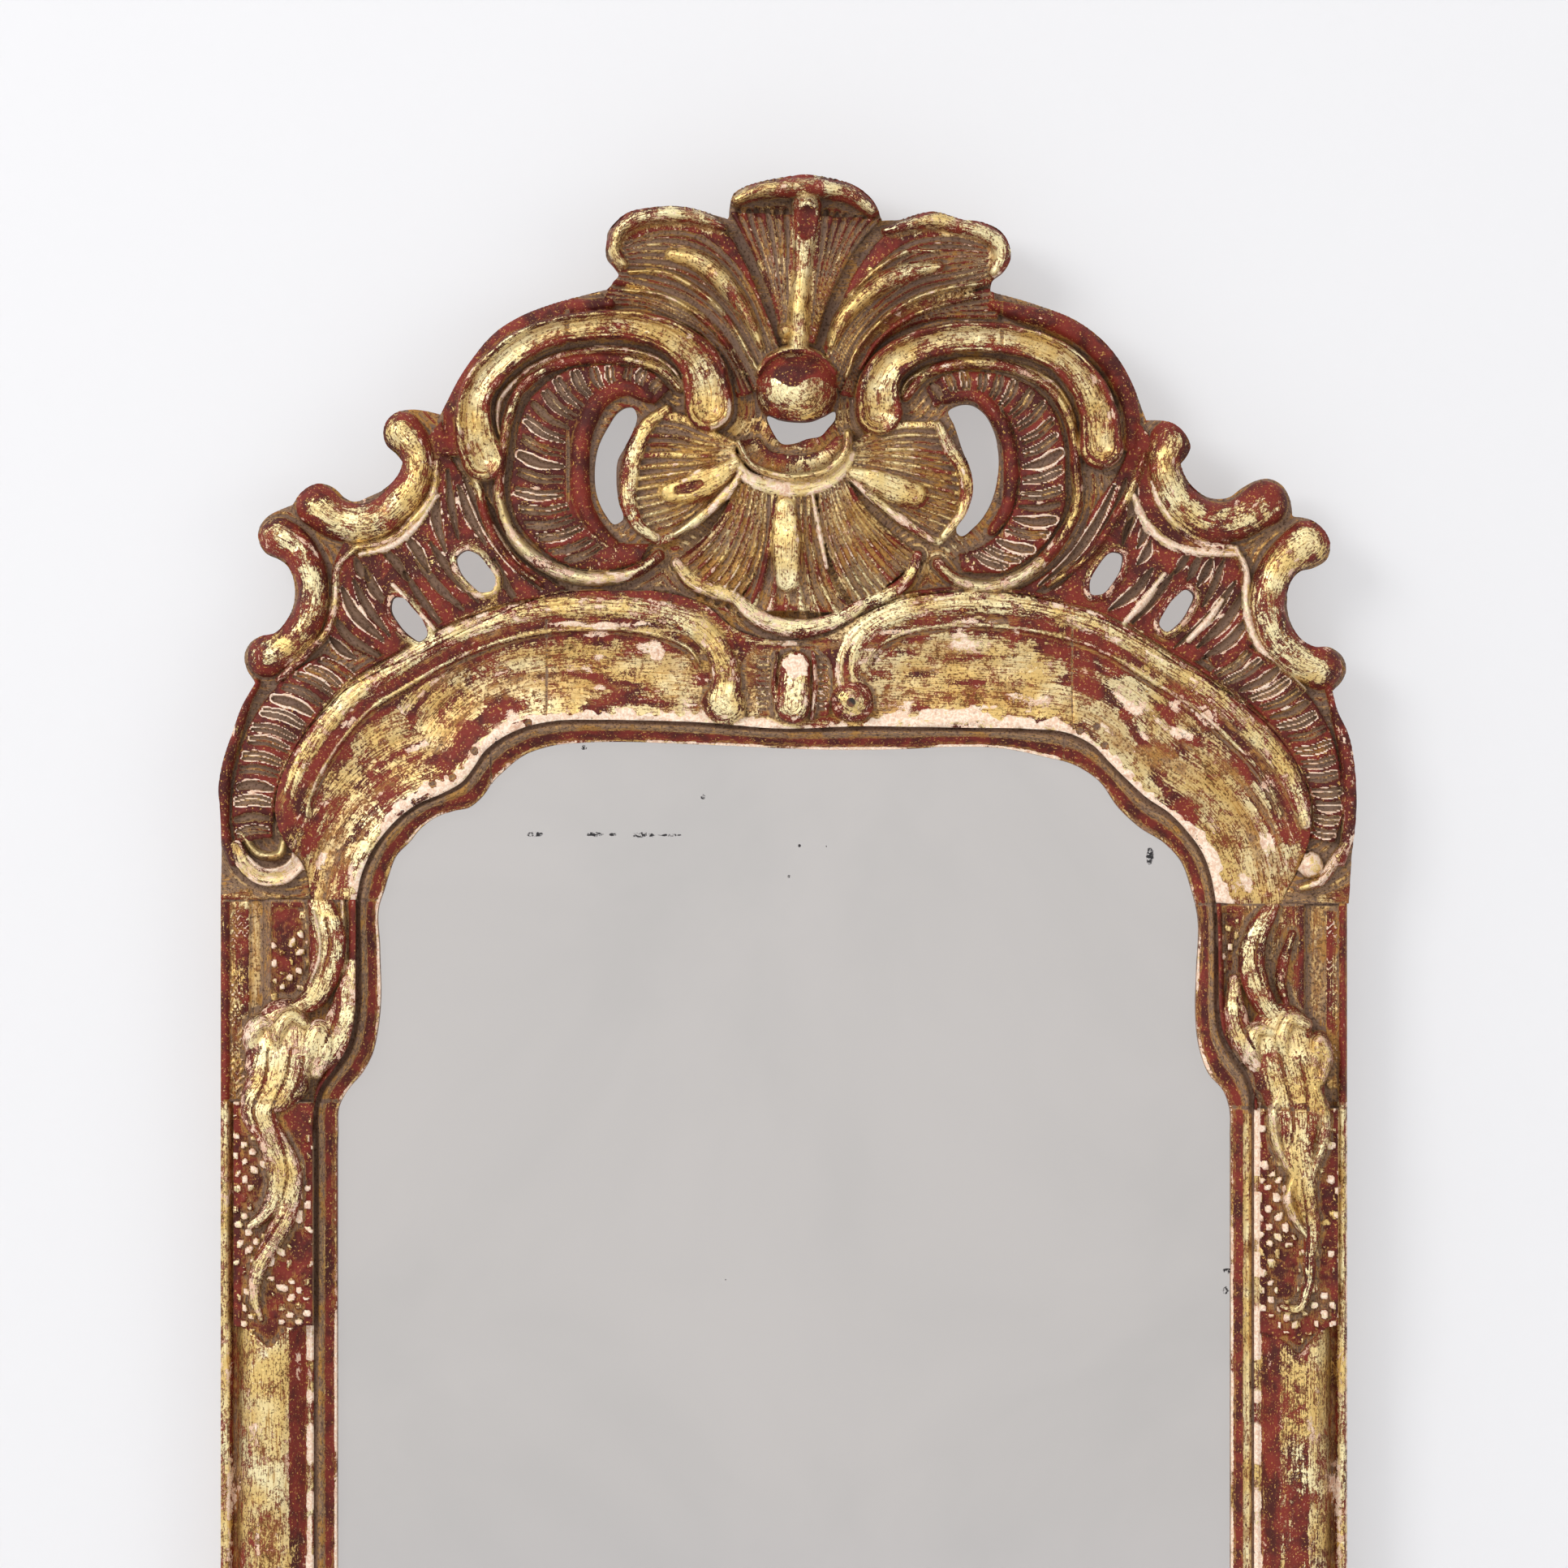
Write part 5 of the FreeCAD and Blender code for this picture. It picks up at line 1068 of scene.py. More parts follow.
def upper_sheet():
    """Crest and arch on one sheet, carved from the ground up: what comes later lies over or beside the
    earlier."""
    s = Sheet(np.arange(UPPER_LOW[0], UPPER_HIGH[0], STEP), np.arange(UPPER_LOW[1], UPPER_HIGH[1], STEP))
    for carve in (carve_ground, carve_flow, carve_wings, carve_outer_combs, carve_combs, carve_shell,
                  carve_plume, carve_scrolls, carve_knob, lay_arch, carve_arch, weather):
        carve(s)
    return s


# ---- from sheet to mesh
KEEP_BEYOND = 0.35 * STEP
LEVEL_INSET = 1.2 * STEP
THINNEST_MM = 1.0
SEAM_MM = .22
BOX_GAP_M = 1e-5
SHORTEST_RING = 8
WALL_WEAR = [.75, 0, .9]


def grid_faces(keep):
    """Quads where four kept grid points meet and triangles where three do, by their places in the whole
    grid."""
    four = np.stack([keep[:-1, :-1], keep[1:, :-1], keep[1:, 1:], keep[:-1, 1:]])
    index = np.arange(keep.size).reshape(keep.shape)
    corners = np.stack([index[:-1, :-1], index[1:, :-1], index[1:, 1:], index[:-1, 1:]])
    used = four.sum(0)
    three = used == 3
    missing = np.argmin(four[:, three].T, axis=1)
    pick = (missing[:, None] + np.array([1, 2, 3])) % 4
    return corners[:, used == 4].T, np.take_along_axis(corners[:, three].T, pick, 1)


def open_rings(faces):
    """Closed rings of the sides that only one face has, in the faces' own order."""
    sides = np.concatenate([np.column_stack([f[:, k], f[:, (k + 1) % f.shape[1]]])
                            for f in faces for k in range(f.shape[1])])
    key = sides[:, 0].astype(np.int64) * 10**8 + sides[:, 1]
    back = sides[:, 1].astype(np.int64) * 10**8 + sides[:, 0]
    after = {int(a): int(b) for a, b in sides[~np.isin(key, back)]}
    rings = []
    while after:
        start, at = next(iter(after.items()))
        ring = [start]
        del after[start]
        while at != start and at in after:
            ring.append(at)
            at = after.pop(at)
        if len(ring) > SHORTEST_RING:
            rings.append(np.array(ring))
    return rings


def snap(s, away, rim):
    """Moves the rim's grid points along the distance's slope onto the edge. They take their layers from a
    little further in."""
    slope_y, slope_x = np.gradient(away, s.ys, s.xs)
    square = np.maximum(np.hypot(slope_x, slope_y), 0.3)**2
    x, y = s.X.copy(), s.Y.copy()
    x[rim] -= (away * slope_x / square)[rim]
    y[rim] -= (away * slope_y / square)[rim]
    reach = (away + LEVEL_INSET) / square
    rows = np.rint(np.interp((s.Y - reach * slope_y)[rim], s.ys, np.arange(len(s.ys)))).astype(int)
    columns = np.rint(np.interp((s.X - reach * slope_x)[rim], s.xs, np.arange(len(s.xs)))).astype(int)
    layers = [layer.copy() for layer in (s.h, s.red, s.white, s.dark)]
    for layer in layers:
        layer[rim] = layer[rows, columns]
    return [x, y] + layers


def face_layers(s, outline, away, rim, soften, depth, edge_wear):
    """Place, height and wear of the face. The height drops by a quarter-round inside the outline and by a
    hair at a joint. What lies lower than its surroundings takes a dark patina, and what stands higher is rubbed."""
    x, y, level, red, white, dark = snap(s, away, rim)
    inset = np.clip(-outline / soften, 0, 1)
    seam = (away > -LEVEL_INSET) & (outline < -2 * STEP)
    drop = depth * (1 - np.sqrt(np.clip(1 - (1 - inset)**2, 0, 1)))
    cavity = blur(s.h, 3) - s.h
    h = np.maximum(level - drop - SEAM_MM * seam, THINNEST_MM)
    red = np.clip(red + (1 - inset) * edge_wear - np.clip(cavity, -.4, .4) * .35, -.3, 1.3)
    white = np.clip(white + np.clip(-cavity - .25, 0, .5) * .25, 0, 1.2)
    dark = np.clip(dark + np.clip(cavity, -.4, .8) * .55 + .5 * seam, 0, 1.2)
    return x, y, h, red, white, dark, s.u, s.v, np.zeros_like(s.u)


def wall_faces(rings, count):
    """Quads from each ring of the face down to its like on the back, whose points follow those of the face,
    and the rings of the back."""
    walls, feet = [], []
    for ring in rings:
        foot = count + np.arange(len(ring))
        walls.append(np.column_stack([np.roll(ring, -1), ring, foot, np.roll(foot, -1)]))
        feet.append(foot)
        count += len(ring)
    return np.vstack(walls), feet


def enclosed(centre, rings):
    """True for points that the rings pass an odd number of times on one side."""
    inside = np.zeros(len(centre), bool)
    for p in rings:
        q = np.roll(p, -1, axis=0)
        dy = q[:, 1] - p[:, 1]
        for k in range(0, len(centre), 4000):
            c = centre[k:k + 4000]
            crosses = (p[None, :, 1] <= c[:, None, 1]) != (q[None, :, 1] <= c[:, None, 1])
            at = p[:, 0] + (c[:, None, 1] - p[:, 1]) / np.where(np.abs(dy) < 1e-12, 1e-12,
                                                                dy) * (q[:, 0] - p[:, 0])
            inside[k:k + 4000] ^= ((crosses & (at < c[:, None, 0])).sum(1) % 2).astype(bool)
    return inside


def back_faces(points, feet):
    """Triangles of the flat back: a Delaunay net of its rings, without what lies in the holes or outside."""
    local = np.concatenate(feet)
    place = {int(v): i for i, v in enumerate(local)}
    sides = [(place[int(a)], place[int(b)]) for foot in feet for a, b in zip(foot, np.roll(foot, -1))]
    vectors = [Vector((float(x), float(y))) for x, y in points[local][:, :2]]
    net = delaunay_2d_cdt(vectors, sides, [], 0, 1e-6, True)
    found, filled, origin = net[0], np.array(net[2]), net[3]
    to_local = np.array([local[o[0]] if o else -1 for o in origin])
    centre = np.array([[v.x, v.y] for v in found])[filled].mean(1)
    faces = to_local[filled[enclosed(centre, [points[foot][:, :2] for foot in feet])]]
    faces = faces[(faces >= 0).all(1)]
    a, b, c = (points[faces[:, k]][:, :2] for k in range(3))
    turn = (b - a)[:, 0] * (c - a)[:, 1] - (b - a)[:, 1] * (c - a)[:, 0]
    faces[turn < 0] = faces[turn < 0][:, ::-1]
    return faces


def in_frame(points):
    """Sheet points as metres of the frame, kept inside the solids' box."""
    place = np.column_stack([(points[:, 0] - MIDDLE_X) * MM, FRONT_MM - points[:, 2],
                             RING_Z_MM + (RING_Y - points[:, 1]) * MM]) / 1000
    return np.clip(place, np.array(CAD_BOX[0]) + BOX_GAP_M, np.array(CAD_BOX[1]) - BOX_GAP_M)


def make_mesh(name, points, faces):
    """A mesh from an array of points and arrays of faces, which may have three or four corners."""
    mesh = bpy.data.meshes.new(name)
    faces = [f for f in faces if len(f)]
    sizes = np.concatenate([np.full(len(f), f.shape[1]) for f in faces])
    corners = np.concatenate([f.ravel() for f in faces])
    mesh.vertices.add(len(points))
    mesh.vertices.foreach_set("co", points.astype(np.float32).ravel())
    mesh.loops.add(len(corners))
    mesh.loops.foreach_set("vertex_index", corners.astype(np.int32))
    mesh.polygons.add(len(sizes))
    mesh.polygons.foreach_set("loop_start", np.concatenate([[0], np.cumsum(sizes)[:-1]]).astype(np.int32))
    mesh.update(calc_edges=True)
    return mesh


def sharpen(mesh, points, rings, count):
    """Marks the edges round the face and those of the back as sharp."""
    edge = np.zeros(len(mesh.edges) * 2, np.int32)
    mesh.edges.foreach_get("vertices", edge)
    edge = edge.reshape(-1, 2)
    on_rim = np.zeros(len(points), bool)
    on_rim[np.concatenate(rings)] = True
    on_back = np.arange(len(points)) >= count
    hard = on_rim[edge].all(1) | on_back[edge].all(1)
    mesh.attributes.new("sharp_edge", "BOOLEAN", "EDGE").data.foreach_set("value", hard)


def relief_piece(node, s, outline, limits=(), soften=2.0, depth=FACE_DEPTH_MM, edge_wear=0.25):
    """A carved piece cut from a sheet, inside the signed distance to its outline and the straight limits
    where it meets the next piece: the face, walls down to the flat back, and the back. It stands for one node
    of the frame."""
    away = np.maximum.reduce((outline,) + tuple(limits))
    keep = away < KEEP_BEYOND
    faces = grid_faces(keep)
    rings = open_rings(faces)
    rim = np.zeros(keep.size, bool)
    rim[np.concatenate(rings)] = True
    layers = face_layers(s, outline, away, rim.reshape(keep.shape), soften, depth, edge_wear)

    used = np.unique(np.concatenate([f.ravel() for f in faces]))
    order = np.full(keep.size, -1)
    order[used] = np.arange(len(used))
    quads, triangles = (order[f] for f in faces)
    rings = [order[ring] for ring in rings]
    values = np.column_stack([layer.ravel()[used] for layer in layers])
    points, wear, run = values[:, :3], values[:, 3:6], values[:, 6:]

    walls, feet = wall_faces(rings, len(used))
    edge = np.concatenate(rings)
    fall = np.column_stack([0 * edge, points[edge, 2], 0 * edge])
    low = points[edge].copy()
    low[:, 2] = 0
    points = np.vstack([points, low])
    wear = np.vstack([wear, np.tile(WALL_WEAR, (len(edge), 1))])
    run = np.vstack([run, run[edge] + fall])
    back = back_faces(points, feet)

    mesh = make_mesh(node + "_carved", in_frame(points), [quads, triangles, walls, back])
    kinds = np.repeat([0, 1], [len(quads) + len(triangles) + len(walls), len(back)]).astype(np.int32)
    mesh.polygons.foreach_set("material_index", kinds)
    mesh.polygons.foreach_set("use_smooth", kinds == 0)
    sharpen(mesh, points, rings, len(used))
    colour = np.column_stack([wear, np.ones(len(points))]).astype(np.float32)
    mesh.attributes.new("wear", "FLOAT_COLOR", "POINT").data.foreach_set("color", colour.ravel())
    mesh.attributes.new("run", "FLOAT_VECTOR", "POINT").data.foreach_set("vector",
                                                                         run.astype(np.float32).ravel())
    for finish in ("gilding", "back_wood"):
        mesh.materials.append(bpy.data.materials[finish])
    piece = bpy.data.objects.new(mesh.name, mesh)
    bpy.context.scene.collection.objects.link(piece)
    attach(piece, "frame")
    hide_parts(node)


# ---- finishes
class Tree:
    """Short words for the nodes of a material."""

    def __init__(self, name):
        self.material = bpy.data.materials.new(name)
        self.material.use_nodes = True
        self.tree = self.material.node_tree
        self.tree.nodes.clear()
        self.out = self.tree.nodes.new("ShaderNodeOutputMaterial")

    def node(self, kind, **settings):
        """A node with its settings."""
        n = self.tree.nodes.new("ShaderNode" + kind)
        for key, value in settings.items():
            setattr(n, key, value)
        return n

    def put(self, socket, value):
        """Links a socket, or sets a plain value."""
        if isinstance(value, bpy.types.NodeSocket):
            self.tree.links.new(value, socket)
        else:
            socket.default_value = value

    def filled(self, kind, inputs, **settings):
        """A node whose inputs, by name or number, are given."""
        n = self.node(kind, **settings)
        for key, value in inputs.items():
            self.put(n.inputs[key], value)
        return n

    def math(self, kind, a, b=0.0, c=0.0, clamp=False):
        return self.filled("Math", {0: a, 1: b, 2: c}, operation=kind, use_clamp=clamp).outputs[0]

    def total(self, *terms):
        """Sum of values, each times its share."""
        value, share = terms[-1]
        result = self.math("MULTIPLY", value, share)
        for value, share in reversed(terms[:-1]):
            result = self.math("MULTIPLY_ADD", value, share, result)
        return result

    def level(self, paint, share, field, start):
        """A field less its start, with the painted wear times its share added."""
        return self.math("MULTIPLY_ADD", paint, share, self.math("SUBTRACT", field, start))

    def rest(self, value):
        """What is left of 1."""
        return self.math("SUBTRACT", 1.0, value)

    def step(self, value, low, high):
        """0 below low and 1 above high."""
        inputs = {"Value": value, "From Min": low, "From Max": high}
        return self.filled("MapRange", inputs, interpolation_type="SMOOTHSTEP").outputs["Result"]

    def part(self, value, low, high, share):
        """A step, times a share."""
        return self.math("MULTIPLY", self.step(value, low, high), share)

    def blend(self, share, a, b):
        return self.filled("Mix", {0: share, 6: a, 7: b}, data_type="RGBA").outputs[2]

    def scaled(self, vector, factors):
        return self.filled("VectorMath", {0: vector, 1: factors}, operation="MULTIPLY").outputs[0]

    def noise(self, vector, scale, detail=3.0, rough=0.55, distortion=0.0):
        inputs = {"Vector": vector, "Scale": scale, "Detail": detail, "Roughness": rough,
                  "Distortion": distortion}
        return self.filled("TexNoise", inputs).outputs["Fac"]

    def cells(self, vector, scale, feature="F1"):
        return self.filled("TexVoronoi", {"Vector": vector, "Scale": scale},
                           feature=feature).outputs["Distance"]

    def place(self):
        return self.node("TexCoord").outputs["Object"]

    def attribute(self, name, output="Vector"):
        return self.node("Attribute", attribute_type="GEOMETRY", attribute_name=name).outputs[output]

    def bump(self, height, strength, distance):
        return self.filled("Bump", {"Strength": strength, "Distance": distance, "Height": height}).outputs[0]

    def surface(self, **values):
        """The shader that the material ends in."""
        shader = self.filled("BsdfPrincipled",
                             {key.replace("_", " "): value for key, value in values.items()})
        self.tree.links.new(shader.outputs[0], self.out.inputs[0])


def tone(text):
    """A written sRGB colour as the linear one that a shader takes."""
    channels = [int(text[i:i + 2], 16) / 255 for i in (0, 2, 4)]
    return tuple((c / 12.92 if c <= 0.04045 else ((c + 0.055) / 1.055)**2.4) for c in channels) + (1.0,)


def gilding(look):
    """Worn water gilding. Streaks along the cut, blotches, patches and specks are added into fields, and the
    painted wear moves the levels at which leaf gives way to bole, bole to gesso, and leaf to brown patina.
    The dark share that browns the leaf also carries painted shade in a few places."""
    t = Tree("gilding")
    red, white, dark = t.filled("SeparateColor", {0: t.attribute("wear", "Color")}).outputs[:3]
    run, place = t.attribute("run"), t.place()
    streaks = t.noise(t.scaled(run, (0.10, 1.5, 1)), 1.0, 4, .6, .3)
    hairs = t.noise(t.scaled(run, (0.35, 5.0, 1)), 1.0, 3, .6, .2)
    slow = t.noise(place, 35, 3, .6, .6)
    blotches = t.noise(place, 95, 4, .6, .4)
    patches = t.noise(place, 280, 4, .7, .6)
    specks = t.noise(place, 1100, 3, .65)
    grain = t.noise(place, 2600, 2, .5)

    field = t.total((streaks, .8), (blotches, .6), (patches, .8), (specks, .8), (hairs, .4), (slow, .7))
    scratch = t.noise(t.scaled(run, (0.22, 2.1, 1)), 1.0, 4, .7, .25)
    scratches = t.total((scratch, 1.0), (patches, .6), (blotches, .6), (specks, .7), (grain, .2))
    scratched = t.step(t.level(red, .25, scratches, 1.642), -.02, .03)
    bare = t.step(t.level(red, .85, field, 2.44), -.035, .045)
    pale = t.total((patches, .9), (specks, .5), (hairs, .4), (blotches, .5))
    chalk = t.step(t.level(white, .62, pale, 1.50), -.02, .025)

    leaf = t.blend(t.step(slow, .38, .62), look.leaf[:], look.pale_leaf[:])
    leaf = t.blend(t.step(streaks, .5, .72), leaf, tone("B98C4A"))
    leaf = t.blend(t.part(blotches, .52, .66, .6), leaf, tone("A9783F"))
    leaf = t.blend(t.step(patches, .58, .70), leaf, tone("FFF3C8"))
    leaf = t.blend(t.part(t.total((specks, .7), (hairs, .3)), .53, .62, .75), leaf, tone("5B3A1C"))
    # The dark share browns the leaf: soiling in the hollows, and painted shade where the sheet carries it.
    leaf = t.blend(t.math("MULTIPLY", dark, .9, clamp=True), leaf, tone("A8712E"))
    leaf = t.blend(t.math("MULTIPLY", scratched, .85), leaf,
                   t.blend(t.step(patches, .4, .6), tone("4A2412"), tone("7A3420")))
    bole = t.blend(t.step(blotches, .38, .62), tone("45120D"), look.bole[:])
    bole = t.blend(t.part(patches, .60, .70, .5), bole, tone("8F4A30"))
    bole = t.blend(t.part(specks, .60, .66, .8), bole, tone("D2A455"))
    gesso = t.blend(t.step(specks, .42, .58), look.gesso[:], tone("E8C5A8"))
    gesso = t.blend(t.part(patches, .54, .66, .55), gesso, tone("B87C5C"))
    colour = t.blend(bare, leaf, bole)

    # Old brown patina where the dark share is high; where that share is painted shade, this is painted shade too.
    dirt_and_shade = t.total((hairs, .5), (patches, .6), (specks, .4), (slow, .5))
    grime_and_shade = t.step(t.level(dark, .75, dirt_and_shade, 1.42), -.08, .10)
    old = t.blend(t.step(t.math("MULTIPLY_ADD", slow, .5, dark), .72, .98), tone("A5702F"), tone("7A6252"))
    thin = t.rest(t.step(dark, .90, 1.05))
    old = t.blend(t.math("MULTIPLY", thin, t.step(t.math("MULTIPLY_ADD", streaks, .5, blotches), .78, .86)),
                  old, tone("A5783A"))
    old = t.blend(t.math("MULTIPLY", thin, t.step(hairs, .52, .64)), old, tone("C2924A"))
    old = t.blend(t.part(specks, .52, .62, .75), old, tone("33190F"))
    colour = t.blend(t.math("MULTIPLY", grime_and_shade, .92), colour, old)
    colour = t.blend(chalk, colour, gesso)

    shine = t.math("MULTIPLY", t.rest(t.math("MAXIMUM", bare, chalk)), t.rest(t.math("MULTIPLY", grime_and_shade, .8)))
    cracks = t.step(t.cells(place, 210, "DISTANCE_TO_EDGE"), 0.0, .02)
    relief = t.total((cracks, .06), (hairs, .5), (patches, .9), (grain, .12), (chalk, .12), (bare, -.2))
    t.surface(Base_Color=colour, Specular_IOR_Level=.28, Metallic=t.math("MULTIPLY", shine, .72),
              Roughness=t.math("MULTIPLY_ADD", t.rest(shine), .28, .30), Normal=t.bump(relief, .6, .0005))


def pine(name, upright):
    """Pine with its grain along one axis: the rings are a sine of the distance across, bent by slow noise,
    and saw marks cross them."""
    def grain(across, deep, along):
        return (across, deep, along) if upright else (along, deep, across)
    t = Tree(name)
    place = t.place()
    axes = t.filled("SeparateXYZ", {0: place}).outputs
    across, along = (axes[0], axes[2]) if upright else (axes[2], axes[0])
    bend = t.noise(t.scaled(place, grain(30, 8, 3)), 1.0, 3)
    slow = t.noise(t.scaled(place, grain(9, 3, 1.2)), 1.0, 2)
    ring = t.math("SINE", t.total((across, 1150), (bend, 13), (slow, 90)))
    fibre = t.noise(t.scaled(place, grain(900, 300, 18)), 1.0, 4, .6)
    stain = t.noise(place, 9, 4, .6, .5)
    colour = t.blend(t.math("MULTIPLY", t.step(ring, -.2, 1.0), t.step(bend, .3, .62)), tone("B08A5C"),
                     tone("8A633B"))
    colour = t.blend(t.part(fibre, .45, .7, .5), colour, tone("6B4A2A"))
    colour = t.blend(t.part(stain, .48, .7, .55), colour, tone("5C4229"))
    saw = t.math("SINE", t.total((along, 2600), (bend, 8)))
    relief = t.math("MULTIPLY_ADD", saw, .25, fibre)
    t.surface(Base_Color=colour, Roughness=.78, Normal=t.bump(relief, .35, .0005))


def iron():
    """Forged iron: hammer facets from cells, brown rust in noise patches."""
    t = Tree("forged_iron")
    place = t.place()
    dents = t.cells(place, 420)
    share = t.step(t.noise(place, 330, 4, .65, .4), .45, .62)
    colour = t.blend(share, tone("3B3734"), tone("6A3E26"))
    colour = t.blend(t.part(t.noise(place, 1900, 2), .55, .7, .5), colour, tone("8A5230"))
    t.surface(Base_Color=colour, Metallic=t.math("SUBTRACT", .85, t.math("MULTIPLY", share, .75)),
              Roughness=t.math("MULTIPLY_ADD", share, .3, .45), Normal=t.bump(dents, .4, .0006))


WALL_SHADE, WALL_LIGHT = .985, .94
LAMP_PASSES_M = .15


def plaster(name, look):
    """White plaster that partly glows for camera, glossy and transmission rays. It lets everything through
    from behind, and short light rays from in front, so that the object's back is lit where it hangs close to
    the wall."""
    t = Tree(name)
    paint = t.blend(t.noise(t.place(), 3, 3), look.wall[:], tuple(c * WALL_SHADE for c in look.wall[:3]) + (1,
                                                                                                            ))
    wall = t.filled("BsdfDiffuse", {"Color": paint})
    glow = t.filled("Emission", {"Color": look.wall[:], "Strength": WALL_LIGHT})
    ray = t.node("LightPath").outputs
    shown = t.math("MAXIMUM", ray["Is Camera Ray"],
                   t.math("MAXIMUM", ray["Is Glossy Ray"], ray["Is Transmission Ray"]))
    lit = t.filled("MixShader", {0: t.math("MULTIPLY", shown, look.wall_glow), 1: wall.outputs[0],
                                 2: glow.outputs[0]})
    lighting = t.math("MAXIMUM", ray["Is Diffuse Ray"], ray["Is Shadow Ray"])
    close = t.math("MULTIPLY", lighting, t.math("LESS_THAN", ray["Ray Length"], LAMP_PASSES_M))
    through = t.math("MAXIMUM", t.node("NewGeometry").outputs["Backfacing"], close)
    seen = t.filled("MixShader", {0: through, 1: lit.outputs[0], 2: t.node("BsdfTransparent").outputs[0]})
    t.put(t.out.inputs[0], seen.outputs[0])
    return t.material


# Places where the silver is lost, on the photograph: the middle and the half sizes of each oval.
FOXING = [
    (659, 1028, 11, 3.2), (733, 1028, 11, 3.0), (755, 1028, 5, 2.2), (793, 1029, 15, 3.4),
    (826, 1029, 15, 1.6), (1417, 1055, 5, 11), (1512, 1566, 5, 4), (1510, 1590, 4, 5), (720, 921, 4, 3),
    (866, 982, 3.5, 3.5), (985, 1042, 2, 2), (972, 1080, 2, 2), (1018, 1043, 1.2, 1.2),
]


def foxed(t, place):
    """Distance to the nearest oval of lost silver, 1 on its edge."""
    nearest = None
    for x, y, half_x, half_y in FOXING:
        centre = ((x - MIDDLE_X) * MM / 1000, 0, (RING_Z_MM + (RING_Y - y) * MM) / 1000)
        from_centre = t.filled("VectorMath", {0: place, 1: centre}, operation="SUBTRACT").outputs[0]
        scaled = t.scaled(from_centre, (1000 / half_x / MM, 0, 1000 / half_y / MM))
        away = t.filled("VectorMath", {0: scaled}, operation="LENGTH").outputs["Value"]
        nearest = away if nearest is None else t.math("MINIMUM", nearest, away)
    return nearest


def mirror():
    """Old silvered glass: a polished warm grey, with clouding from slow noise and silver lost in small ovals
    whose edge a noise makes ragged."""
    t = Tree("silvered_glass")
    place = t.place()
    ragged = t.math("SUBTRACT", t.noise(place, 700, 4, .7), .5)
    ring = t.math("ADD", foxed(t, place), t.math("MULTIPLY", ragged, 1.3))
    hole = t.rest(t.step(ring, .8, 1.0))
    fleck = t.math("MULTIPLY", hole, t.step(t.noise(place, 900, 3, .7), .42, .5))
    dots = t.rest(t.step(t.cells(t.scaled(place, (1, 0.02, 1)), 62), .010, .022))
    few = t.step(t.noise(place, 24, 2), .56, .60)
    marks = t.math("MAXIMUM", fleck, t.math("MULTIPLY", dots, few))
    cloud = t.noise(place, 7, 4, .6, .6)
    silver = t.blend(t.step(cloud, .3, .7), tone("DDD9D7"), tone("D6D3D1"))
    colour = t.blend(marks, silver, tone("2C2A2C"))
    t.surface(Base_Color=colour, Metallic=t.math("SUBTRACT", .94, t.math("MULTIPLY", marks, .5)),
              Roughness=t.math("MULTIPLY_ADD", marks, .4, t.math("MULTIPLY_ADD", cloud, .05, .05)),
              Normal=t.bump(t.noise(place, 5, 1), .03, .002))


# ---- lower frame
PROFILE_AT = [0, 1.5, 4, 7, 10, 12.5, 15, 17, 19.5, 22, 28, 38, 50, 62, 74, 86, 95, 101, 104, 107, 110, 114.3]
PROFILE_MM = [7.6, 8.7, 9.7, 10, 9.7, 8.6, 6.8, 6.2, 6.4, 8.2, 12.4, 16.4, 18.5, 19, 18.1, 15.7, 12.7, 10.6,
              9.3, 9.1, 9.6, 8.8]
PROFILE_RED = ([0, 2, 5, 11, 14, 19, 24, 50, 84, 88, 105, 107, 114],
               [.8, .5, .15, .2, 1, 1, .3, .2, .25, .85, .95, .5, .4])
PROFILE_WHITE = ([0, 1, 3, 40, 60, 80, 104, 107, 112, 114], [.7, .7, .15, .1, .25, .1, .1, .9, .9, .3])
PROFILE_DARK = ([0, 4, 12, 15, 19, 24, 60, 98, 104, 108], [.3, .1, .2, .3, .3, .15, .1, .1, .3, .1])
CUSHION_FROM, CUSHION_TO, LIP_FROM = 24, 103, 104
STRIP_AT = [0, .05, .12, .25, .36, .45, .52, .65, .8, .9, 1]
STRIP_MM = [8.6, 7.2, 7.8, 9.0, 8.6, 7.3, 6.7, 5.9, 4.8, 4.3, 4.1]
STRIP_RED = ([0, .08, .14, .44, .52, .85, .93, 1], [.9, .9, .25, .25, 1, 1.1, .6, .5])
STRIP_WHITE = ([0, .84, .9, 1], [.0, .0, .8, 1])
STRIP_DARK = ([0, .08, .14, .20, .40, .47, .6, 1], [1.1, 1.1, .9, 1.0, 1.0, .6, .05, .1])
STRIP_WIDTH_MM, STRIP_REACH = 8, 60


def strip_section(s, region, t, along):
    """The strip's height is read from a table of t, the share of the way from the lip to the glass. It wears
    to a grey-brown bead, a red hollow and a rubbed edge that comes and goes along the run."""
    comes = .3 + .8 * run_noise(along / 40, 92)
    s.paint(region, h=np.interp(t, STRIP_AT, STRIP_MM), red=np.interp(t, *STRIP_RED),
            white=np.interp(t, *STRIP_WHITE) * comes, dark=np.interp(t, *STRIP_DARK))


def lay_strip(s, lip, sight):
    """The sight strip between two lines."""
    lip, sight = smooth_line(lip, 4), smooth_line(sight, 4)
    away_lip, along = s.distance(lip, STRIP_REACH)
    away_sight, _ = s.distance(sight, STRIP_REACH)
    region = s.inside(np.vstack([lip, sight[::-1]]))
    t = away_lip / (away_lip + away_sight + 1e-6)
    strip_section(s, region, t, along)
    s.paint(region, u=along * MM, v=t * STRIP_WIDTH_MM)


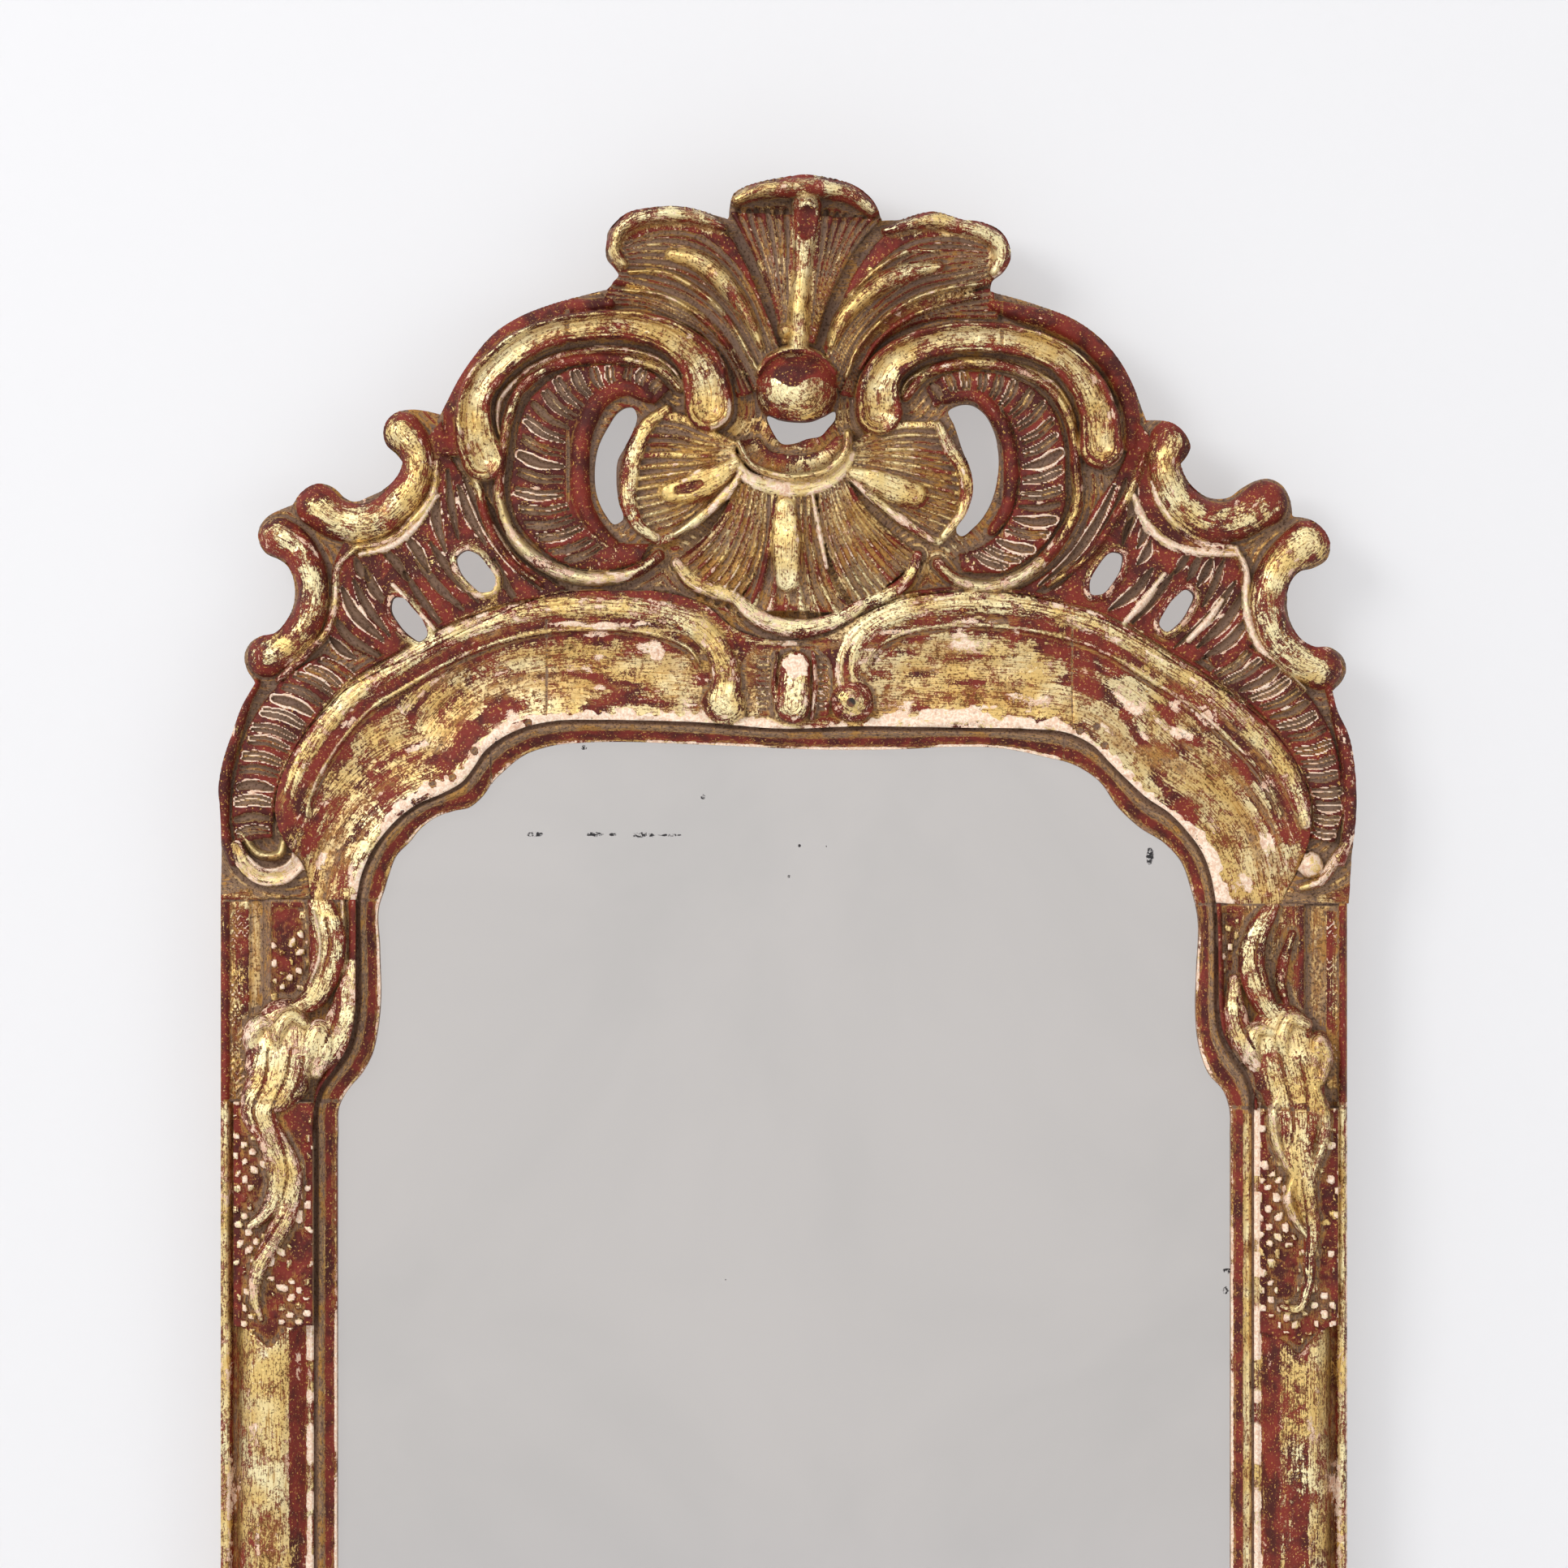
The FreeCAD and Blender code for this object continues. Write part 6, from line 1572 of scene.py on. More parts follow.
def lay_profile(s, offset, along):
    """The rail moulding: a table of height by distance from the outer edge, waved a little along the run as a
    hand plane leaves it. Its wear has tables of that distance too, and noise along the run."""
    wave = .18 * (run_noise(along / 60, 71) - .5) + .1 * (hash_noise(along / 9, offset / 12, 72) - .5)
    s.h[:] = np.interp(offset, PROFILE_AT, PROFILE_MM) + wave
    s.u[:], s.v[:] = along * MM, offset * MM
    s.red[:] = np.interp(offset, *PROFILE_RED)
    s.white[:] = np.interp(offset, *PROFILE_WHITE)
    s.dark[:] = np.interp(offset, *PROFILE_DARK)
    rubbed = hash_noise(along / 120, offset / 22, 73) * .6 + hash_noise(along / 45, offset / 9, 74) * .4
    cushion = (offset > CUSHION_FROM) & (offset < CUSHION_TO)
    s.red += .8 * np.clip(rubbed - .50, 0, 1) * cushion
    s.dark += .8 * np.clip(hash_noise(along / 60, offset / 14, 75) - .56, 0, 1) * cushion
    s.white += 1.4 * np.clip(hash_noise(along / 70, offset / 12, 76) - .66, 0, 1)
    s.white -= ((offset > LIP_FROM) & (run_noise(along / 26, 78) < .55)) * .55
    s.h += .14 * (hash_noise(along / 14, offset / 3, 77) - .5)


# The two sides. Each has its columns on the sheet, its outer edge and the way inward from it, the lines
# beside the strip, the foot of the arch and of the block, and the wear of the rail. The block's edge has
# tables of height and red by the distance from the outer edge, and a band between two such distances is
# set to a darkness: painted shade on the left, a darkened edge moulding on the right. Punches have a ring,
# pitch, height, lift and form.
LEFT_ROWS = [
    ([(440, 1110), (440, 1200), (438, 1250), (430, 1288), (414, 1318), (398, 1342), (394, 1362)],
     [9, 9, 9, 9, 9, 8, 6], 13, "flat", .85, .1),
    ([(424, 1112), (426, 1200), (421, 1250), (409, 1292), (392, 1325)], [4, 5, 5, 5, 3], 12.4, "ridge", .3,
     .4),
    ([(396, 1112), (404, 1140), (406, 1172), (400, 1205), (386, 1230), (368, 1242)], [16, 23, 24, 21, 17, 10],
     [13.5, 15.5, 16, 16, 15.5, 14], "flat", .34, .25),
    ([(390, 1122), (396, 1150), (396, 1180), (386, 1208)], [3, 5, 5, 3], 16.8, "ridge", .3, .5),
    ([(436, 1184), (431, 1232), (420, 1268), (404, 1296), (384, 1318)], [6, 17, 22, 20, 12],
     [13.5, 15.5, 16, 16, 15], "flat", .32, .36),
    ([(352, 1262), (350, 1292), (342, 1330), (322, 1368), (338, 1402), (349, 1440), (343, 1474), (326, 1497),
      (311, 1508)], [34, 46, 42, 27, 20, 20, 18, 12, 5], [15.5, 17.5, 18, 18.6, 19.4, 19.6, 19.6, 19.2, 18.4],
     "flat", .36, .36),
    ([(350, 1396), (364, 1446), (357, 1490), (338, 1528), (321, 1562), (317, 1596), (325, 1622)],
     [6, 12, 15, 15, 12, 9, 4], [18.6, 19.4, 19.4, 19.2, 19, 18.6, 18], "flat", .36, .36),
    ([(318, 1296), (316, 1274), (326, 1260), (340, 1264)], [12, 15, 15, 10], [16, 17, 17, 16.5], "roll", .3,
     .4),
    ([(345, 1300), (346, 1268), (362, 1250), (378, 1260)], [11, 15, 15, 10], [17, 18.4, 18.4, 17], "roll",
     .25, .3),
    ([(374, 1316), (384, 1290), (396, 1268), (402, 1290), (392, 1320)], [11, 15, 15, 14, 9],
     [17, 17.6, 17.6, 17], "flat", .3, .4),
]
LEFT_CUTS = [
    ([(362, 1290), (356, 1325), (340, 1364), (350, 1404), (358, 1440), (352, 1474)], [2, 4, 3, 3, 3, 2]),
    ([(334, 1290), (330, 1330), (316, 1366), (326, 1396)], [2, 4, 4, 2]),
    ([(378, 1300), (370, 1336), (362, 1352)], [2, 4, 2]),
    ([(404, 1130), (410, 1165), (400, 1200)], [2, 4, 2]),
    ([(386, 1136), (388, 1168), (378, 1200)], [2, 4, 2]),
    ([(352, 1496), (334, 1524), (318, 1548)], [2, 3, 2]),
    ([(420, 1210), (418, 1250), (400, 1290)], [2, 5, 2]),
]
RIGHT_ROWS = [
    ([(1498, 1112), (1500, 1200), (1503, 1250), (1510, 1288), (1524, 1316), (1538, 1340), (1545, 1362)],
     [5, 6, 6, 6, 6, 5, 4], 13, "roll", .8, .1),
    ([(1566, 1116), (1548, 1146), (1540, 1178), (1544, 1208), (1556, 1236), (1578, 1262)],
     [9, 15, 17, 17, 15, 9], [13.5, 15.5, 16, 16, 16, 15], "flat", .36, .2),
    ([(1590, 1150), (1580, 1180), (1576, 1210), (1584, 1240)], [5, 8, 8, 4], 13.5, "roll", .5, .2),
    ([(1519, 1206), (1520, 1244), (1530, 1280), (1548, 1308)], [7, 14, 17, 11], [13.5, 15.5, 16, 15.5],
     "flat", .3, .3),
    ([(1576, 1272), (1580, 1300), (1590, 1336), (1596, 1372), (1596, 1412), (1601, 1450), (1607, 1485),
      (1613, 1512), (1610, 1546), (1608, 1580), (1594, 1610), (1577, 1607)],
      [38, 46, 42, 34, 24, 20, 17, 13, 9, 8, 7, 6],
     [15.5, 17.5, 18, 18.6, 19.2, 19.6, 19.6, 19.4, 19.2, 19, 18.6, 18], "flat", .38, .2),
    ([(1552, 1318), (1538, 1290), (1546, 1268), (1564, 1270)], [12, 15, 15, 10], [16, 18, 18, 17], "roll", .3,
     .4),
    ([(1582, 1310), (1576, 1276), (1588, 1254), (1606, 1262)], [11, 15, 15, 10], [17, 18.6, 18.6, 17], "roll",
     .3, .3),
    ([(1610, 1326), (1618, 1300), (1622, 1280), (1630, 1300), (1624, 1330)], [9, 12, 12, 11, 8],
     [17, 18, 18, 17], "roll", .3, .3),
    ([(1574, 1340), (1566, 1370), (1568, 1400), (1580, 1430), (1592, 1452)], [8, 10, 10, 8, 4],
     [18, 19, 19.4, 19], "roll", .25, .35),
    ([(1618, 1340), (1628, 1372), (1626, 1404), (1616, 1436), (1610, 1460)], [8, 11, 11, 8, 4],
     [18, 19, 19.4, 19], "roll", .35, .2),
    ([(1590, 1446), (1584, 1474), (1594, 1502), (1606, 1520)], [7, 10, 9, 4], [19, 19.8, 19.6, 19], "roll",
     .25, .35),
]
RIGHT_CUTS = [
    ([(1572, 1296), (1582, 1336), (1590, 1372), (1588, 1406)], [2, 4, 4, 2]),
    ([(1598, 1300), (1606, 1340), (1608, 1380)], [2, 4, 2]),
    ([(1550, 1146), (1544, 1178), (1552, 1212)], [2, 4, 2]),
    ([(1600, 1450), (1606, 1490), (1608, 1530), (1606, 1570)], [1, 3, 2, 1]),
    ([(1522, 1228), (1528, 1262), (1542, 1290)], [2, 5, 2]),
]
SIDES = {
    "left": {
        "columns": (268, 480), "edge": EDGE_LEFT, "inward": 1, "lip": LIP_LEFT, "sight": SIGHT_LEFT,
        "foot": FOOT_Y, "block_foot": BLOCK_FOOT_Y, "lip_run": LIP_LEFT_RUN, "body_top": LIP_EDGE[0],
        "strip_top": LIP_EDGE[1], "strip_lip": LIP_LEFT_RUN + LIP_EDGE[1:3],
        "strip_sight": SIGHT_LEFT_RUN + SIGHT_ARCH_RUN[:6], "red": -.09, "cushion_red": 0,
        "edge_width": 57, "edge_mm": ([0, 2, 5, 9, 12, 33, 36, 50, 57],
                                      [7.6, 9, 9.8, 9.2, 8.4, 8.2, 7.0, 6.8, 9]),
        "edge_red": ([0, 3, 9, 14, 30, 34, 57], [.8, .5, .9, .5, .3, .15, .4]), "dirt_and_shade": (51, 63, .9),
        "punches": [([(285, 1120), (309, 1120), (309, 1352), (285, 1352)], 10, 8.0, .9, "zigzag"),
                    ([(337, 1118), (376, 1118), (384, 1180), (376, 1246), (337, 1246)], 16, 8.6, 1.6,
                     "lozenge")],
        "ground_foot": [(388, 1630), (372, 1632), (352, 1640), (336, 1656), (318, 1641), (302, 1633),
                        (290, 1631)],
        "ground_top": 1357, "rows": LEFT_ROWS, "cuts": LEFT_CUTS,
    },
    "right": {
        "columns": (1462, 1668), "edge": EDGE_RIGHT, "inward": -1, "lip": LIP_RIGHT, "sight": SIGHT_RIGHT,
        "foot": FOOT_Y + RIGHT_FOOT_DROP, "block_foot": BLOCK_FOOT_Y + RIGHT_BLOCK_DROP,
        "lip_run": LIP_RIGHT_RUN, "body_top": LIP_EDGE[-1], "strip_top": LIP_EDGE[-2],
        "strip_lip": LIP_EDGE[-3:-1] + LIP_RIGHT_RUN, "strip_sight": SIGHT_ARCH_RUN[-4:] + SIGHT_RIGHT_RUN,
        "red": -.04, "cushion_red": .30, "edge_width": 54, "edge_mm": ([0, 2, 5, 9, 12, 40, 46, 50, 54],
                                                                       [7.6, 9, 9.8, 9.2, 7.2, 7.0, 6.8, 6.6,
                                                                        9]),
        "edge_red": ([0, 3, 9, 14, 57], [.8, .7, .6, .45, .4]), "dirt_and_shade": (-20, 54, .6),
        "punches": [([(1632, 1122), (1646, 1122), (1646, 1340), (1632, 1340)], 10, 7.6, .9, "zigzag"),
                    ([(1503, 1124), (1524, 1124), (1524, 1212), (1503, 1212)], 15, 8.8, 1.6, "lozenge")],
        "ground_foot": [(1550, 1640), (1562, 1642), (1580, 1650), (1596, 1664), (1612, 1648), (1630, 1634),
                        (1646, 1630)],
        "ground_top": 1365, "rows": RIGHT_ROWS, "cuts": RIGHT_CUTS,
    },
}
ORNAMENT_FOOT_Y, BODY_TOP_Y, SIGHT_TOP_Y = 1700, 1000, 990
MITRE_ROWS, ROW_BEYOND = 150, 6
BLOCK_WIDTH, BLOCK_MM = 196, 9.6
RUBBED_FROM, RUBBED_TO = 50, 98
GOLD_FROM, GOLD_TO = .10, .45


def side_rows():
    """Rows of a side's sheet: fine down to the ornament's foot, coarse along the rail, finer again at the
    mitre."""
    mitre = BOTTOM_Y - MITRE_ROWS
    return np.concatenate([np.arange(FOOT_Y - 8, ORNAMENT_FOOT_Y, STEP),
                           np.arange(ORNAMENT_FOOT_Y, mitre, 7.0),
                           np.arange(mitre, BOTTOM_Y + ROW_BEYOND, 2.4)])


def carve_block(s, side, offset):
    """A shoulder block: a flat ground with a moulded edge, punched fields, and acanthus that hangs over the
    rail."""
    block = s.Y < BLOCK_FOOT_Y
    s.paint(block & (offset <= BLOCK_WIDTH), h=BLOCK_MM + .5 * (hash_noise(s.X / 15, s.Y / 25, 91) - .5),
            red=.55, white=.08, dark=.45)
    s.paint(block & (offset < side["edge_width"]), h=np.interp(offset, *side["edge_mm"]),
            red=np.interp(offset, *side["edge_red"]))
    # Painted shade on the left: a dark band between two distances from the outer edge, where shade falls beside the
    # edge moulding. On the right the same setting darkens the edge moulding.
    dirt_and_shade_from, dirt_and_shade_to, dirt_and_shade = side["dirt_and_shade"]
    s.dark[block & (offset > dirt_and_shade_from) & (offset < dirt_and_shade_to)] = dirt_and_shade
    for ring, pitch, low, lift, form in side["punches"]:
        punch(s, ring, pitch, low, lift, form)
    foot, top = side["ground_foot"], side["ground_top"]
    upper_sides = dense([foot[-1], (foot[-1][0], top), (foot[0][0], top), foot[0]])[:-1]
    punch(s, np.vstack([smooth_line(foot), upper_sides]), 15.5, 14.2, 1.5)
    lay_rows(s, side["rows"])
    for line, widths in side["cuts"]:
        gouge(s, line, np.array(widths) * .7, .7, red=.75, dark=.3, rim_white=.3)


def side_sheet(name):
    """One side of the frame from the foot of the arch to the mitre: the rail's moulding, the block and the
    strip."""
    side = SIDES[name]
    s = Sheet(np.arange(*side["columns"], STEP), side_rows())
    offset = (s.X - side["edge"]) * side["inward"]
    lay_profile(s, offset, s.Y)
    s.dark -= .12
    s.red += side["cushion_red"] * ((offset > RUBBED_FROM) & (offset < RUBBED_TO)) + side["red"]
    carve_block(s, side, offset)
    lay_strip(s, side["strip_lip"], side["strip_sight"])
    if name == "right":
        share = (LIP_RIGHT - s.X) / (LIP_RIGHT - SIGHT_RIGHT)
        s.paint((s.Y > GOLD_TOP_Y) & (share > GOLD_FROM) & (share < GOLD_TO), red=-.1, white=0, dark=0)
    return s


def side_outlines(name):
    """Outlines of one side: the block with the rail below it, and the strip beside them."""
    side, left = SIDES[name], name == "left"
    lip, sight = smooth_line(side["lip_run"]), smooth_line(SIGHT_EDGE)
    lip = lip[lip[:, 1] < BOTTOM_LIP_Y]
    sight = sight[(sight[:, 0] - MIDDLE_X) * side["inward"] < 0]
    sight = sight[(sight[:, 1] > SIGHT_TOP_Y) & (sight[:, 1] < BOTTOM_SIGHT_Y)]
    down, up = (lip[::-1], sight) if left else (lip, sight[::-1])
    corner, edge = (side["lip"], BOTTOM_LIP_Y), side["edge"]
    body = np.vstack([[(side["body_top"][0], BODY_TOP_Y)], down,
                      [corner, (edge, BOTTOM_Y), (edge, BODY_TOP_Y)]])
    strip = np.vstack([[side["strip_top"]], down, [corner, (side["sight"], BOTTOM_SIGHT_Y)], up])
    return body, strip[::-1] if left else strip


BOTTOM_LEFT, BOTTOM_RIGHT = 262, 1672
BOTTOM_STEP, BOTTOM_ROW = 2.2, 1.8
SHIELD_HALF, SHIELD_REACH = 122, 84


def bottom_sheet():
    """The bottom rail: the side rails' moulding, mitred at both ends, and its strip."""
    s = Sheet(np.arange(BOTTOM_LEFT, BOTTOM_RIGHT, BOTTOM_STEP),
              np.arange(BOTTOM_SIGHT_Y - 10, LOW_Y + ROW_BEYOND, BOTTOM_ROW))
    offset = np.minimum(np.minimum(s.X - EDGE_LEFT, EDGE_RIGHT - s.X), BOTTOM_Y - s.Y)
    lay_profile(s, np.maximum(offset, 0), s.X)
    t = (BOTTOM_LIP_Y - s.Y) / (BOTTOM_LIP_Y - BOTTOM_SIGHT_Y)
    strip_section(s, s.Y < BOTTOM_LIP_Y, t, s.X)
    return s


def both(points):
    """A line of the bottom's ornament and its mirror image. The line is given from the middle of the
    photograph."""
    return [(MIDDLE_X - x, y) for x, y in points], [(MIDDLE_X + x, y) for x, y in points]


def carve_cartouche(s):
    """Centre of the bottom rail: a low swell, 9 + 4.5 * (1 - r^2), under a fan held between two scrolls."""
    top, foot = BOTTOM_LIP_Y, LOW_Y
    away = np.abs(s.X - MIDDLE_X)
    r = np.hypot((s.X - MIDDLE_X) / SHIELD_HALF, (s.Y - (top + foot) / 2) / SHIELD_REACH)
    s.paint((away < SHIELD_HALF) & (s.Y > top), h=9 + 4.5 * np.clip(1 - r * r, 0, 1), red=.55, white=.1,
            dark=.55)
    band(s, *both([(8, foot - 34), (36, foot - 70), (60, top + 34)]), 12.5, 12.5, 1.5, red=.6, dark=.5)
    fan(s, *both([(10, foot - 40), (36, foot - 74), (58, top + 36)]), 9, 1.5, seed=71)
    brow = [(904, top + 34), (930, top + 20), (966, top + 15), (1002, top + 20), (1028, top + 34)]
    raised(s, brow, [6, 9, 10, 9, 6], 15, 9, red=.2, white=.5)
    for line in both([(104, top + 14), (110, top + 40), (94, top + 72), (61, top + 100), (20, foot - 22)]):
        raised(s, line, [9, 13, 14, 13, 8], [14, 15.5, 16, 16, 14], 8, "scroll", red=.2, white=.15, lines=5)
    for line in both([(82, top + 30), (76, top + 56), (54, top + 84), (22, foot - 44)]):
        raised(s, line, [5, 6, 6, 4], 14, 9, "ridge", red=.4, white=.4)
    for (curl,) in both([(98, top + 22)]):
        ball(s, curl, 16, 16.5, 9, red=.2, white=.15)
    ball(s, (MIDDLE_X, foot - 26), 17, 16.5, 9, red=.3, white=.1)


@functools.cache
def upper():
    """The upper sheet with the distances to the crest's and the arch's outline, worked out once."""
    s = upper_sheet()
    arch_line, lip = smooth_line(ARCH_OUTER, 2.0), smooth_line(LIP_EDGE, 2.0)
    crest = s.signed(np.vstack([chain(CREST_EDGE), arch_line[::-1]]))
    for hole in LARGE_HOLES + OVAL_HOLES:
        crest = np.maximum(crest, -s.signed(smooth_line(hole, 2.0, closed=True)[:-1]))
    return s, crest, s.signed(np.vstack([arch_line, lip[::-1]]))


# ---- the add-on
CREST_LEFT_JOINT, CREST_RIGHT_JOINT, CREST_STEP_Y = 700, 1233, 350
ARCH_JOINTS = (675, 1320)
STRIP_JOINTS = (605, 1310)
ARCH_FACE = {"soften": 1.2, "depth": .5, "edge_wear": .1}
STRIP_FACE = {"soften": 1.2, "depth": .4, "edge_wear": .1}
BLOCK_FACE = {"soften": 1.5, "depth": .7}
BOTTOM_FACE = {"soften": 1.5, "depth": .5, "edge_wear": .1}
CARTOUCHE_FACE = {"soften": 3, "depth": 2}


def three_pieces(stem, s, outline, left_joint, right_joint, **face):
    """One form in its three glued pieces. Each joint is a distance field, positive to the right of it."""
    for name, limits in (("left", (left_joint,)), ("centre", (-left_joint, right_joint)),
                         ("right", (-right_joint,))):
        foot = SIDES[name]["foot"] if name == "right" else FOOT_Y
        relief_piece(stem + name, s, outline, (s.Y - foot,) + limits, **face)


def colour_field(name, description, text):
    """A colour that the panel shows."""
    return bpy.props.FloatVectorProperty(name=name, description=description, subtype="COLOR", size=4,
                                         default=tone(text))


class MirrorLook(bpy.types.PropertyGroup):
    leaf: colour_field("Gold leaf", "Colour of sound leaf", "E6C67E")
    pale_leaf: colour_field("Rubbed leaf", "Colour of leaf burnished by handling", "F8EAB8")
    bole: colour_field("Bole", "Colour of the red clay under the leaf", "78261A")
    gesso: colour_field("Gesso", "Colour of the chalk ground on rubbed edges", "F6E4CF")
    wall: colour_field("Wall", "Colour of the wall and the floor", "ECECEE")
    wall_glow: bpy.props.FloatProperty(
        name="Wall glow", description="Share of the wall that shines plain white in the picture", default=.50,
        min=0.0, max=1.0, subtype="FACTOR")
    distance: bpy.props.FloatProperty(
        name="Camera distance", description="From the wall to the camera", default=3.0, min=1.0,
        unit="LENGTH")
    key_power: bpy.props.FloatProperty(
        name="Key light", description="Power of the main lamp", default=26.0, min=0.0, unit="POWER")
    fill_power: bpy.props.FloatProperty(
        name="Fill light", description="Power of the weaker lamp", default=9.0, min=0.0, unit="POWER")


class MIRROR_OT_finishes(bpy.types.Operator):
    """Makes the gilding, wood, iron and looking glass finishes"""
    bl_idname = "mirror.finishes"
    bl_label = "Finishes"

    def execute(self, context):
        gilding(context.scene.mirror_look)
        pine("back_wood", upright=True)
        pine("cross_wood", upright=False)
        iron()
        mirror()
        return {"FINISHED"}


class MIRROR_OT_crest(bpy.types.Operator):
    """Carves the pierced crest in its three glued boards"""
    bl_idname = "mirror.crest"
    bl_label = "Crest"

    def execute(self, context):
        s, crest, _ = upper()
        right_joint = np.minimum(s.X - CREST_RIGHT_JOINT, s.Y - CREST_STEP_Y)
        three_pieces("crest_", s, crest, s.X - CREST_LEFT_JOINT, right_joint)
        return {"FINISHED"}


class MIRROR_OT_arch(bpy.types.Operator):
    """Carves the arch moulding and the sight strip under it"""
    bl_idname = "mirror.arch"
    bl_label = "Arch"

    def execute(self, context):
        s, _, arch = upper()
        three_pieces("arch_", s, arch, *(s.X - joint for joint in ARCH_JOINTS), **ARCH_FACE)
        lay_strip(s, LIP_EDGE, SIGHT_ARCH_RUN)
        strip = s.signed(np.vstack([smooth_line(LIP_EDGE, 2.0), smooth_line(SIGHT_EDGE)[::-1]]))
        three_pieces("sight_strip_arch_", s, strip, *(s.X - joint for joint in STRIP_JOINTS), **STRIP_FACE)
        return {"FINISHED"}


class MIRROR_OT_sides(bpy.types.Operator):
    """Carves the shoulder blocks, the side rails and their sight strips"""
    bl_idname = "mirror.sides"
    bl_label = "Sides"

    def execute(self, context):
        for name, side in SIDES.items():
            s = side_sheet(name)
            body, strip = (s.signed(outline) for outline in side_outlines(name))
            block_limits, rail_limits = (side["foot"] - s.Y,
                                         s.Y - side["block_foot"]), (side["block_foot"] - s.Y,)
            relief_piece("shoulder_block_" + name, s, body, block_limits, **BLOCK_FACE)
            relief_piece("stile_moulding_" + name, s, body, rail_limits, **BLOCK_FACE)
            relief_piece("sight_strip_shoulder_" + name, s, strip, block_limits, **STRIP_FACE)
            relief_piece("sight_strip_stile_" + name, s, strip, rail_limits, **STRIP_FACE)
        return {"FINISHED"}


class MIRROR_OT_bottom(bpy.types.Operator):
    """Runs the bottom rail's moulding and carves the ornament in its middle"""
    bl_idname = "mirror.bottom"
    bl_label = "Bottom rail"

    def execute(self, context):
        s = bottom_sheet()
        low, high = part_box("bottom_cartouche")
        half = (high[0] - low[0]) * 500 / MM
        near, far = MIDDLE_X - half, MIDDLE_X + half
        lip_left, lip_right = (LIP_LEFT, BOTTOM_LIP_Y), (LIP_RIGHT, BOTTOM_LIP_Y)
        for name, ring in (
                ("bottom_moulding_left", [(EDGE_LEFT, BOTTOM_Y), (near, BOTTOM_Y), (near, BOTTOM_LIP_Y),
                                          lip_left]),
                ("bottom_moulding_right", [(EDGE_RIGHT, BOTTOM_Y), (far, BOTTOM_Y), (far, BOTTOM_LIP_Y),
                                           lip_right]),
                ("sight_strip_bottom", [lip_left, lip_right, (SIGHT_RIGHT, BOTTOM_SIGHT_Y),
                                        (SIGHT_LEFT, BOTTOM_SIGHT_Y)])):
            relief_piece(name, s, s.signed(dense(ring)), **BOTTOM_FACE)
        carve_cartouche(s)
        sweep = np.linspace(-1, 1, 60)
        arc = np.column_stack([MIDDLE_X + half * sweep, BOTTOM_Y + (LOW_Y - BOTTOM_Y) * (1 - sweep**2)])
        ring = np.vstack([arc, [(far, BOTTOM_LIP_Y), (near, BOTTOM_LIP_Y)]])
        relief_piece("bottom_cartouche", s, s.signed(dense(ring)), **CARTOUCHE_FACE)
        return {"FINISHED"}


IRON_WORDS = ("nail", "ring", "staple", "pin")
CROSS_WORDS = ("rail", "backboard", "crest_cross_batten")


class MIRROR_OT_carcass(bpy.types.Operator):
    """Gives the pine carcass, the backboards, the iron and the plate their finishes"""
    bl_idname = "mirror.carcass"
    bl_label = "Carcass and plate"

    def execute(self, context):
        for name, node in frame["nodes"].items():
            if name == "mirror_plate":
                finish = "silvered_glass"
            elif any(word in name for word in IRON_WORDS):
                finish = "forged_iron"
            elif any(word in name for word in CROSS_WORDS):
                finish = "cross_wood"
            else:
                finish = "back_wood"
            if node.get("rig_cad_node") and not node.hide_render:
                node.data.materials.clear()
                node.data.materials.append(bpy.data.materials[finish])
        return {"FINISHED"}


ROOM_M, ROOM_TOP_M = 12, 9
WALL_M = .0005
FLOOR_DROP_M = .75
KEY_SPOT, KEY_SIZE = (-1.35, -1.7, .95), .9
FILL_SPOT, FILL_SIZE = (1.9, -1.9, -.1), 1.4
SKY_TOWARD, SKY_COLOUR = (-.62, -.30, .72), (1, .99, .985, 1)
SKY_RANGE = {"From Min": -1.0, "From Max": 1.0, "To Min": .22, "To Max": 1.12}
SENSOR_MM = 36


def add_plane(name, corners, look):
    """A plain quad of the room."""
    mesh = make_mesh(name, np.array(corners, float), [np.array([[0, 1, 2, 3]])])
    mesh.materials.append(plaster(name + "_paint", look))
    plane = bpy.data.objects.new(name, mesh)
    bpy.context.scene.collection.objects.link(plane)


def add_lamp(name, spot, size, power, middle):
    """A square lamp that faces the middle of the picture from a spot beside it."""
    lamp = bpy.data.lights.new(name, "AREA")
    lamp.shape, lamp.size, lamp.energy = "SQUARE", size, power
    holder = bpy.data.objects.new(name, lamp)
    bpy.context.scene.collection.objects.link(holder)
    holder.location = Vector(spot) + middle
    holder.rotation_euler = (-Vector(spot)).to_track_quat("-Z", "Y").to_euler()


def add_sky(scene):
    """Soft light from all round, stronger towards the upper left by the dot product with that direction."""
    world = bpy.data.worlds.new("room")
    scene.world = world
    world.use_nodes = True
    sky = world.node_tree
    back = sky.nodes["Background"]
    spot, toward, shade = (sky.nodes.new("ShaderNode" + kind) for kind in ("TexCoord", "VectorMath",
                                                                           "MapRange"))
    toward.operation = "DOT_PRODUCT"
    toward.inputs[1].default_value = SKY_TOWARD
    sky.links.new(spot.outputs["Generated"], toward.inputs[0])
    sky.links.new(toward.outputs["Value"], shade.inputs["Value"])
    for key, value in SKY_RANGE.items():
        shade.inputs[key].default_value = value
    sky.links.new(shade.outputs["Result"], back.inputs["Strength"])
    back.inputs["Color"].default_value = SKY_COLOUR


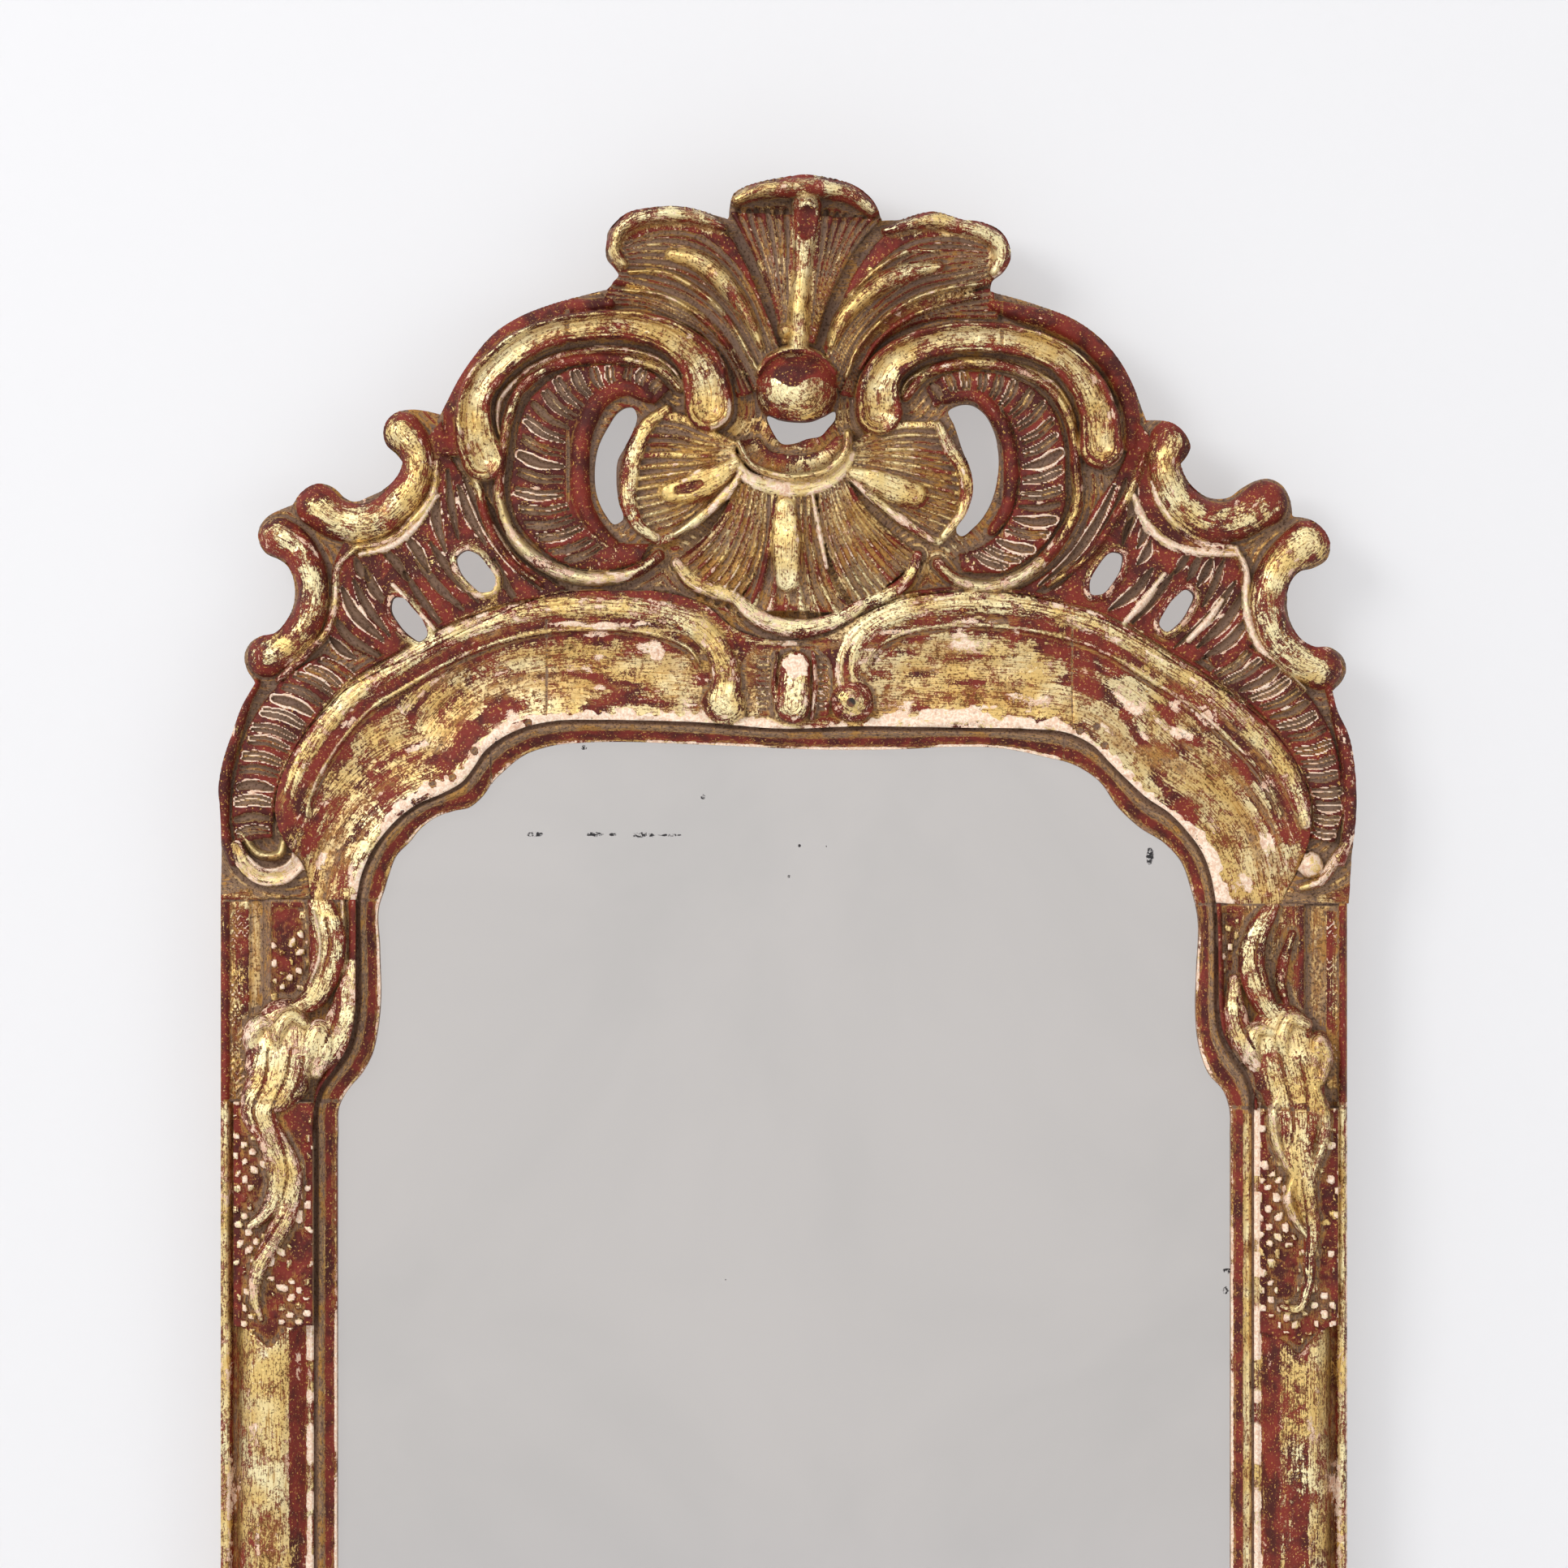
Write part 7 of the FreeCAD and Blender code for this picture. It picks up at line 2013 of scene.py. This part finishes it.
def add_camera(scene, middle, distance):
    """The camera faces the wall. Its lens is as long as makes the photograph's width fill the picture at the
    frame's front."""
    lens = bpy.data.cameras.new("camera")
    width = PHOTO_SIDE * MM / 1000
    lens.sensor_width, lens.lens = SENSOR_MM, SENSOR_MM * (distance + FRONT_MM / 1000) / width
    camera = bpy.data.objects.new("camera", lens)
    scene.collection.objects.link(camera)
    camera.location = middle + Vector((0, -distance, 0))
    camera.rotation_euler = (math.pi / 2, 0, 0)
    scene.camera = camera
    scene.view_settings.view_transform = "Standard"


class MIRROR_OT_stage(bpy.types.Operator):
    """Puts up the wall, the floor, the lamps and the camera"""
    bl_idname = "mirror.stage"
    bl_label = "Stage"

    def execute(self, context):
        look = context.scene.mirror_look
        floor = CAD_BOX[0][2] - FLOOR_DROP_M
        add_plane("wall", [(-ROOM_M, WALL_M, floor), (ROOM_M, WALL_M, floor), (ROOM_M, WALL_M, ROOM_TOP_M),
                           (-ROOM_M, WALL_M, ROOM_TOP_M)], look)
        add_plane("floor", [(-ROOM_M, -ROOM_M, floor), (ROOM_M, -ROOM_M, floor), (ROOM_M, WALL_M, floor),
                            (-ROOM_M, WALL_M, floor)], look)
        middle = Vector((0, 0, (RING_Z_MM + (RING_Y - PHOTO_SIDE / 2) * MM) / 1000))
        add_lamp("key", KEY_SPOT, KEY_SIZE, look.key_power, middle)
        add_lamp("fill", FILL_SPOT, FILL_SIZE, look.fill_power, middle)
        add_sky(context.scene)
        add_camera(context.scene, middle, look.distance)
        return {"FINISHED"}


OPERATORS = (MIRROR_OT_finishes, MIRROR_OT_crest, MIRROR_OT_arch, MIRROR_OT_sides, MIRROR_OT_bottom,
             MIRROR_OT_carcass, MIRROR_OT_stage)


class MIRROR_PT_panel(bpy.types.Panel):
    """Lists the steps that build the mirror"""
    bl_idname = "MIRROR_PT_panel"
    bl_label = "Rococo mirror"
    bl_space_type = "VIEW_3D"
    bl_region_type = "UI"
    bl_category = "Mirror"

    def draw(self, context):
        look = context.scene.mirror_look
        for field in MirrorLook.__annotations__:
            self.layout.prop(look, field)
        for operator in OPERATORS:
            self.layout.operator(operator.bl_idname)


CLASSES = (MirrorLook,) + OPERATORS + (MIRROR_PT_panel,)


def register():
    for cls in CLASSES:
        bpy.utils.register_class(cls)
    bpy.types.Scene.mirror_look = bpy.props.PointerProperty(type=MirrorLook)


def unregister():
    del bpy.types.Scene.mirror_look
    for cls in reversed(CLASSES):
        bpy.utils.unregister_class(cls)


def main():
    register()
    bpy.ops.mirror.finishes()
    bpy.ops.mirror.crest()
    bpy.ops.mirror.arch()
    bpy.ops.mirror.sides()
    bpy.ops.mirror.bottom()
    bpy.ops.mirror.carcass()
    bpy.ops.mirror.stage()


if __name__ == "__main__":
    main()
